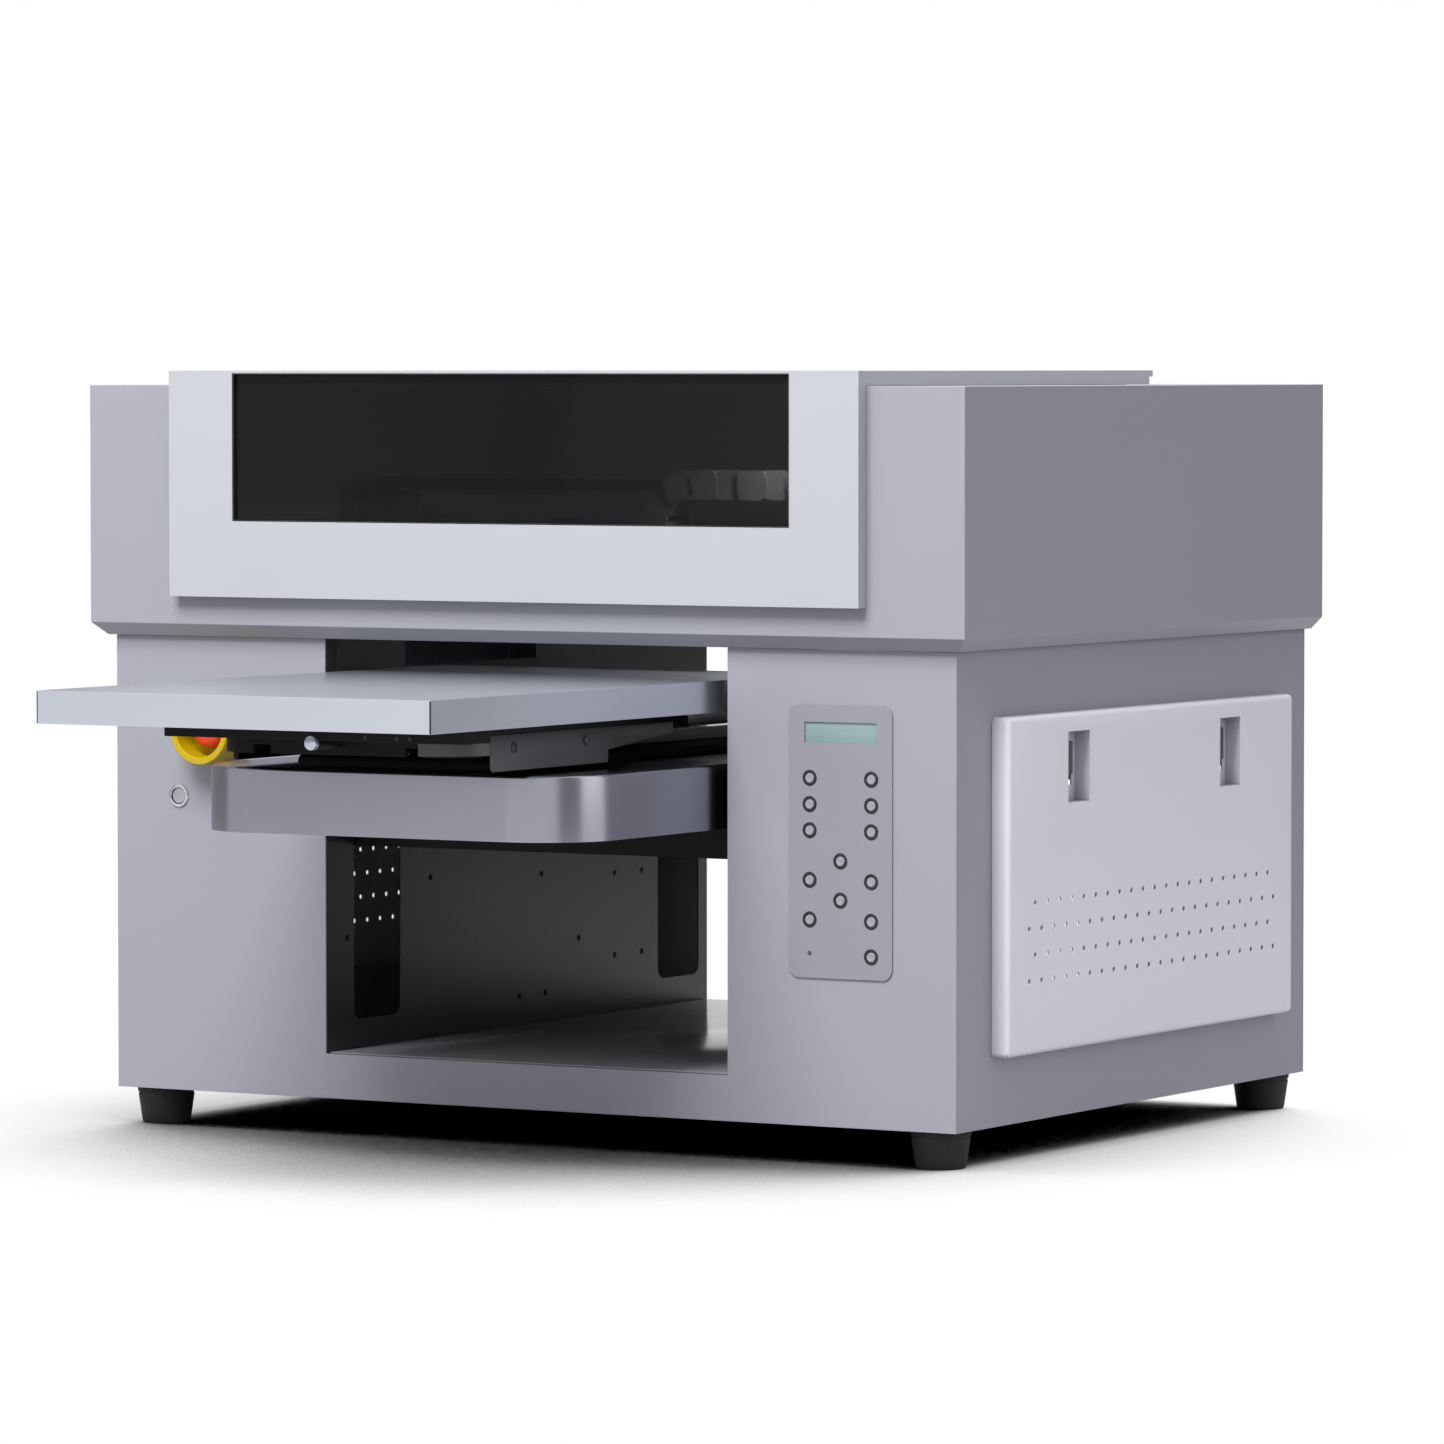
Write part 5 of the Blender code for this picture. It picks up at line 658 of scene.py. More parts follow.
RED_PLASTIC = MouldedPlastic("stop_plastic", (0.72, 0.052, 0.014), 0.36, wear_and_highlight=0.1, worn_and_highlit=(0.85, 0.25, 0.15), dust=0.01)
TANK_PLASTIC = MouldedPlastic("milky_tank_plastic", (0.66, 0.66, 0.64), 0.38, worn_and_highlit=(0.8, 0.8, 0.8))
CAP_PLASTIC = MouldedPlastic("tank_cap_plastic", (0.030, 0.030, 0.034), 0.42)
BOARD = MouldedPlastic("board_laminate", (0.015, 0.12, 0.055), 0.35, worn_and_highlit=(0.3, 0.35, 0.2))
FILM_AMBER = MouldedPlastic("lamp_shield_film", (0.55, 0.24, 0.03), 0.22, worn_and_highlit=(0.7, 0.4, 0.1), dust=0.02)
SMOKE = SmokedPane("smoked_acrylic", (0.004, 0.004, 0.005), 0.05, clearness=0.30, specular=0.18)
DISPLAY = CharacterDisplay("display_film", (0.21, 0.30, 0.295), 0.18)


class Shape:
    """Builds one mesh step by step and turns it into an object."""

    def __init__(self) -> None:
        """Start with an empty mesh."""
        self.bm = bmesh.new()

    def block(self, low: Point, high: Point, edge: float = 0.0, segments: int = 2) -> "Shape":
        """Add a box, its edges rounded.

        Args:
            low: the lowest corner.
            high: the highest corner.
            edge: the radius of its edges, 0 for sharp ones.
            segments: the steps of each rounded edge.

        Returns:
            This shape.
        """
        low, high = Vector(low), Vector(high)
        place = Matrix.Translation((low + high) / 2) @ Matrix.Diagonal((*(high - low), 1))
        verts = bmesh.ops.create_cube(self.bm, size=1, matrix=place)["verts"]
        if edge > 0:
            edges = list({e for v in verts for e in v.link_edges})
            bmesh.ops.bevel(self.bm, geom=edges, offset=edge, segments=segments, profile=0.5, affect="EDGES")
        return self

    def turned(self, profile: Sequence[tuple[float, float]], start: Point, axis: str, sides: int = 48) -> "Shape":
        """Add a body turned about an axis.

        Args:
            profile: (radius, height) points, lowest first, that start and end on the axis or close in a ring.
            start: where the axis starts.
            axis: X, Y or Z, the way the heights grow.
            sides: how many steps make a turn.

        Returns:
            This shape.
        """
        turn = {"X": Matrix.Rotation(math.pi / 2, 3, "Y"), "Y": Matrix.Rotation(-math.pi / 2, 3, "X")}
        lay = turn.get(axis, Matrix.Identity(3))
        rings: list[list[bmesh.types.BMVert]] = []
        for radius, height in profile:
            count = 1 if radius < 1e-7 else sides
            ring = []
            for step in range(count):
                angle = math.tau * step / sides
                spot = lay @ Vector((radius * math.cos(angle), radius * math.sin(angle), height))
                ring.append(self.bm.verts.new(Vector(start) + spot))
            rings.append(ring)
        for first, second in zip(rings, rings[1:]):
            self.bridge(first, second)
        return self

    def bridge(self, first: Sequence[bmesh.types.BMVert], second: Sequence[bmesh.types.BMVert]) -> None:
        """Join two rings of points with faces; a ring may be a single point.

        Args:
            first: the points of one ring.
            second: the points of the other, as many or a single one.
        """
        count = max(len(first), len(second))
        for step in range(count):
            after = (step + 1) % count
            if len(first) == 1:
                corners = (first[0], second[step], second[after])
            elif len(second) == 1:
                corners = (first[step], first[after], second[0])
            else:
                corners = (first[step], first[after], second[after], second[step])
            self.bm.faces.new(corners)

    def plate(self, outline: Sequence[tuple[float, float]], axis: str, start: float, end: float,
              edge: float = 0.0) -> "Shape":
        """Add a plate from a flat outline.

        Args:
            outline: (X, Z) points for axis Y, (Y, Z) for X and (X, Y) for Z.
            axis: the way the plate is thick.
            start: where it starts along the axis.
            end: where it ends.
            edge: the radius of its rims, 0 for sharp ones.

        Returns:
            This shape.
        """
        def spot(u: float, v: float, along: float) -> Point:
            """Place one point of the outline."""
            return {"X": (along, u, v), "Y": (u, along, v), "Z": (u, v, along)}[axis]
        ends = [[self.bm.verts.new(spot(u, v, along)) for u, v in outline] for along in (start, end)]
        caps = [self.bm.faces.new(ends[0]), self.bm.faces.new(list(reversed(ends[1])))]
        for first, second, third, fourth in zip(ends[0], ends[0][1:] + ends[0][:1],
                                                ends[1][1:] + ends[1][:1], ends[1]):
            self.bm.faces.new((second, first, fourth, third))
        if edge > 0:
            rims = list({e for cap in caps for e in cap.edges})
            bmesh.ops.bevel(self.bm, geom=rims, offset=edge, segments=2, profile=0.5, affect="EDGES")
        return self

    def tube(self, path: Sequence[Point], radius: float, sides: int = 12) -> "Shape":
        """Sweep a round bar along a path and cap its ends.

        Args:
            path: the points that it follows.
            radius: its radius.
            sides: how many flats make it round.

        Returns:
            This shape.
        """
        spots = [Vector(point) for point in path]
        across = (spots[1] - spots[0]).orthogonal()
        rings = []
        for index, spot in enumerate(spots):
            ahead = (spots[min(index + 1, len(spots) - 1)] - spots[max(index - 1, 0)]).normalized()
            across = (across - ahead * across.dot(ahead)).normalized()
            turns = [math.tau * step / sides for step in range(sides)]
            rings.append([self.bm.verts.new(spot + radius * (math.cos(turn) * across
                                                             + math.sin(turn) * ahead.cross(across)))
                          for turn in turns])
        for first, second in zip(rings, rings[1:]):
            self.bridge(first, second)
        self.bm.faces.new(rings[0])
        self.bm.faces.new(list(reversed(rings[-1])))
        return self

    def ring(self, outer: Places, inner: Places, low: float, high: float) -> "Shape":
        """Add an upright band between two outlines with as many (X, Y) points each.

        Args:
            outer: the band's outer outline.
            inner: its inner outline.
            low: where it starts along Z.
            high: where it ends.

        Returns:
            This shape.
        """
        rows = [[self.bm.verts.new((x, y, z)) for x, y in outline]
                for outline, z in ((outer, low), (outer, high), (inner, high), (inner, low))]
        for first, second in zip(rows, rows[1:] + rows[:1]):
            self.bridge(first, second)
        return self

    def done(self, name: str, angle: float = 35.0) -> bpy.types.Object:
        """Turn the mesh into an object with smooth faces and sharp creases.

        Args:
            name: the piece's name.
            angle: the crease angle in degrees.

        Returns:
            The new object.
        """
        bmesh.ops.recalc_face_normals(self.bm, faces=self.bm.faces)
        mesh = bpy.data.meshes.new(name)
        self.bm.to_mesh(mesh)
        self.bm.free()
        mesh.shade_smooth()
        mesh.set_sharp_from_angle(angle=math.radians(angle))
        made = bpy.data.objects.new(name, mesh)
        bpy.context.scene.collection.objects.link(made)
        return made


def rounded(u_low: float, u_high: float, v_low: float, v_high: float, radius: float, steps: int = 10) -> Places:
    """Return the outline of a rectangle with rounded corners.

    Args:
        u_low: the lowest first coordinate.
        u_high: the highest first coordinate.
        v_low: the lowest second coordinate.
        v_high: the highest second coordinate.
        radius: the radius of the corners.
        steps: the steps of each corner.

    Returns:
        The outline's points, counter-clockwise.
    """
    points: Places = []
    for u, v, first in ((u_high - radius, v_high - radius, 0), (u_low + radius, v_high - radius, 1),
                        (u_low + radius, v_low + radius, 2), (u_high - radius, v_low + radius, 3)):
        for step in range(steps + 1):
            angle = math.pi / 2 * (first + step / steps)
            points.append((u + radius * math.cos(angle), v + radius * math.sin(angle)))
    return points


def rod(radius: float, length: float) -> Places:
    """Return the profile of a plain round rod."""
    return [(0, 0), (radius, 0), (radius, length), (0, length)]


def pan_head(radius: float, outward: int = 1) -> Places:
    """Return the profile of a pan head screw with a recess, from its seat outwards.

    Args:
        radius: the head's radius.
        outward: 1 where the head grows along its axis, or -1.

    Returns:
        The profile as (radius, height) points.
    """
    points = [(0, 0), (radius, 0), (radius, radius * 0.2), (radius * 0.75, radius * 0.5), (radius * 0.35, radius * 0.6),
              (radius * 0.30, radius * 0.3), (0, radius * 0.25)]
    return [(r, h * outward) for r, h in points]


@dataclass(frozen=True)
class Row:
    """A straight row of equal screws, holes or chips."""

    size: float
    first: float
    pitch: float
    count: int

    def places(self, start: float = 0.0) -> list[float]:
        """Return where the pieces sit along their row, counted from a start."""
        return [start + self.first + self.pitch * step for step in range(self.count)]


def carve(target: bpy.types.Object, tool: bpy.types.Object, operation: str = "DIFFERENCE") -> bpy.types.Object:
    """Cut or join one mesh with another for good, and throw the tool away.

    Args:
        target: the piece that changes.
        tool: the body to cut or join with.
        operation: the Boolean's operation.

    Returns:
        The target.
    """
    modifier = target.modifiers.new("carve", "BOOLEAN")
    modifier.operation = operation
    modifier.solver = "EXACT"
    modifier.object = tool
    bpy.context.view_layer.update()
    graph = bpy.context.evaluated_depsgraph_get()
    mesh = bpy.data.meshes.new_from_object(target.evaluated_get(graph))
    target.modifiers.clear()
    target.data = mesh
    bpy.data.objects.remove(tool, do_unlink=True)
    return target


def even_normals(target: bpy.types.Object) -> None:
    """Let each large flat face keep its own normal, so that only the rounded edges shade softly.

    Args:
        target: the piece.
    """
    even = target.modifiers.new("even_normals", "WEIGHTED_NORMAL")
    even.mode = "FACE_AREA"
    even.weight = 100
    even.keep_sharp = True


def soften(target: bpy.types.Object, edge: float, segments: int = 2, angle: float = 30.0) -> bpy.types.Object:
    """Clean a mesh's flat faces and round its edges with a Bevel modifier.

    Args:
        target: the piece.
        edge: the radius of its edges.
        segments: the steps of each rounded edge.
        angle: the smallest angle, in degrees, that counts as an edge.

    Returns:
        The piece.
    """
    bm = bmesh.new()
    bm.from_mesh(target.data)
    bmesh.ops.remove_doubles(bm, verts=bm.verts, dist=1e-6)
    bmesh.ops.dissolve_limit(bm, angle_limit=math.radians(1), verts=bm.verts, edges=bm.edges)
    for layer in list(bm.loops.layers.uv):
        bm.loops.layers.uv.remove(layer)
    bm.to_mesh(target.data)
    bm.free()
    target.data.shade_smooth()
    bevel = target.modifiers.new("edges", "BEVEL")
    bevel.width = edge
    bevel.segments = segments
    bevel.limit_method = "ANGLE"
    bevel.angle_limit = math.radians(angle)
    bevel.use_clamp_overlap = True
    even_normals(target)
    return target


@dataclass
class Workshop:
    """Places pieces in the frame, and keeps count of them."""

    nodes: dict[str, bpy.types.Object]
    count: int = 0

    def fit(self, piece: bpy.types.Object, body: str, slot: Slot, finish: Finish, nodes: Iterable[str] = ()) -> None:
        """Give a piece its finish and its body.

        Args:
            piece: the new piece, in place.
            body: the CAD body it moves with.
            slot: the record's material slot it belongs to.
            finish: what it is covered with.
            nodes: the CAD nodes it stands for.
        """
        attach(piece, body)
        self.coat(piece, slot, finish, nodes)

    def coat(self, piece: bpy.types.Object, slot: Slot, finish: Finish, nodes: Iterable[str] = ()) -> None:
        """Give a piece its finish, and say which CAD nodes it stands for.

        Args:
            piece: the new piece, in place.
            slot: the record's material slot it belongs to; not used.
            finish: what it is covered with.
            nodes: the CAD nodes it stands for.
        """
        piece.data.materials.clear()
        piece.data.materials.append(finish.material())
        for polygon in piece.data.polygons:
            polygon.material_index = 0
        if nodes:
            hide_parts(*nodes)
        self.count += 1
        LOG.info("piece %s, %s", piece.name, finish.name)

    def copy(self, node: str, name: str) -> bpy.types.Object:
        """Return a new object with a copy of a CAD node's mesh.

        Args:
            node: the CAD node.
            name: the new object's name.

        Returns:
            The new object.
        """
        mesh = self.nodes[node].data.copy()
        mesh.name = name
        made = bpy.data.objects.new(name, mesh)
        bpy.context.scene.collection.objects.link(made)
        return made

    def dressed(self, node: str, name: str, body: str, slot: Slot, finish: Finish,
                edge: float = Edge.PART) -> None:
        """Stand a softened copy in for a CAD node.

        Args:
            node: the CAD node.
            name: the new piece's name.
            body: the CAD body it moves with.
            slot: the record's material slot.
            finish: what it is covered with.
            edge: the radius of its edges.
        """
        self.fit(soften(self.copy(node, name), edge), body, slot, finish, (node,))


@dataclass
class Cabinet:
    """The lower casing and the hood above it."""

    shop: Workshop
    foot_height: float = 0.0291
    foot_places: Places = field(default_factory=lambda: [(-0.3569, -0.0686), (0.3569, -0.0686),
                                                         (-0.3569, 0.4782), (0.3569, 0.4782)])
    screw_radius: float = 0.0035
    screw_seat: float = 0.5005
    screw_columns: tuple[float, ...] = (-0.372, -0.225, 0.225, 0.372)
    screw_rows: tuple[float, ...] = (0.050, 0.220, 0.345)

    def build(self) -> None:
        """Build the casing's sheets, its feet and its fasteners."""
        for node, name in (("front_panel", "front_sheet"), ("rear_panel", "rear_sheet"),
                           ("side_panel_left", "side_sheet_left"), ("side_panel_right", "side_sheet_right"),
                           ("base_pan", "base_sheet")):
            self.shop.dressed(node, name, "casing", Slot.CASING, CASING, Edge.SHEET)
        self.shop.dressed("hood_shell", "hood_skin", "casing", Slot.CASING, CASING, Edge.PART)
        self.shop.dressed("power_inlet", "mains_inlet", "casing", Slot.BLACK, BLACK_PLASTIC, Edge.SHEET)
        self.feet()
        self.rear_screws()

    def feet(self) -> None:
        """Turn the four rubber feet, each with a groove and a rounded lower rim."""
        top = self.foot_height
        profile = [(0, 0.0015), (0.006, 0.0015), (0.007, 0), (0.0175, 0), (0.0190, 0.0006), (0.0196, 0.0020),
                   (0.0226, top - 0.006), (0.0221, top - 0.0055), (0.0221, top - 0.0045), (0.0230, top - 0.004),
                   (0.0234, top - 0.001), (0.0230, top), (0, top)]
        nodes = ("front_left", "front_right", "rear_left", "rear_right")
        for node, (x, y) in zip(nodes, self.foot_places):
            foot = Shape().turned(profile, (x, y, 0), "Z", 56).done(f"foot_{node}")
            self.shop.fit(foot, "casing", Slot.RUBBER, RUBBER, (f"rubber_foot_{node}",))

    def rear_screws(self) -> None:
        """Set pan head screws along the rear panel."""
        shape = Shape()
        for x in self.screw_columns:
            for z in self.screw_rows:
                shape.turned(pan_head(self.screw_radius), (x, self.screw_seat, z), "Y", 20)
        self.shop.fit(shape.done("rear_screws"), "casing", Slot.ZINC, ZINC)


@dataclass
class Lid:
    """The L-shaped cover with its smoked pane."""

    shop: Workshop
    half_window: float = 0.2546
    bottom: float = 0.4872
    top: float = 0.6045
    front: float = -0.123
    seal: float = 0.0012
    hatch_half: float = 0.3035
    hatch_front: float = -0.104
    hatch_rear: float = 0.3355
    hood_top: float = 0.5951
    lip_width: float = 0.0030
    lip_top: float = 0.6041
    lip_edge: float = 0.0012
    seal_depths: tuple[float, float] = (0.0005, 0.002)

    def build(self) -> None:
        """Build the cover, its pane, the seals and the hinge."""
        self.hood_seal()
        self.shop.dressed("lid_frame", "lid_cover", "lid", Slot.LID, LID, Edge.PART)
        self.pane()
        self.window_seal()
        self.shop.dressed("lid_hinge", "hinge_leaf", "casing", Slot.ZINC, ZINC, Edge.LEAF)

    def pane(self) -> None:
        """Cut the smoked pane with softly rounded rims."""
        low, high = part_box("lid_window")
        pane = Shape().block(tuple(low), tuple(high), Edge.SHEET, 2).done("smoked_pane")
        self.shop.fit(pane, "lid", Slot.SMOKED, SMOKE, ("lid_window",))

    def hood_seal(self) -> None:
        """Run the soft seal that the lid lies on along the hood's sides and rear."""
        low, high, half, wide = self.hood_top, self.lip_top, self.hatch_half, self.lip_width
        rear = self.hatch_rear
        shape = Shape().block((-half, rear - wide, low), (half, rear, high), self.lip_edge, 3)
        for side in Side:
            x_low, x_high = side.span(half, half + wide)
            shape.block((x_low, self.hatch_front, low), (x_high, rear, high), self.lip_edge, 3)
        self.shop.fit(shape.done("hood_seal"), "casing", Slot.BLACK, RUBBER)

    def window_seal(self) -> None:
        """Line the window's opening with a thin black strip."""
        half, wide = self.half_window, self.seal
        front, back = (self.front + depth for depth in self.seal_depths)
        low, high = self.bottom, self.top
        bars = (((-half, low), (half, low + wide)), ((-half, high - wide), (half, high)),
                ((-half, low + wide), (-half + wide, high - wide)), ((half - wide, low + wide), (half, high - wide)))
        shape = Shape()
        for (x_low, z_low), (x_high, z_high) in bars:
            shape.block((x_low, front, z_low), (x_high, back, z_high))
        self.shop.fit(shape.done("window_seal"), "lid", Slot.BLACK, BLACK_PLASTIC)


@dataclass
class ServiceDoor:
    """One side door: a folded pan with round vents, latch cups and its two latches."""

    shop: Workshop
    side: Side
    y_low: float = -0.0403
    length: float = 0.4898
    z_low: float = 0.083
    height: float = 0.260
    inner: float = 0.3853
    face: float = 0.400
    sheet: float = 0.0015
    edge: float = 0.0042
    cup_starts: tuple[float, float] = (0.0565, 0.3167)
    cup_bottom: float = 0.2735
    cup_width: float = 0.036
    cup_height: float = 0.055
    cup_depth: float = 0.013
    cup_wall: float = 0.0012
    window_drop: float = 0.0088
    window_height: float = 0.034
    window_span: tuple[float, float] = (0.0065, 0.0295)
    window_cut: tuple[float, float] = (0.003, 0.001)
    tab_inset: float = 0.070
    tab_half: float = 0.010
    tab_inner: float = 0.377
    tab_height: float = 0.0012
    overrun: float = 0.005
    vent: float = 0.002
    vent_sink: float = 0.0006
    vent_start: float = 0.002
    vent_rows: int = 4
    vent_columns: int = 21
    vent_pitch: float = 0.020
    vent_row_pitch: float = 0.0201
    vent_inset: float = 0.0437
    vent_shift: float = 0.0097
    vent_drop: float = 0.1433
    shroud: float = 0.3818
    shroud_sheet: float = 0.0008
    shroud_side: float = 0.004
    shroud_low: float = 0.0035
    shroud_high: float = 0.0075

    def build(self) -> None:
        """Build the door and its latches."""
        label = self.side.name.lower()
        self.pan(label)
        self.shrouds(label)
        for place in ("front", "rear"):
            node = f"latch_{label}_{place}"
            self.shop.dressed(node, f"{label}_{place}_slider", f"{label}_{place}_latch", Slot.BLACK, LATCH_PLASTIC,
                              Edge.SHEET)

    def shrouds(self, label: str) -> None:
        """Close each latch window from behind with a thin dark plate on the door.

        Args:
            label: the side's name.
        """
        shape = Shape()
        top = self.cup_bottom + self.cup_height
        for y in self.cup_starts:
            self.box(self.shroud, self.shroud + self.shroud_sheet,
                     (y + self.shroud_side, self.cup_bottom + self.shroud_low),
                     (y + self.cup_width - self.shroud_side, top - self.shroud_high), shape, Edge.FILM)
        self.shop.fit(shape.done(f"{label}_latch_shrouds"), f"{label}_door", Slot.BLACK, BLACK_PLASTIC)

    def box(self, x_inner: float, x_outer: float, low: tuple[float, float], high: tuple[float, float],
            shape: Shape, edge: float = 0.0) -> None:
        """Add a box on this door's side to a shape, from its (Y, Z) corners."""
        x_low, x_high = self.side.span(x_inner, x_outer)
        shape.block((x_low, *low), (x_high, *high), edge)

    def vent_places(self) -> Places:
        """Return the (Y, Z) centres of the vents in their staggered rows.

        Returns:
            The centres, row by row from the top.
        """
        places: Places = []
        for row in range(self.vent_rows):
            shifted = row % 2 == 1
            first = self.y_low + self.vent_inset - (self.vent_shift if shifted else 0)
            z = self.z_low + self.height - self.vent_drop - row * self.vent_row_pitch
            places += [(first + column * self.vent_pitch, z) for column in range(self.vent_columns + shifted)]
        return places

    def pan(self, label: str) -> None:
        """Fold the pan, sink the cups and pierce the vents.

        Args:
            label: the side's name.
        """
        door = self.folded(label)
        self.sink_cups(door)
        self.pierce_vents(door)
        bm = bmesh.new()
        bm.from_mesh(door.data)
        bmesh.ops.dissolve_limit(bm, angle_limit=math.radians(0.5), verts=bm.verts, edges=bm.edges)
        bm.to_mesh(door.data)
        bm.free()
        door.data.shade_smooth()
        door.data.set_sharp_from_angle(angle=math.radians(28))
        self.shop.fit(door, f"{label}_door", Slot.LID, DOOR, (f"door_{label}",))

    def folded(self, label: str) -> bpy.types.Object:
        """Fold the door's sheet into a pan, open towards the machine.

        Args:
            label: the side's name.

        Returns:
            The pan, still without cups and vents.
        """
        y_high, z_high = self.y_low + self.length, self.z_low + self.height
        shape = Shape()
        self.box(self.inner, self.face, (self.y_low, self.z_low), (y_high, z_high), shape)
        middle = (self.inner + self.face) / 2
        edges = [e for e in shape.bm.edges
                 if abs((e.verts[0].co - e.verts[1].co).x) > 0.001
                 or min(abs(v.co.x) for v in e.verts) > middle]
        bmesh.ops.bevel(shape.bm, geom=edges, offset=self.edge, segments=5, profile=0.5, affect="EDGES")
        door = shape.done(f"door_pan_{label}", 60)
        hollow = Shape()
        self.box(self.inner - self.overrun, self.face - self.sheet,
                 (self.y_low + self.sheet, self.z_low + self.sheet), (y_high - self.sheet, z_high - self.sheet), hollow)
        return carve(door, hollow.done("hollow"))

    def sink_cups(self, door: bpy.types.Object) -> None:
        """Join the latch cups and the hinge tabs to the pan, then open the cups and their windows.

        Args:
            door: the folded pan.
        """
        cups, pockets, windows = Shape(), Shape(), Shape()
        for y in self.cup_starts:
            wall, width, z = self.cup_wall, self.cup_width, self.cup_bottom
            self.box(self.face - self.cup_depth - wall, self.face - self.sheet / 2, (y - wall, z - wall),
                     (y + width + wall, z + self.cup_height + wall), cups)
            self.box(self.face - self.cup_depth, self.face + self.overrun, (y, z), (y + width, z + self.cup_height),
                     pockets)
            top = z + self.cup_height - self.window_drop
            (first, last), (behind, before) = self.window_span, self.window_cut
            self.box(self.face - self.cup_depth - behind, self.face - self.cup_depth + before,
                     (y + first, top - self.window_height), (y + last, top), windows)
        for y in (self.y_low + self.tab_inset, self.y_low + self.length - self.tab_inset):
            self.box(self.tab_inner, self.inner + self.sheet, (y - self.tab_half, self.z_low),
                     (y + self.tab_half, self.z_low + self.tab_height), cups)
        carve(door, cups.done("cups"), "UNION")
        carve(door, pockets.done("pockets"))
        carve(door, windows.done("windows"))

    def pierce_vents(self, door: bpy.types.Object) -> None:
        """Pierce the vents, each with a small countersink on the outside.

        Args:
            door: the pan with its cups.
        """
        vents = Shape()
        start = self.side.value * (self.face - self.sheet - self.vent_start)
        wide = self.vent + self.vent_sink
        profile = [(0, 0), (self.vent, 0), (self.vent, 0.0031), (wide, 0.0037), (wide, 0.006), (0, 0.006)]
        points = [(r, self.side.value * h) for r, h in profile]
        for y, z in self.vent_places():
            vents.turned(points, (start, y, z), "X", 16)
        carve(door, vents.done("vents"))


@dataclass
class ControlPanel:
    """The control plate with its display, keys and lamp, and the push button beside the tunnel."""

    shop: Workshop
    centre: float = 0.285
    width: float = 0.0904
    height: float = 0.2098
    top: float = 0.3528
    face: float = -0.0975
    sheet: float = 0.0012
    column: float = 0.0269
    drops_left: tuple[float, ...] = (0.0568, 0.0768, 0.0968, 0.1348, 0.1651)
    drops_right: tuple[float, ...] = (0.0568, 0.0768, 0.0968, 0.1348, 0.1651, 0.1921)
    drops_centre: tuple[float, ...] = (0.1198, 0.1498)
    hole: float = 0.0062
    corner: float = 0.009
    lamp_drop: float = 0.1908
    lamp_hole: float = 0.0017
    window_drop: float = 0.0139
    window_half: tuple[float, float] = (0.03155, 0.00805)
    cut: float = 0.004
    cut_end: float = 0.006
    cut_length: float = 0.01
    cap_out: float = 0.0006
    ring_out: float = 0.0002
    lamp_out: float = 0.0004
    button: Point = (-0.3246, -0.0981, 0.266)

    def build(self) -> None:
        """Build the plate, its display, its keys and the push button."""
        self.plate()
        self.display()
        self.keys()
        self.lamp()
        self.push_button()

    def key_places(self) -> Places:
        """Return the (X, Z) centres of the keys, column by column.

        Returns:
            The centres, from the left column's top to the right one's foot.
        """
        columns = ((self.centre - self.column, self.drops_left), (self.centre, self.drops_centre),
                   (self.centre + self.column, self.drops_right))
        return [(x, self.top - drop) for x, drops in columns for drop in drops]

    def plate(self) -> None:
        """Cut the plate with rounded corners, a window and round holes."""
        half = self.width / 2
        outline = rounded(self.centre - half, self.centre + half, self.top - self.height, self.top,
                          self.corner, 12)
        plate = Shape().plate(outline, "Y", self.face, self.face + self.sheet).done("control_plate")
        holes = Shape()
        for x, z in self.key_places():
            holes.turned(rod(self.hole, self.cut_length), (x, self.face - self.cut, z), "Y", 32)
        lamp = (self.centre - self.column, self.face - self.cut, self.top - self.lamp_drop)
        holes.turned(rod(self.lamp_hole, self.cut_length), lamp, "Y", 20)
        half_x, half_z = self.window_half
        middle = self.top - self.window_drop - half_z
        holes.block((self.centre - half_x, self.face - self.cut, middle - half_z),
                    (self.centre + half_x, self.face + self.cut_end, middle + half_z))
        carve(plate, holes.done("holes"))
        soften(plate, Edge.LEAF, 2)
        self.shop.fit(plate, "casing", Slot.PANEL, PANEL, ("control_panel_plate",))

    def display(self) -> None:
        """Set the display with its softly rounded rim behind the plate."""
        low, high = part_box("display_window")
        pane = Shape().block(tuple(low), tuple(high), Edge.SHEET).done("display_pane")
        self.shop.fit(pane, "casing", Slot.DISPLAY, DISPLAY, ("display_window",))

    def keys(self) -> None:
        """Turn each key's dished cap, and the dark ring that it sits in."""
        rings = Shape()
        profile = [(0, 0.00035), (0.0016, 0.00028), (0.0027, 0.00005), (0.0032, 0), (0.0036, 0.0003),
                   (0.0037, 0.0007), (0.0037, 0.0021), (0.0072, 0.0021), (0.0072, 0.0041), (0, 0.0041)]
        ring = [(0.0044, 0.0008), (0.0046, 0.0002), (0.0056, 0.0), (0.0060, 0.0004), (0.0060, 0.0016),
                (0.0044, 0.0016), (0.0044, 0.0008)]
        for number, (x, z) in enumerate(self.key_places(), 1):
            cap = Shape().turned(profile, (x, self.face - self.cap_out, z), "Y", 40).done(f"cap_{number:02d}", 50)
            self.shop.fit(cap, f"key_{number:02d}_cap", Slot.KEY, KEY_PLASTIC, (f"key_{number:02d}",))
            rings.turned(ring, (x, self.face - self.ring_out, z), "Y", 40)
        self.shop.fit(rings.done("key_rings"), "casing", Slot.BLACK, BLACK_PLASTIC)

    def lamp(self) -> None:
        """Set the small status lamp in its hole."""
        place = (self.centre - self.column, self.face - self.lamp_out, self.top - self.lamp_drop)
        profile = [(0, 0), (0.0008, 0.0001), (0.0013, 0.0005), (0.0015, 0.0011), (0.0015, 0.0030), (0, 0.0030)]
        self.shop.fit(Shape().turned(profile, place, "Y", 24).done("status_lamp"), "casing", Slot.BLACK, LATCH_PLASTIC)

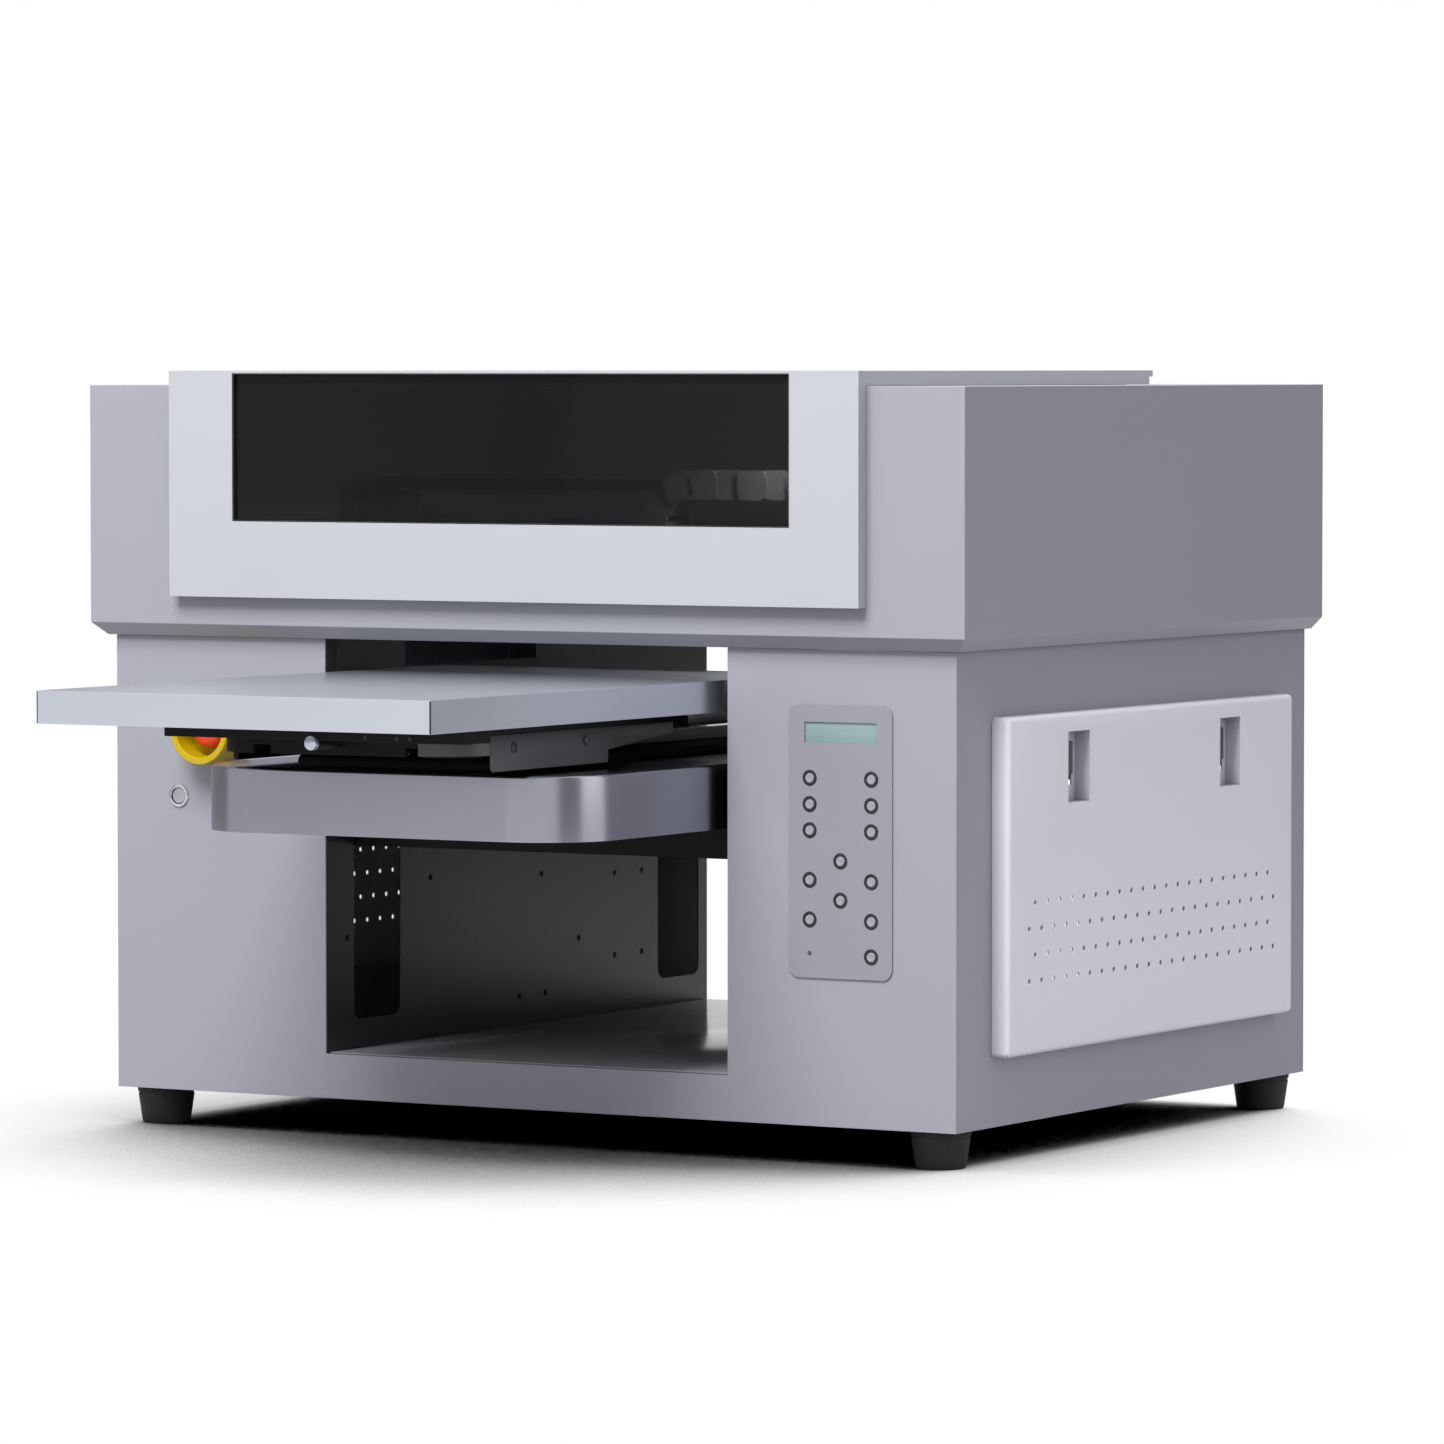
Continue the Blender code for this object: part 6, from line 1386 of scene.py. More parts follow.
    def push_button(self) -> None:
        """Turn the push button: a chromed bezel with a rolled rim, and its flat cap."""
        bezel = [(0.0067, 0.0100), (0.0067, 0.0004), (0.0072, 0), (0.0083, 0.0002), (0.0089, 0.0008),
                 (0.0090, 0.0018), (0.0080, 0.0018), (0.0080, 0.0100), (0.0067, 0.0100)]
        ring = Shape().turned(bezel, self.button, "Y", 56).done("button_bezel")
        self.shop.fit(ring, "casing", Slot.ZINC, CHROME, ("power_button_bezel",))
        cap = [(0, 0.0006), (0.0050, 0.0006), (0.0058, 0.0008), (0.0062, 0.0012), (0.0063, 0.0020), (0.0063, 0.0120),
               (0, 0.0120)]
        button = Shape().turned(cap, self.button, "Y", 48).done("button_cap")
        self.shop.fit(button, "power_cap", Slot.ZINC, SATIN_STEEL, ("power_button_cap",))


@dataclass
class EmergencyStop:
    """The yellow guard ring and the red mushroom head."""

    shop: Workshop
    x: float = -0.287
    z: float = 0.3206
    front: float = -0.1243
    head_inset: float = 0.008

    def build(self) -> None:
        """Turn the guard and the head."""
        start = (self.x, self.front, self.z)
        guard = [(0.0220, 0.0010), (0.0228, 0.0), (0.0270, 0.0), (0.0280, 0.0012), (0.0280, 0.0268), (0.0272, 0.0280),
                 (0.0114, 0.0280), (0.0114, 0.0250), (0.0220, 0.0250), (0.0220, 0.0010)]
        ring = Shape().turned(guard, start, "Y", 72).done("stop_guard")
        self.shop.fit(ring, "casing", Slot.GUARD, YELLOW_PLASTIC, ("estop_guard",))
        head = [(0, 0), (0.0060, 0.0005), (0.0105, 0.0018), (0.0135, 0.0038), (0.0147, 0.0060), (0.0150, 0.0090),
                (0.0147, 0.0102), (0.0142, 0.0105), (0.0108, 0.0105), (0.0108, 0.0340), (0, 0.0340)]
        mushroom = Shape().turned(head, (self.x, self.front + self.head_inset, self.z), "Y", 56).done("stop_head", 60)
        self.shop.fit(mushroom, "stop_head", Slot.STOP, RED_PLASTIC, ("estop_head",))


@dataclass
class Tunnel:
    """The folded liner, the sheet on its floor, whose pale grey is a painted reflection, and the screws in its walls.
    """

    shop: Workshop
    half: float = 0.1847
    floor: float = 0.0648
    front: float = -0.0939
    rear: float = 0.4985
    side_gap: float = 0.0015
    end_gap: float = 0.002
    sheet: float = 0.0012
    wall_screws: Places = field(default_factory=lambda: [
        (0.059, 0.196), (0.230, 0.189), (0.289, 0.132), (0.347, 0.183), (0.3915, 0.183), (0.347, 0.114),
        (0.3915, 0.114), (0.195, 0.090), (0.2355, 0.090), (-0.0645, 0.155)])

    def build(self) -> None:
        """Build the liner, its floor sheet and its screws."""
        self.shop.dressed("tunnel_liner", "liner_sheet", "casing", Slot.TUNNEL, TUNNEL, Edge.PLATE)
        self.floor_sheet()
        self.screws()

    def floor_sheet(self) -> None:
        """Lay a thin gloss sheet on the liner's floor; its pale grey is a painted reflection of the glancing light on
        that floor.
        """
        sheet = Shape().block((-self.half + self.side_gap, self.front + self.end_gap, self.floor),
                              (self.half - self.side_gap, self.rear - self.end_gap, self.floor + self.sheet),
                              Edge.SHEET)
        self.shop.fit(sheet.done("floor_sheet"), "casing", Slot.TUNNEL, TUNNEL_FLOOR_PAINTED_SHEEN)

    def screws(self) -> None:
        """Set small dark screws in both walls."""
        shape = Shape()
        for side in (Side.LEFT, Side.RIGHT):
            sign = side.value
            profile = [(0, 0.0009 * -sign), (0.0012, 0.0008 * -sign), (0.0024, 0.0004 * -sign), (0.0026, 0), (0, 0)]
            for y, z in self.wall_screws:
                shape.turned(profile, (sign * self.half, y, z), "X", 18)
        self.shop.fit(shape.done("wall_screws"), "casing", Slot.TUNNEL, BLACK_COAT)


@dataclass
class Bed:
    """The lifting bed: its frame, its tray, the deck and the rails."""

    shop: Workshop
    half: float = 0.176
    front: float = -0.311
    length: float = 0.800
    top: float = 0.3042
    height: float = 0.0502
    corner: float = 0.060
    wall: float = 0.002
    rail_x: float = 0.068
    rail_top: float = 0.3248
    deck_top: float = 0.3145
    deck_screw_x: float = 0.040
    rail_row: Row = Row(0.0030, 0.066, 0.060, 12)
    deck_row: Row = Row(0.0028, 0.050, 0.165, 5)
    rim: float = 0.0025
    rim_steps: int = 4
    corner_steps: int = 24
    belt_ends: tuple[float, float] = (-0.262, 0.452)
    belt_radius: float = 0.006
    belt_sheet: float = 0.0008
    belt_width: float = 0.0022
    belt_lift: float = 0.0006
    pulley_drop: float = 0.0003
    spindle: tuple[float, float] = (0.215, 0.300)
    thread_pitch: float = 0.003
    thread_start: float = 0.013
    thread_spare: float = 0.020

    def build(self) -> None:
        """Build the bed's pieces and the posts and screws that carry it."""
        self.tray()
        self.fasteners()
        self.feed_belt()
        self.shop.dressed("bed_deck", "deck_plate", "bed", Slot.COAT, BLACK_COAT, Edge.SHEET)
        self.shop.dressed("feed_rails", "rail_pair", "bed", Slot.ZINC, STEEL, Edge.PART)
        self.shop.dressed("lift_frame", "lift_beams", "bed", Slot.COAT, BLACK_COAT, Edge.BLOCK)
        self.shop.dressed("guide_rod_frame", "rod_frame", "casing", Slot.ZINC, STEEL, Edge.SHEET)
        for side in Side:
            self.lift_spindle(side)

    def fasteners(self) -> None:
        """Set the rails' screws along their tops, and the deck's screws between them."""
        shape = Shape()
        for half, row, top in ((self.rail_x, self.rail_row, self.rail_top),
                               (self.deck_screw_x, self.deck_row, self.deck_top)):
            for x in (-half, half):
                for y in row.places(self.front):
                    shape.turned(pan_head(row.size), (x, y, top), "Z", 18)
        self.shop.fit(shape.done("rail_screws"), "bed", Slot.ZINC, ZINC)

    def feed_belt(self) -> None:
        """Lay the toothed belt that feeds the table, flat between its two pulleys."""
        first, last = self.belt_ends
        low, radius, thick = self.deck_top + self.belt_lift, self.belt_radius, self.belt_sheet
        outer = rounded(-radius - thick, radius + thick, first - radius - thick, last + radius + thick, radius, 10)
        inner = rounded(-radius, radius, first - radius, last + radius, radius - thick, 10)
        belt = Shape().ring(outer, inner, low, low + self.belt_width).done("feed_belt")
        self.shop.fit(belt, "bed", Slot.BLACK, BELT_RUBBER)
        pulleys = Shape()
        hub = [(0, 0), (0.0054, 0), (0.0054, 0.0022), (0.0030, 0.0024), (0, 0.0024)]
        for y in self.belt_ends:
            pulleys.turned(hub, (0, y, low - self.pulley_drop), "Z", 28)
        self.shop.fit(pulleys.done("belt_pulleys"), "bed", Slot.ZINC, ALUMINIUM)

    def lift_spindle(self, side: Side) -> None:
        """Turn one threaded lifting spindle with its collar.

        Args:
            side: the side that it stands on.
        """
        label = side.name.lower()
        x, y = side.value * self.spindle[0], self.spindle[1]
        low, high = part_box(f"lift_screw_{label}")
        length = high[2] - low[2]
        profile = [(0, 0), (0.0104, 0), (0.0110, 0.0006), (0.0110, 0.0114), (0.0104, 0.0120), (0.0058, 0.0120)]
        for step in range(int((length - self.thread_spare) / self.thread_pitch)):
            start = self.thread_start + step * self.thread_pitch
            profile += [(0.0060, start), (0.0060, start + 0.0012), (0.0051, start + 0.0017), (0.0051, start + 0.0025)]
        profile += [(0.0055, length - 0.004), (0.0055, length), (0, length)]
        spindle = Shape().turned(profile, (x, y, low[2]), "Z", 24).done(f"{label}_lift_spindle")
        self.shop.fit(spindle, f"{label}_screw", Slot.ZINC, STEEL, (f"lift_screw_{label}",))

    def tray(self) -> None:
        """Press the tray: an upturned pan with round corners and a rolled upper rim."""
        rear = self.front + self.length
        rim = self.rim
        levels = [(0.0, self.top - self.height), (0.0, self.top - rim)]
        for step in range(1, self.rim_steps + 1):
            angle = math.pi / 2 * step / self.rim_steps
            levels.append((rim * (1 - math.cos(angle)), self.top - rim + rim * math.sin(angle)))
        shape = Shape()
        rings: list[list[bmesh.types.BMVert]] = []
        for inset, z in levels:
            outline = rounded(-self.half + inset, self.half - inset, self.front + inset, rear - inset,
                              self.corner - inset, self.corner_steps)
            rings.append([shape.bm.verts.new((x, y, z)) for x, y in outline])
        wall = self.wall
        inner = rounded(-self.half + wall, self.half - wall, self.front + wall, rear - wall, self.corner - wall,
                        self.corner_steps)
        under = [[shape.bm.verts.new((x, y, z)) for x, y in inner]
                 for z in (self.top - wall, self.top - self.height)]
        for first, second in zip(rings, rings[1:]):
            shape.bridge(first, second)
        shape.bm.faces.new(rings[-1])
        shape.bm.faces.new(under[0])
        shape.bridge(under[0], under[1])
        shape.bridge(under[1], rings[0])
        tray = shape.done("tray_pan", 40)
        self.shop.fit(tray, "bed", Slot.BED, BED_METAL, ("bed_tray",))


@dataclass
class PrintTable:
    """The print table, its saddle, and the plates and screws on the saddle."""

    shop: Workshop
    half: float = 0.17405
    front: float = -0.503
    low: float = 0.3438
    high: float = 0.3687
    seam: float = 0.0010
    seam_insets: tuple[float, float] = (0.0003, 0.0006)
    saddle_half: float = 0.134
    saddle_front: float = -0.394
    sheet: float = 0.0008
    wing_low: float = 0.309
    wing_high: float = 0.3360
    wing_fronts: tuple[float, float] = (-0.3585, -0.300)
    wing_corner: float = 0.004
    wing_step: float = -0.1908
    wing_rear: float = -0.094
    wing_rises: tuple[float, float] = (0.319, 0.328)
    gap: float = 0.0001
    cheek_low: float = 0.3214
    cheek_corner: float = 0.040
    cheek_tail: float = 0.004
    saddle_bottom: float = 0.3308
    knob_radius: float = 0.0055
    knob_out: float = 0.0040
    knob_z: float = 0.329
    socket_place: tuple[float, float] = (-0.326, 0.3263)
    screw_place: tuple[float, float] = (-0.222, 0.3275)
    screw_size: float = 0.0044
    front_screw: float = 0.0018
    front_screws: tuple[float, ...] = (0.047, 0.075, 0.0865)
    front_screw_z: float = 0.3345
    clamp_half: float = 0.009
    clamp_ends: tuple[float, float] = (-0.215, -0.185)
    clamp_low: float = 0.3181

    def build(self) -> None:
        """Build the table's plate, its saddle and what is on them."""
        self.shop.dressed("table_plate", "table_top", "table", Slot.TABLE, TABLE_METAL, Edge.PLATE)
        self.shop.dressed("table_saddle", "saddle", "table", Slot.COAT, BLACK_COAT, Edge.PART)
        self.corner_seams()
        self.knob()
        for side, front in zip(Side, self.wing_fronts):
            self.wing_plate(side, front)
        self.cheek()
        self.bosses()
        self.belt_clamp()

    def corner_seams(self) -> None:
        """Set the dark strips in the table's two front corners."""
        shape = Shape()
        under, over = self.seam_insets
        for side in Side:
            x_low, x_high = side.span(self.half - self.seam, self.half + self.gap)
            shape.block((x_low, self.front - self.gap, self.low + under),
                        (x_high, self.front + self.seam, self.high - over), Edge.FILM)
        self.shop.fit(shape.done("corner_seams"), "table", Slot.BLACK, BLACK_PLASTIC)

    def knob(self) -> None:
        """Turn the small bright knob at the middle of the saddle's front."""
        radius = self.knob_radius
        profile = [(0, 0), (radius * 0.75, 0.0001), (radius * 0.94, 0.0007), (radius, 0.0018), (radius, 0.0046),
                   (radius * 0.85, 0.0052), (radius * 0.85, 0.0240), (0, 0.0240)]
        place = (0, self.saddle_front - self.knob_out, self.knob_z)
        self.shop.fit(Shape().turned(profile, place, "Y", 40).done("saddle_knob"), "table", Slot.TABLE, TABLE_METAL)

    def wing_plate(self, side: Side, front: float) -> None:
        """Cover one wing's outer face with its own thin plate, its lower front corner rounded; its lighter copy of the
        black coat is painted light on the side face.

        Args:
            side: the side of the saddle.
            front: where the plate starts along Y.
        """
        radius, step_y, rear = self.wing_corner, self.wing_step, self.wing_rear
        round_corner = [(front + radius * (1 - math.cos(turn)), self.wing_low + radius * (1 - math.sin(turn)))
                        for turn in (math.pi / 2 * step / 5 for step in range(6))]
        outline = [(front, self.wing_high), *round_corner, (step_y, self.wing_low), (step_y, self.wing_rises[0]),
                   (rear, self.wing_rises[1]), (rear, self.wing_high)]
        inner = self.saddle_half + self.gap
        x_low, x_high = side.span(inner, inner + self.sheet)
        plate = Shape().plate(outline, "X", x_low, x_high, Edge.FILM).done(f"{side.name.lower()}_wing_plate")
        self.shop.fit(plate, "table", Slot.COAT, WING_COAT_PAINTED_LIGHT)

    def cheek(self) -> None:
        """Bend the narrow cheek round the saddle's right front corner, under its sheet; its lighter copy of the black
        coat carries the painted light round that corner.
        """
        outer = self.saddle_half + self.sheet
        centre_x, centre_y = self.saddle_half - self.cheek_corner, self.saddle_front + self.cheek_corner
        turns = [math.pi / 2 * step / 12 for step in range(13)]
        radius = self.cheek_corner + self.sheet
        front = [(centre_x + radius * math.cos(turn), centre_y - radius * math.sin(turn)) for turn in turns]
        back = [(centre_x + (radius - self.sheet) * math.cos(turn), centre_y - (radius - self.sheet) * math.sin(turn))
                for turn in reversed(turns)]
        tail = centre_y + self.cheek_tail
        outline = [(outer, tail), *front, *back, (outer - self.sheet, tail)]
        cheek = Shape().plate(outline, "Z", self.cheek_low, self.saddle_bottom).done("corner_cheek")
        self.shop.fit(cheek, "table", Slot.COAT, WING_COAT_PAINTED_LIGHT)

    def bosses(self) -> None:
        """Set the bosses on the right wing and the small screws on the saddle's front."""
        face = self.saddle_half + self.sheet + self.gap
        dark = Shape().turned([(0, 0), (0.0042, 0), (0.0042, 0.0005), (0.0036, 0.0009), (0, 0.0009)],
                              (face, *self.socket_place), "X", 28)
        self.shop.fit(dark.done("wing_socket"), "table", Slot.BLACK, BLACK_PLASTIC)
        light = Shape().turned(pan_head(self.screw_size), (face, *self.screw_place), "X", 28)
        self.shop.fit(light.done("wing_screw"), "table", Slot.BLACK, LATCH_PLASTIC)
        small = Shape()
        for x in self.front_screws:
            small.turned(pan_head(self.front_screw, -1), (x, self.saddle_front, self.front_screw_z), "Y", 18)
        self.shop.fit(small.done("saddle_screws"), "table", Slot.BLACK, BLACK_PLASTIC)

    def belt_clamp(self) -> None:
        """Hang the clamp that holds the saddle to the feed belt."""
        first, last = self.clamp_ends
        clamp = Shape().block((-self.clamp_half, first, self.clamp_low), (self.clamp_half, last, self.saddle_bottom),
                              Edge.PART)
        self.shop.fit(clamp.done("belt_clamp"), "table", Slot.ZINC, ALUMINIUM)


@dataclass
class CableChain:
    """The carriage's cable chain, link by link, in its upper run, its bend and its lower run."""

    shop: Workshop
    front: float = 0.022
    rear: float = 0.058
    height: float = 0.0235
    side: float = 0.0022
    bar: float = 0.0020
    arm_x: float = 0.352
    bend_x: float = 0.081
    anchor_x: float = 0.390
    upper_z: float = 0.5165
    lower_z: float = 0.4495
    bend_z: float = 0.483
    bend_radius: float = 0.0335
    upper_links: int = 12
    lower_links: int = 14
    bend_links: int = 5
    kept_share: float = 0.096
    overlap: float = 0.002
    play: float = 0.0003
    bar_inset: float = 0.0004
    bar_half: float = 0.0045
    pin: float = 0.0028
    pin_height: float = 0.0002
    pin_sides: int = 12

    def build(self) -> None:
        """Build the three stretches, and tie the upper run and the bend to what moves them; the lower run is tied to no
        body.
        """
        upper = self.run("chain_upper_links", self.bend_x, self.arm_x, self.upper_z, self.upper_links)
        self.shop.fit(upper, "head_carriage", Slot.BLACK, CHAIN_PLASTIC, ("drag_chain_upper",))
        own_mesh(upper)
        lower = self.run("chain_lower_links", self.bend_x, self.anchor_x, self.lower_z, self.lower_links)
        self.shop.coat(lower, Slot.BLACK, CHAIN_PLASTIC, ("drag_chain_lower",))
        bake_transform(lower)
        self.shop.fit(self.bend(), "chain_bend", Slot.BLACK, CHAIN_PLASTIC, ("drag_chain_bend",))

    def link(self, shape: Shape, x: float, z: float, turn: float, pitch: float, inner: bool) -> None:
        """Add one link: two side plates, two crossbars and its pins.

        Args:
            shape: the mesh that takes it.
            x: its centre along X.
            z: its centre along Z.
            turn: its angle about Y.
            pitch: its length from pin to pin.
            inner: whether its side plates lie inside its neighbours'.
        """
        def laid(points: Places) -> Places:
            """Turn an outline by the link's angle and put it in place."""
            return [(x + u * math.cos(turn) - v * math.sin(turn), z + u * math.sin(turn) + v * math.cos(turn))
                    for u, v in points]
        half, tall = pitch / 2 + self.overlap, self.height / 2
        inset = self.side + self.play if inner else 0.0
        plate = laid(rounded(-half, half, -tall, tall, half * 0.55, 5))
        for low in (self.front + inset, self.rear - inset - self.side):
            shape.plate(plate, "Y", low, low + self.side)
        for v in (-tall + self.bar_inset, tall - self.bar_inset - self.bar):
            bar = laid([(-self.bar_half, v), (self.bar_half, v), (self.bar_half, v + self.bar),
                        (-self.bar_half, v + self.bar)])
            shape.plate(bar, "Y", self.front + inset + self.side, self.rear - inset - self.side)
        pin = laid([(-pitch / 2, 0.0)])[0]
        turns = [math.tau * step / self.pin_sides for step in range(self.pin_sides)]
        outline = [(pin[0] + self.pin * math.cos(angle), pin[1] + self.pin * math.sin(angle)) for angle in turns]
        shape.plate(outline, "Y", self.front - self.pin_height, self.front)
        shape.plate(outline, "Y", self.rear, self.rear + self.pin_height)

    def run(self, name: str, start: float, end: float, z: float, count: int) -> bpy.types.Object:
        """Return a straight run of links.

        Args:
            name: the piece's name.
            start: where the run starts along X.
            end: where it ends.
            z: the height of its middle.
            count: how many links it has.

        Returns:
            The run as one piece.
        """
        shape = Shape()
        pitch = (end - start) / count
        for number in range(count):
            self.link(shape, start + (number + 0.5) * pitch, z, 0.0, pitch, number % 2 == 1)
        return shape.done(name)

    def bend(self) -> bpy.types.Object:
        """Return the links of the bend.

        Returns:
            The bend as one piece.
        """
        shape = Shape()
        pitch = math.pi * self.bend_radius / self.bend_links
        for number in range(self.bend_links):
            turn = math.pi / 2 + math.pi * (number + 0.5) / self.bend_links
            self.link(shape, self.bend_x + self.bend_radius * math.cos(turn),
                      self.bend_z + self.bend_radius * math.sin(turn), turn + math.pi / 2, pitch, number % 2 == 1)
        return shape.done("chain_bend_links")


@dataclass
class PrintUnit:
    """The gantry, the print carriage, the chain and the capping station."""

    shop: Workshop
    belt_y: float = 0.262
    belt_ends: tuple[float, float] = (-0.357, 0.357)
    belt_z: tuple[float, float] = (0.5072, 0.5160)
    belt_faces: tuple[float, float] = (0.0018, 0.0004)
    pulley: float = 0.010
    flange: float = 0.0012
    beam_top: float = 0.4650
    bracket: tuple[float, float] = (0.4653, 0.4703)
    bracket_reach: tuple[float, float] = (0.018, 0.010)
    bracket_half: float = 0.021
    board_box: Box = ((0.256, 0.0676, 0.402), (0.328, 0.0692, 0.472))
    chip_faces: tuple[float, float] = (0.0652, 0.0675)
    chips: tuple[tuple[float, float, float, float], ...] = (
        (0.262, 0.410, 0.018, 0.018), (0.288, 0.414, 0.012, 0.012), (0.262, 0.442, 0.022, 0.008),
        (0.296, 0.440, 0.024, 0.022))
    grip_boxes: tuple[Box, Box] = (((0.290, 0.203, 0.4803), (0.310, 0.207, 0.5190)),
                                   ((0.290, 0.203, 0.5165), (0.310, 0.2500, 0.5190)))
    shield_box: Box = ((0.2104, 0.0885, 0.3870), (0.2114, 0.1865, 0.4180))
    screw_y: float = 0.240
    screw_row: Row = Row(0.0034, -0.300, 0.060, 11)

    def build(self) -> None:
        """Build what stands inside the hood."""
        self.shop.dressed("gantry_beam", "gantry", "casing", Slot.ZINC, ALUMINIUM, Edge.PART)
        self.shop.dressed("carriage_motor", "drive_motor", "casing", Slot.BLACK, BLACK_PLASTIC, Edge.PART)
        self.shop.dressed("print_carriage", "carriage_cover", "head_carriage", Slot.COAT, BLACK_COAT, Edge.BLOCK)
        self.shop.dressed("print_head", "head_block", "head_carriage", Slot.ZINC, ALUMINIUM, Edge.PART)
        self.shop.dressed("uv_lamp", "lamp_block", "head_carriage", Slot.ZINC, ALUMINIUM, Edge.PART)
        self.shop.dressed("cap_station", "capping_station", "casing", Slot.BLACK, BLACK_PLASTIC, Edge.PART)
        CableChain(self.shop).build()
        self.drive_belt()
        self.carriage_fittings()
        self.gantry_screws()

    def drive_belt(self) -> None:
        """Stretch the carriage's belt from the motor's pulley to the idler on its bracket."""
        first, last = self.belt_ends
        outlines = [rounded(first - radius, last + radius, self.belt_y - radius, self.belt_y + radius, radius, 12)
                    for radius in (self.pulley + face for face in self.belt_faces)]
        belt = Shape().ring(*outlines, *self.belt_z).done("carriage_belt")
        self.shop.fit(belt, "casing", Slot.BLACK, BELT_RUBBER)
        (low, high), (inner, outer), half = self.bracket, self.bracket_reach, self.bracket_half
        idler = Shape().block((last - inner, self.belt_y - half, low), (last + outer, self.belt_y + half, high),
                              Edge.PART)
        flange = self.pulley + self.flange
        idler.turned([(0, 0), (0.006, 0), (0.006, 0.036), (flange, 0.0365), (flange, 0.0372), (self.pulley, 0.0376),
                      (self.pulley, 0.0456), (0.004, 0.0466), (0, 0.0466)],
                     (last, self.belt_y, high), "Z", 32)
        self.shop.fit(idler.done("belt_idler"), "casing", Slot.ZINC, ALUMINIUM)

    def carriage_fittings(self) -> None:
        """Fit the carriage's board, its clamp on the belt and the lamp's amber shield."""
        board = Shape().block(*self.board_box, Edge.FILM)
        self.shop.fit(board.done("carriage_board"), "head_carriage", Slot.BLACK, BOARD)
        chips = Shape()
        front, back = self.chip_faces
        for x, z, width, height in self.chips:
            chips.block((x, front, z), (x + width, back, z + height), Edge.LEAF)
        self.shop.fit(chips.done("carriage_chips"), "head_carriage", Slot.BLACK, BLACK_PLASTIC)
        clamp = Shape()
        for low, high in self.grip_boxes:
            clamp.block(low, high, Edge.PLATE)
        self.shop.fit(clamp.done("belt_grip"), "head_carriage", Slot.ZINC, ALUMINIUM)
        shield = Shape().block(*self.shield_box, Edge.FILM)
        self.shop.fit(shield.done("lamp_shield"), "head_carriage", Slot.GUARD, FILM_AMBER)

    def gantry_screws(self) -> None:
        """Set screws along the gantry's top."""
        shape = Shape()
        for x in self.screw_row.places():
            shape.turned(pan_head(self.screw_row.size), (x, self.screw_y, self.beam_top), "Z", 20)
        self.shop.fit(shape.done("gantry_screws"), "casing", Slot.ZINC, ZINC)


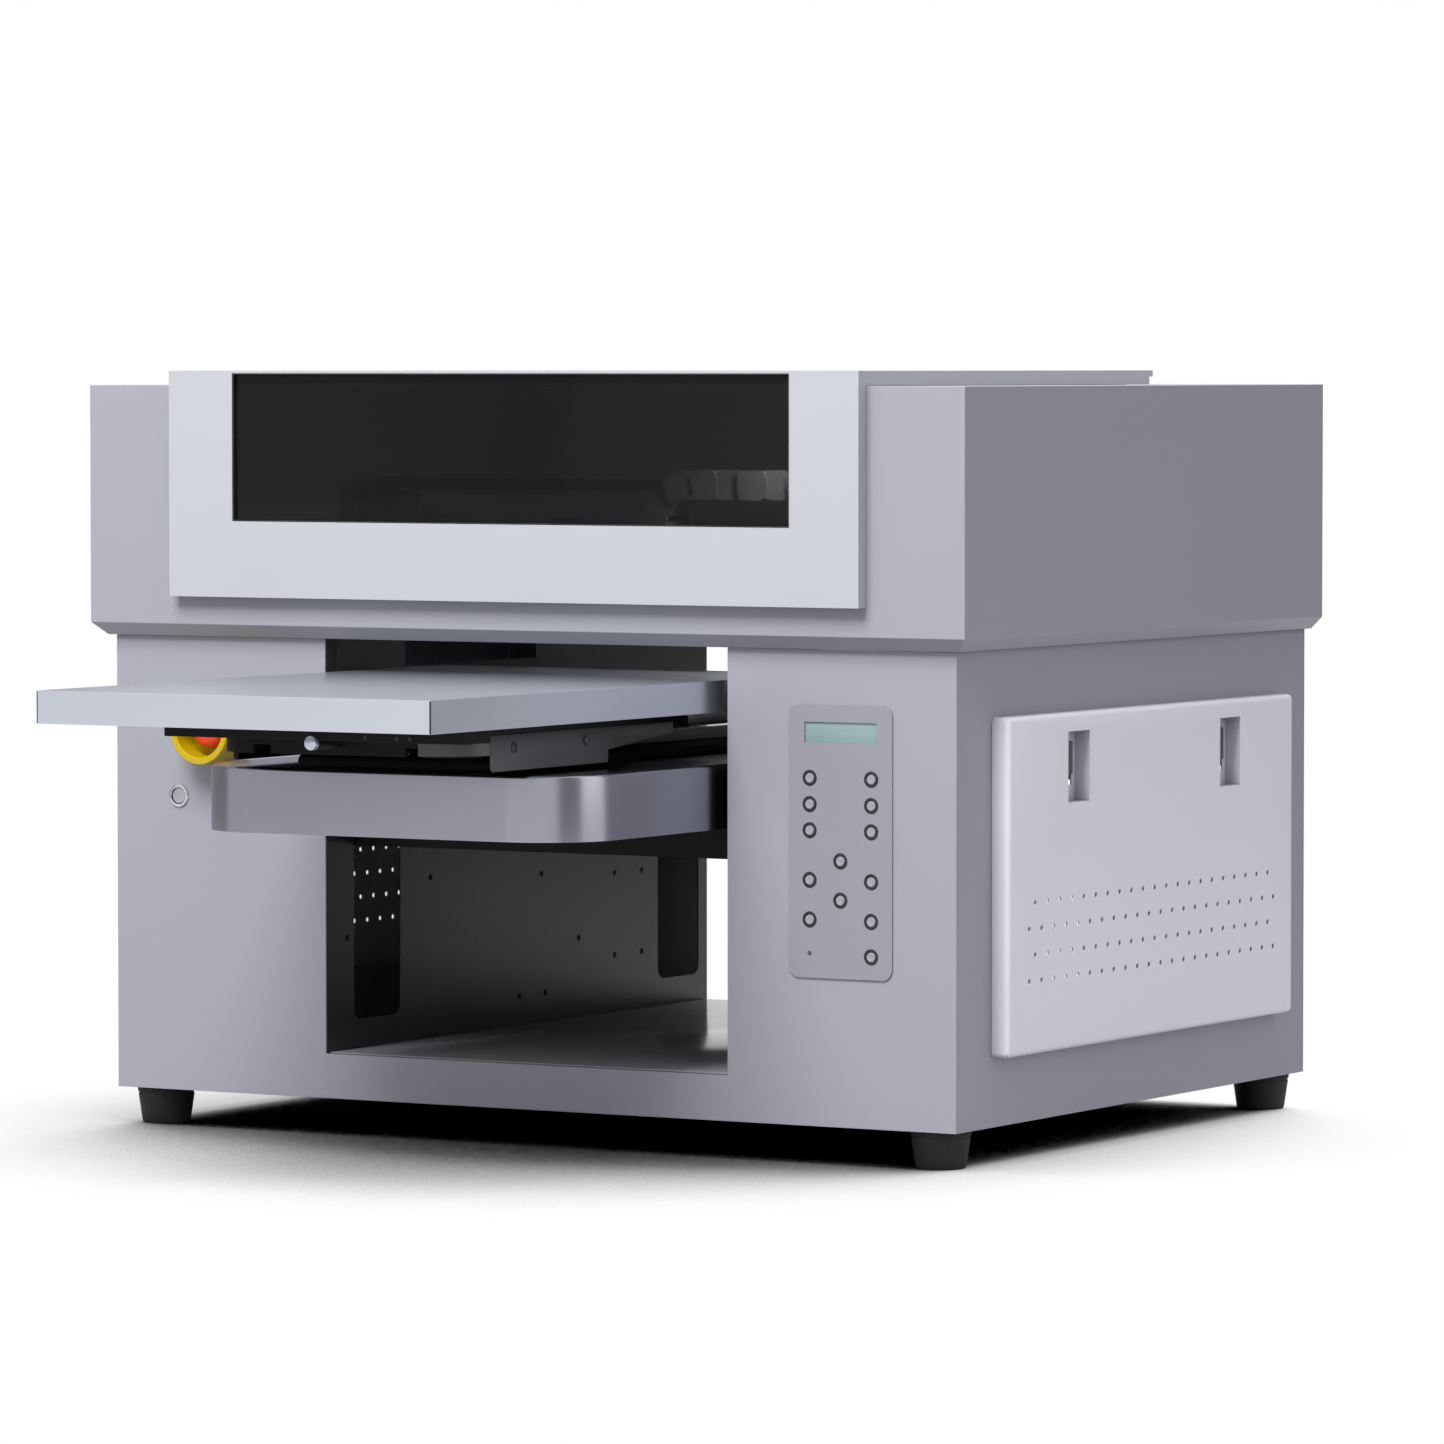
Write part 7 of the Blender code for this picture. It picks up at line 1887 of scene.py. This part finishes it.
@dataclass
class Bays:
    """What stands behind the side doors: electronics on the right, ink on the left."""

    shop: Workshop
    supply: Box = ((0.255, 0.0385, 0.0834), (0.365, 0.235, 0.0842))
    supply_holes: tuple[Row, Row] = (Row(0.0032, 0.013, 0.012, 8), Row(0.0032, 0.020, 0.013, 13))
    terminal_box: Box = ((0.262, 0.0215, 0.0585), (0.358, 0.0370, 0.0665))
    terminal_pitch: float = 0.0137
    terminal_count: int = 8
    terminal_wall: tuple[float, float] = (0.0006, 0.0715)
    terminal_screw: float = 0.0032
    terminal_screw_place: tuple[float, float] = (0.0068, 0.0292)
    seat: float = 0.0001
    board_box: Box = ((0.2555, 0.2605, 0.0449), (0.3645, 0.4195, 0.0453))
    parts: tuple[tuple[float, float, float, float], ...] = (
        (0.2767, 0.3103, 0.2915, 0.3213), (0.2767, 0.3037, 0.3589, 0.3979), (0.3229, 0.3455, 0.3077, 0.3723))
    tank_columns: tuple[float, float] = (-0.337, -0.283)
    parts_top: float = 0.0572
    chip_row: Row = Row(0.0080, 0.2600, 0.0105, 9)
    chip_ends: tuple[float, float] = (0.4060, 0.4140)
    chip_height: float = 0.009
    cans: Places = field(default_factory=lambda: [
        (0.3180, 0.2740), (0.3300, 0.2740), (0.3420, 0.2740), (0.3540, 0.2900), (0.3540, 0.3900)])
    coil: tuple[float, float] = (0.3140, 0.3880)
    coil_turns: int = 7
    coil_pitch: float = 0.0014
    coil_start: float = 0.0004
    hole_cut: tuple[float, float] = (0.002, 0.006)
    tank_rows: tuple[float, float, float] = (0.370, 0.412, 0.454)
    cap_base: float = 0.1738
    cap_radius: float = 0.0116
    rib_ends: tuple[float, float] = (0.1762, 0.1864)
    rib_radius: float = 0.0006
    ribs: int = 18

    def build(self) -> None:
        """Build the contents of the two bays."""
        self.shop.dressed("electronics_chassis", "chassis", "casing", Slot.ZINC, ZINC, Edge.SHEET)
        self.shop.dressed("ink_tank_rack", "tank_rack", "casing", Slot.TANK, TANK_PLASTIC, Edge.BLOCK)
        self.supply_cover()
        self.terminals()
        self.board()
        self.tank_caps()

    def supply_cover(self) -> None:
        """Lay the power supply's pierced cover."""
        low, high = self.supply
        cover = Shape().block(low, high, Edge.FILM).done("supply_cover")
        holes = Shape()
        columns, rows = self.supply_holes
        below, through = self.hole_cut
        for x in columns.places(low[0]):
            for y in rows.places(low[1]):
                holes.turned(rod(columns.size, through), (x, y, low[2] - below), "Z", 12)
        self.shop.fit(carve(cover, holes.done("holes")), "casing", Slot.ZINC, ZINC)

    def terminals(self) -> None:
        """Set the supply's terminal block with its brass screws."""
        block, screws = Shape(), Shape()
        low, high = self.terminal_box
        block.block(low, high, Edge.SHEET)
        (half, top), (aside, back) = self.terminal_wall, self.terminal_screw_place
        for step in range(self.terminal_count):
            x = low[0] + self.terminal_pitch * step
            block.block((x - half, low[1], high[2]), (x + half, high[1], top), Edge.FILM)
            if step < self.terminal_count - 1:
                screws.turned(pan_head(self.terminal_screw), (x + aside, back, high[2] + self.seat), "Z", 20)
        self.shop.fit(block.done("terminal_block"), "casing", Slot.BLACK, BLACK_PLASTIC)
        self.shop.fit(screws.done("terminal_screws"), "casing", Slot.ZINC, BRASS)

    def board(self) -> None:
        """Cover the control board with its laminate, chips, capacitors and coil."""
        board = Shape().block(*self.board_box, Edge.FOIL)
        self.shop.fit(board.done("control_board"), "casing", Slot.BLACK, BOARD)
        chips = Shape()
        top = self.board_box[1][2]
        for x_low, x_high, y_low, y_high in self.parts:
            chips.block((x_low, y_low, top), (x_high, y_high, self.parts_top), Edge.SHEET)
        front, back = self.chip_ends
        for x in self.chip_row.places():
            chips.block((x, front, top), (x + self.chip_row.size, back, top + self.chip_height), Edge.LEAF)
        self.shop.fit(chips.done("board_chips"), "casing", Slot.BLACK, BLACK_PLASTIC)
        cans = Shape()
        profile = [(0, 0), (0.0050, 0), (0.0050, 0.0008), (0.0046, 0.0012), (0.0050, 0.0016), (0.0050, 0.0132),
                   (0.0044, 0.0138), (0.0036, 0.0136), (0, 0.0136)]
        for x, y in self.cans:
            cans.turned(profile, (x, y, top), "Z", 28)
        self.shop.fit(cans.done("board_capacitors"), "casing", Slot.ZINC, ALUMINIUM)
        coil = Shape()
        for step in range(self.coil_turns):
            level = self.coil_start + self.coil_pitch * step
            coil.turned([(0.0032, level), (0.0068, level), (0.0074, level + 0.0007), (0.0068, level + 0.0013),
                         (0.0032, level + 0.0013), (0.0032, level)], (*self.coil, top), "Z", 28)
        self.shop.fit(coil.done("board_coil"), "casing", Slot.ZINC, COPPER)

    def tank_caps(self) -> None:
        """Screw a ribbed cap on each ink tank."""
        shape = Shape()
        radius = self.cap_radius
        profile = [(0, 0.0153), (0.0100, 0.0153), (0.0113, 0.0143), (radius, 0.0130), (radius, 0.0020),
                   (0.0121, 0.0016), (0.0121, 0), (0, 0)]
        for x in self.tank_columns:
            for y in self.tank_rows:
                shape.turned(profile, (x, y, self.cap_base), "Z", 36)
                for step in range(self.ribs):
                    turn = math.tau * step / self.ribs
                    spot = (x + radius * math.cos(turn), y + radius * math.sin(turn))
                    shape.tube([(*spot, z) for z in self.rib_ends], self.rib_radius, 6)
        self.shop.fit(shape.done("tank_caps"), "casing", Slot.BLACK, CAP_PLASTIC)


@dataclass(frozen=True)
class Flag:
    """A curved card round the studio that only reflections see.

    Its turns are in degrees from straight ahead of the machine, growing towards its right side.
    """

    name: str
    start: float
    end: float
    shade: float


FLAGS = (Flag("left_flag", -150.0, -64.0, 0.35), Flag("front_left_flag", -60.0, -25.0, 0.76),
         Flag("front_right_flag", 48.0, 80.0, 0.34), Flag("rear_right_flag", 125.0, 175.0, 0.09))


@dataclass(frozen=True)
class SoftBox:
    """A soft square lamp that faces the machine; one that isn't mirrored shows in no reflection."""

    name: str
    spot: Point
    size: float
    power: float
    mirrored: bool = False


LAMPS = (SoftBox("key_box", (0.0, -3.0, 3.6), 2.2, 245.0), SoftBox("ceiling_box", (0.2, 0.6, 3.4), 2.4, 30.0),
         SoftBox("side_box", (3.4, 0.6, 1.6), 2.4, 13.0, True))


@dataclass
class Studio:
    """The camera, the floor, the lamps, the flags and the world."""

    spot: Point = (3.152506, -5.167213, 0.611265)
    right: Point = (0.86271, 0.50570, -0.00022)
    up: Point = (-0.02339, 0.04033, 0.99891)
    back: Point = (0.50516, -0.86177, 0.04662)
    lens: float = 190.95
    ambient: float = 0.63
    floor_tone: float = 0.31
    reach: float = 9.0
    flag_distance: float = 2.8
    flag_height: float = 2.4
    flag_steps: int = 12
    shade_reach: float = 0.48
    sensor: float = 36.0
    far: float = 60.0
    flag_low: float = 0.002
    aim: Point = (0, 0.1, 0.3)
    strip: SoftBox = SoftBox("inside_strip", (0.24, -0.03, 0.578), 0.04, 1.2)
    strip_aim: Point = (0.20, 0.08, 0.45)
    strip_spread: float = math.radians(160)

    def build(self) -> None:
        """Set up everything that isn't the machine."""
        bpy.context.scene.view_settings.view_transform = "Standard"
        self.camera()
        self.world()
        self.floor()
        for flag in FLAGS:
            self.flag(flag)
        for box in LAMPS:
            self.lamp(box, self.aim).visible_glossy = box.mirrored
        self.inside_lamp()

    def camera(self) -> None:
        """Place the camera where the photograph was taken from."""
        data = bpy.data.cameras.new("photo_view")
        data.lens = self.lens
        data.sensor_width = self.sensor
        data.clip_end = self.far
        camera = bpy.data.objects.new("photo_view", data)
        turn = Matrix((self.right, self.up, self.back)).transposed().to_4x4()
        camera.matrix_world = Matrix.Translation(self.spot) @ turn
        bpy.context.scene.collection.objects.link(camera)
        bpy.context.scene.camera = camera

    def seen(self, graph: Graph) -> bpy.types.NodeSocket:
        """Return 1 for rays that show the background: camera, glossy and transmission rays.

        Args:
            graph: the graph of the world or of the floor.

        Returns:
            The socket that tells these rays.
        """
        path = graph.add("ShaderNodeLightPath").outputs
        gloss = graph.maths("MAXIMUM", path["Is Camera Ray"], path["Is Glossy Ray"])
        return graph.maths("MAXIMUM", gloss, path["Is Transmission Ray"])

    def world(self) -> None:
        """Make the world plain white to look at, and dimmer as a light."""
        world = bpy.data.worlds.new("studio")
        world.use_nodes = True
        bpy.context.scene.world = world
        tree = world.node_tree
        tree.nodes.clear()
        graph = Graph(tree)
        light = graph.add("ShaderNodeBackground", {"Color": (0.97, 0.98, 1.0, 1), "Strength": self.ambient})
        white = graph.add("ShaderNodeBackground", {"Color": (1, 1, 1, 1), "Strength": 1.0})
        mix = graph.add("ShaderNodeMixShader", {0: self.seen(graph), 1: light.outputs[0], 2: white.outputs[0]})
        graph.add("ShaderNodeOutputWorld", {0: mix.outputs[0]})

    def floor(self) -> None:
        """Lay a pale floor: camera, glossy and transmission rays see a white glow with a painted shadow where the
        machine closes off the sky, other rays a plain grey floor.
        """
        reach = self.reach
        mesh = bpy.data.meshes.new("studio_floor")
        mesh.from_pydata([(-reach, -reach, 0), (reach, -reach, 0), (reach, reach, 0), (-reach, reach, 0)], [],
                         [(0, 1, 2, 3)])
        floor = bpy.data.objects.new("studio_floor", mesh)
        bpy.context.scene.collection.objects.link(floor)
        material = bpy.data.materials.new("studio_floor")
        material.use_nodes = True
        graph = Graph(material.node_tree)
        shader = material.node_tree.nodes["Principled BSDF"]
        shader.inputs["Base Color"].default_value = (self.floor_tone, self.floor_tone, self.floor_tone * 1.005, 1)
        shader.inputs["Roughness"].default_value = 0.9
        shader.inputs["Specular IOR Level"].default_value = 0.0
        out = material.node_tree.nodes["Material Output"]
        # Painted shadow: an occlusion lookup, leaned towards the rear so the shadow falls forward, darkens the floor's
        # glow.
        lean = graph.add("ShaderNodeCombineXYZ", {0: 0.0, 1: 0.45, 2: 0.89}).outputs[0]
        shade = graph.add("ShaderNodeAmbientOcclusion", {"Distance": self.shade_reach, "Normal": lean}, samples=12)
        tone = graph.ranged(shade.outputs["AO"], 0.26, 0.72, 0.0, 1.0)
        white = graph.add("ShaderNodeEmission", {"Color": tone, "Strength": 1.0})
        mix = graph.add("ShaderNodeMixShader", {0: self.seen(graph), 1: shader.outputs[0], 2: white.outputs[0]})
        graph.tree.links.new(mix.outputs[0], out.inputs[0])
        floor.data.materials.append(material)

    def flag(self, flag: Flag) -> None:
        """Stand one curved flag round the machine, for reflections only.

        Args:
            flag: where it stands and how bright it is.
        """
        shape = Shape()
        rows = []
        for step in range(self.flag_steps + 1):
            turn = math.radians(flag.start + (flag.end - flag.start) * step / self.flag_steps)
            x, y = self.flag_distance * math.sin(turn), -self.flag_distance * math.cos(turn)
            rows.append([shape.bm.verts.new((x, y, z)) for z in (self.flag_low, self.flag_height)])
        for (low, high), (next_low, next_high) in zip(rows, rows[1:]):
            shape.bm.faces.new((low, next_low, next_high, high))
        card = shape.done(flag.name)
        material = bpy.data.materials.new(flag.name)
        material.use_nodes = True
        graph = Graph(material.node_tree)
        glow = graph.add("ShaderNodeEmission", {"Color": rgba((flag.shade,) * 3), "Strength": 1.0})
        graph.tree.links.new(glow.outputs[0], material.node_tree.nodes["Material Output"].inputs[0])
        card.data.materials.append(material)
        for kind in ("camera", "diffuse", "transmission", "volume_scatter", "shadow"):
            setattr(card, f"visible_{kind}", False)

    def lamp(self, box: SoftBox, aim: Point) -> bpy.types.Object:
        """Hang a soft square lamp.

        Args:
            box: its name, its place, its side in metres and its power in watts.
            aim: the point it faces.

        Returns:
            The lamp.
        """
        data = bpy.data.lights.new(box.name, "AREA")
        data.shape = "SQUARE"
        data.size = box.size
        data.energy = box.power
        lamp = bpy.data.objects.new(box.name, data)
        lamp.location = box.spot
        lamp.rotation_euler = (Vector(aim) - Vector(box.spot)).to_track_quat("-Z", "Y").to_euler()
        bpy.context.scene.collection.objects.link(lamp)
        return lamp

    def inside_lamp(self) -> None:
        """Hang a small lamp under the lid, over the parked carriage and its chain."""
        lamp = self.lamp(self.strip, self.strip_aim)
        lamp.data.spread = self.strip_spread
        lamp.visible_camera = False
        lamp.visible_glossy = self.strip.mirrored


def main() -> None:
    """Load the frame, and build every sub-assembly in order."""
    logging.basicConfig(level=logging.INFO, format="%(name)s: %(message)s")
    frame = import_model()
    Studio().build()
    shop = Workshop(frame["nodes"])
    for part in (Cabinet(shop), Tunnel(shop), Lid(shop), ServiceDoor(shop, Side.RIGHT), ServiceDoor(shop, Side.LEFT),
                 ControlPanel(shop), EmergencyStop(shop), Bed(shop), PrintTable(shop), PrintUnit(shop), Bays(shop)):
        LOG.info("building %s", type(part).__name__)
        part.build()
    LOG.info("%d new pieces", shop.count)


if __name__ == "__main__":
    main()
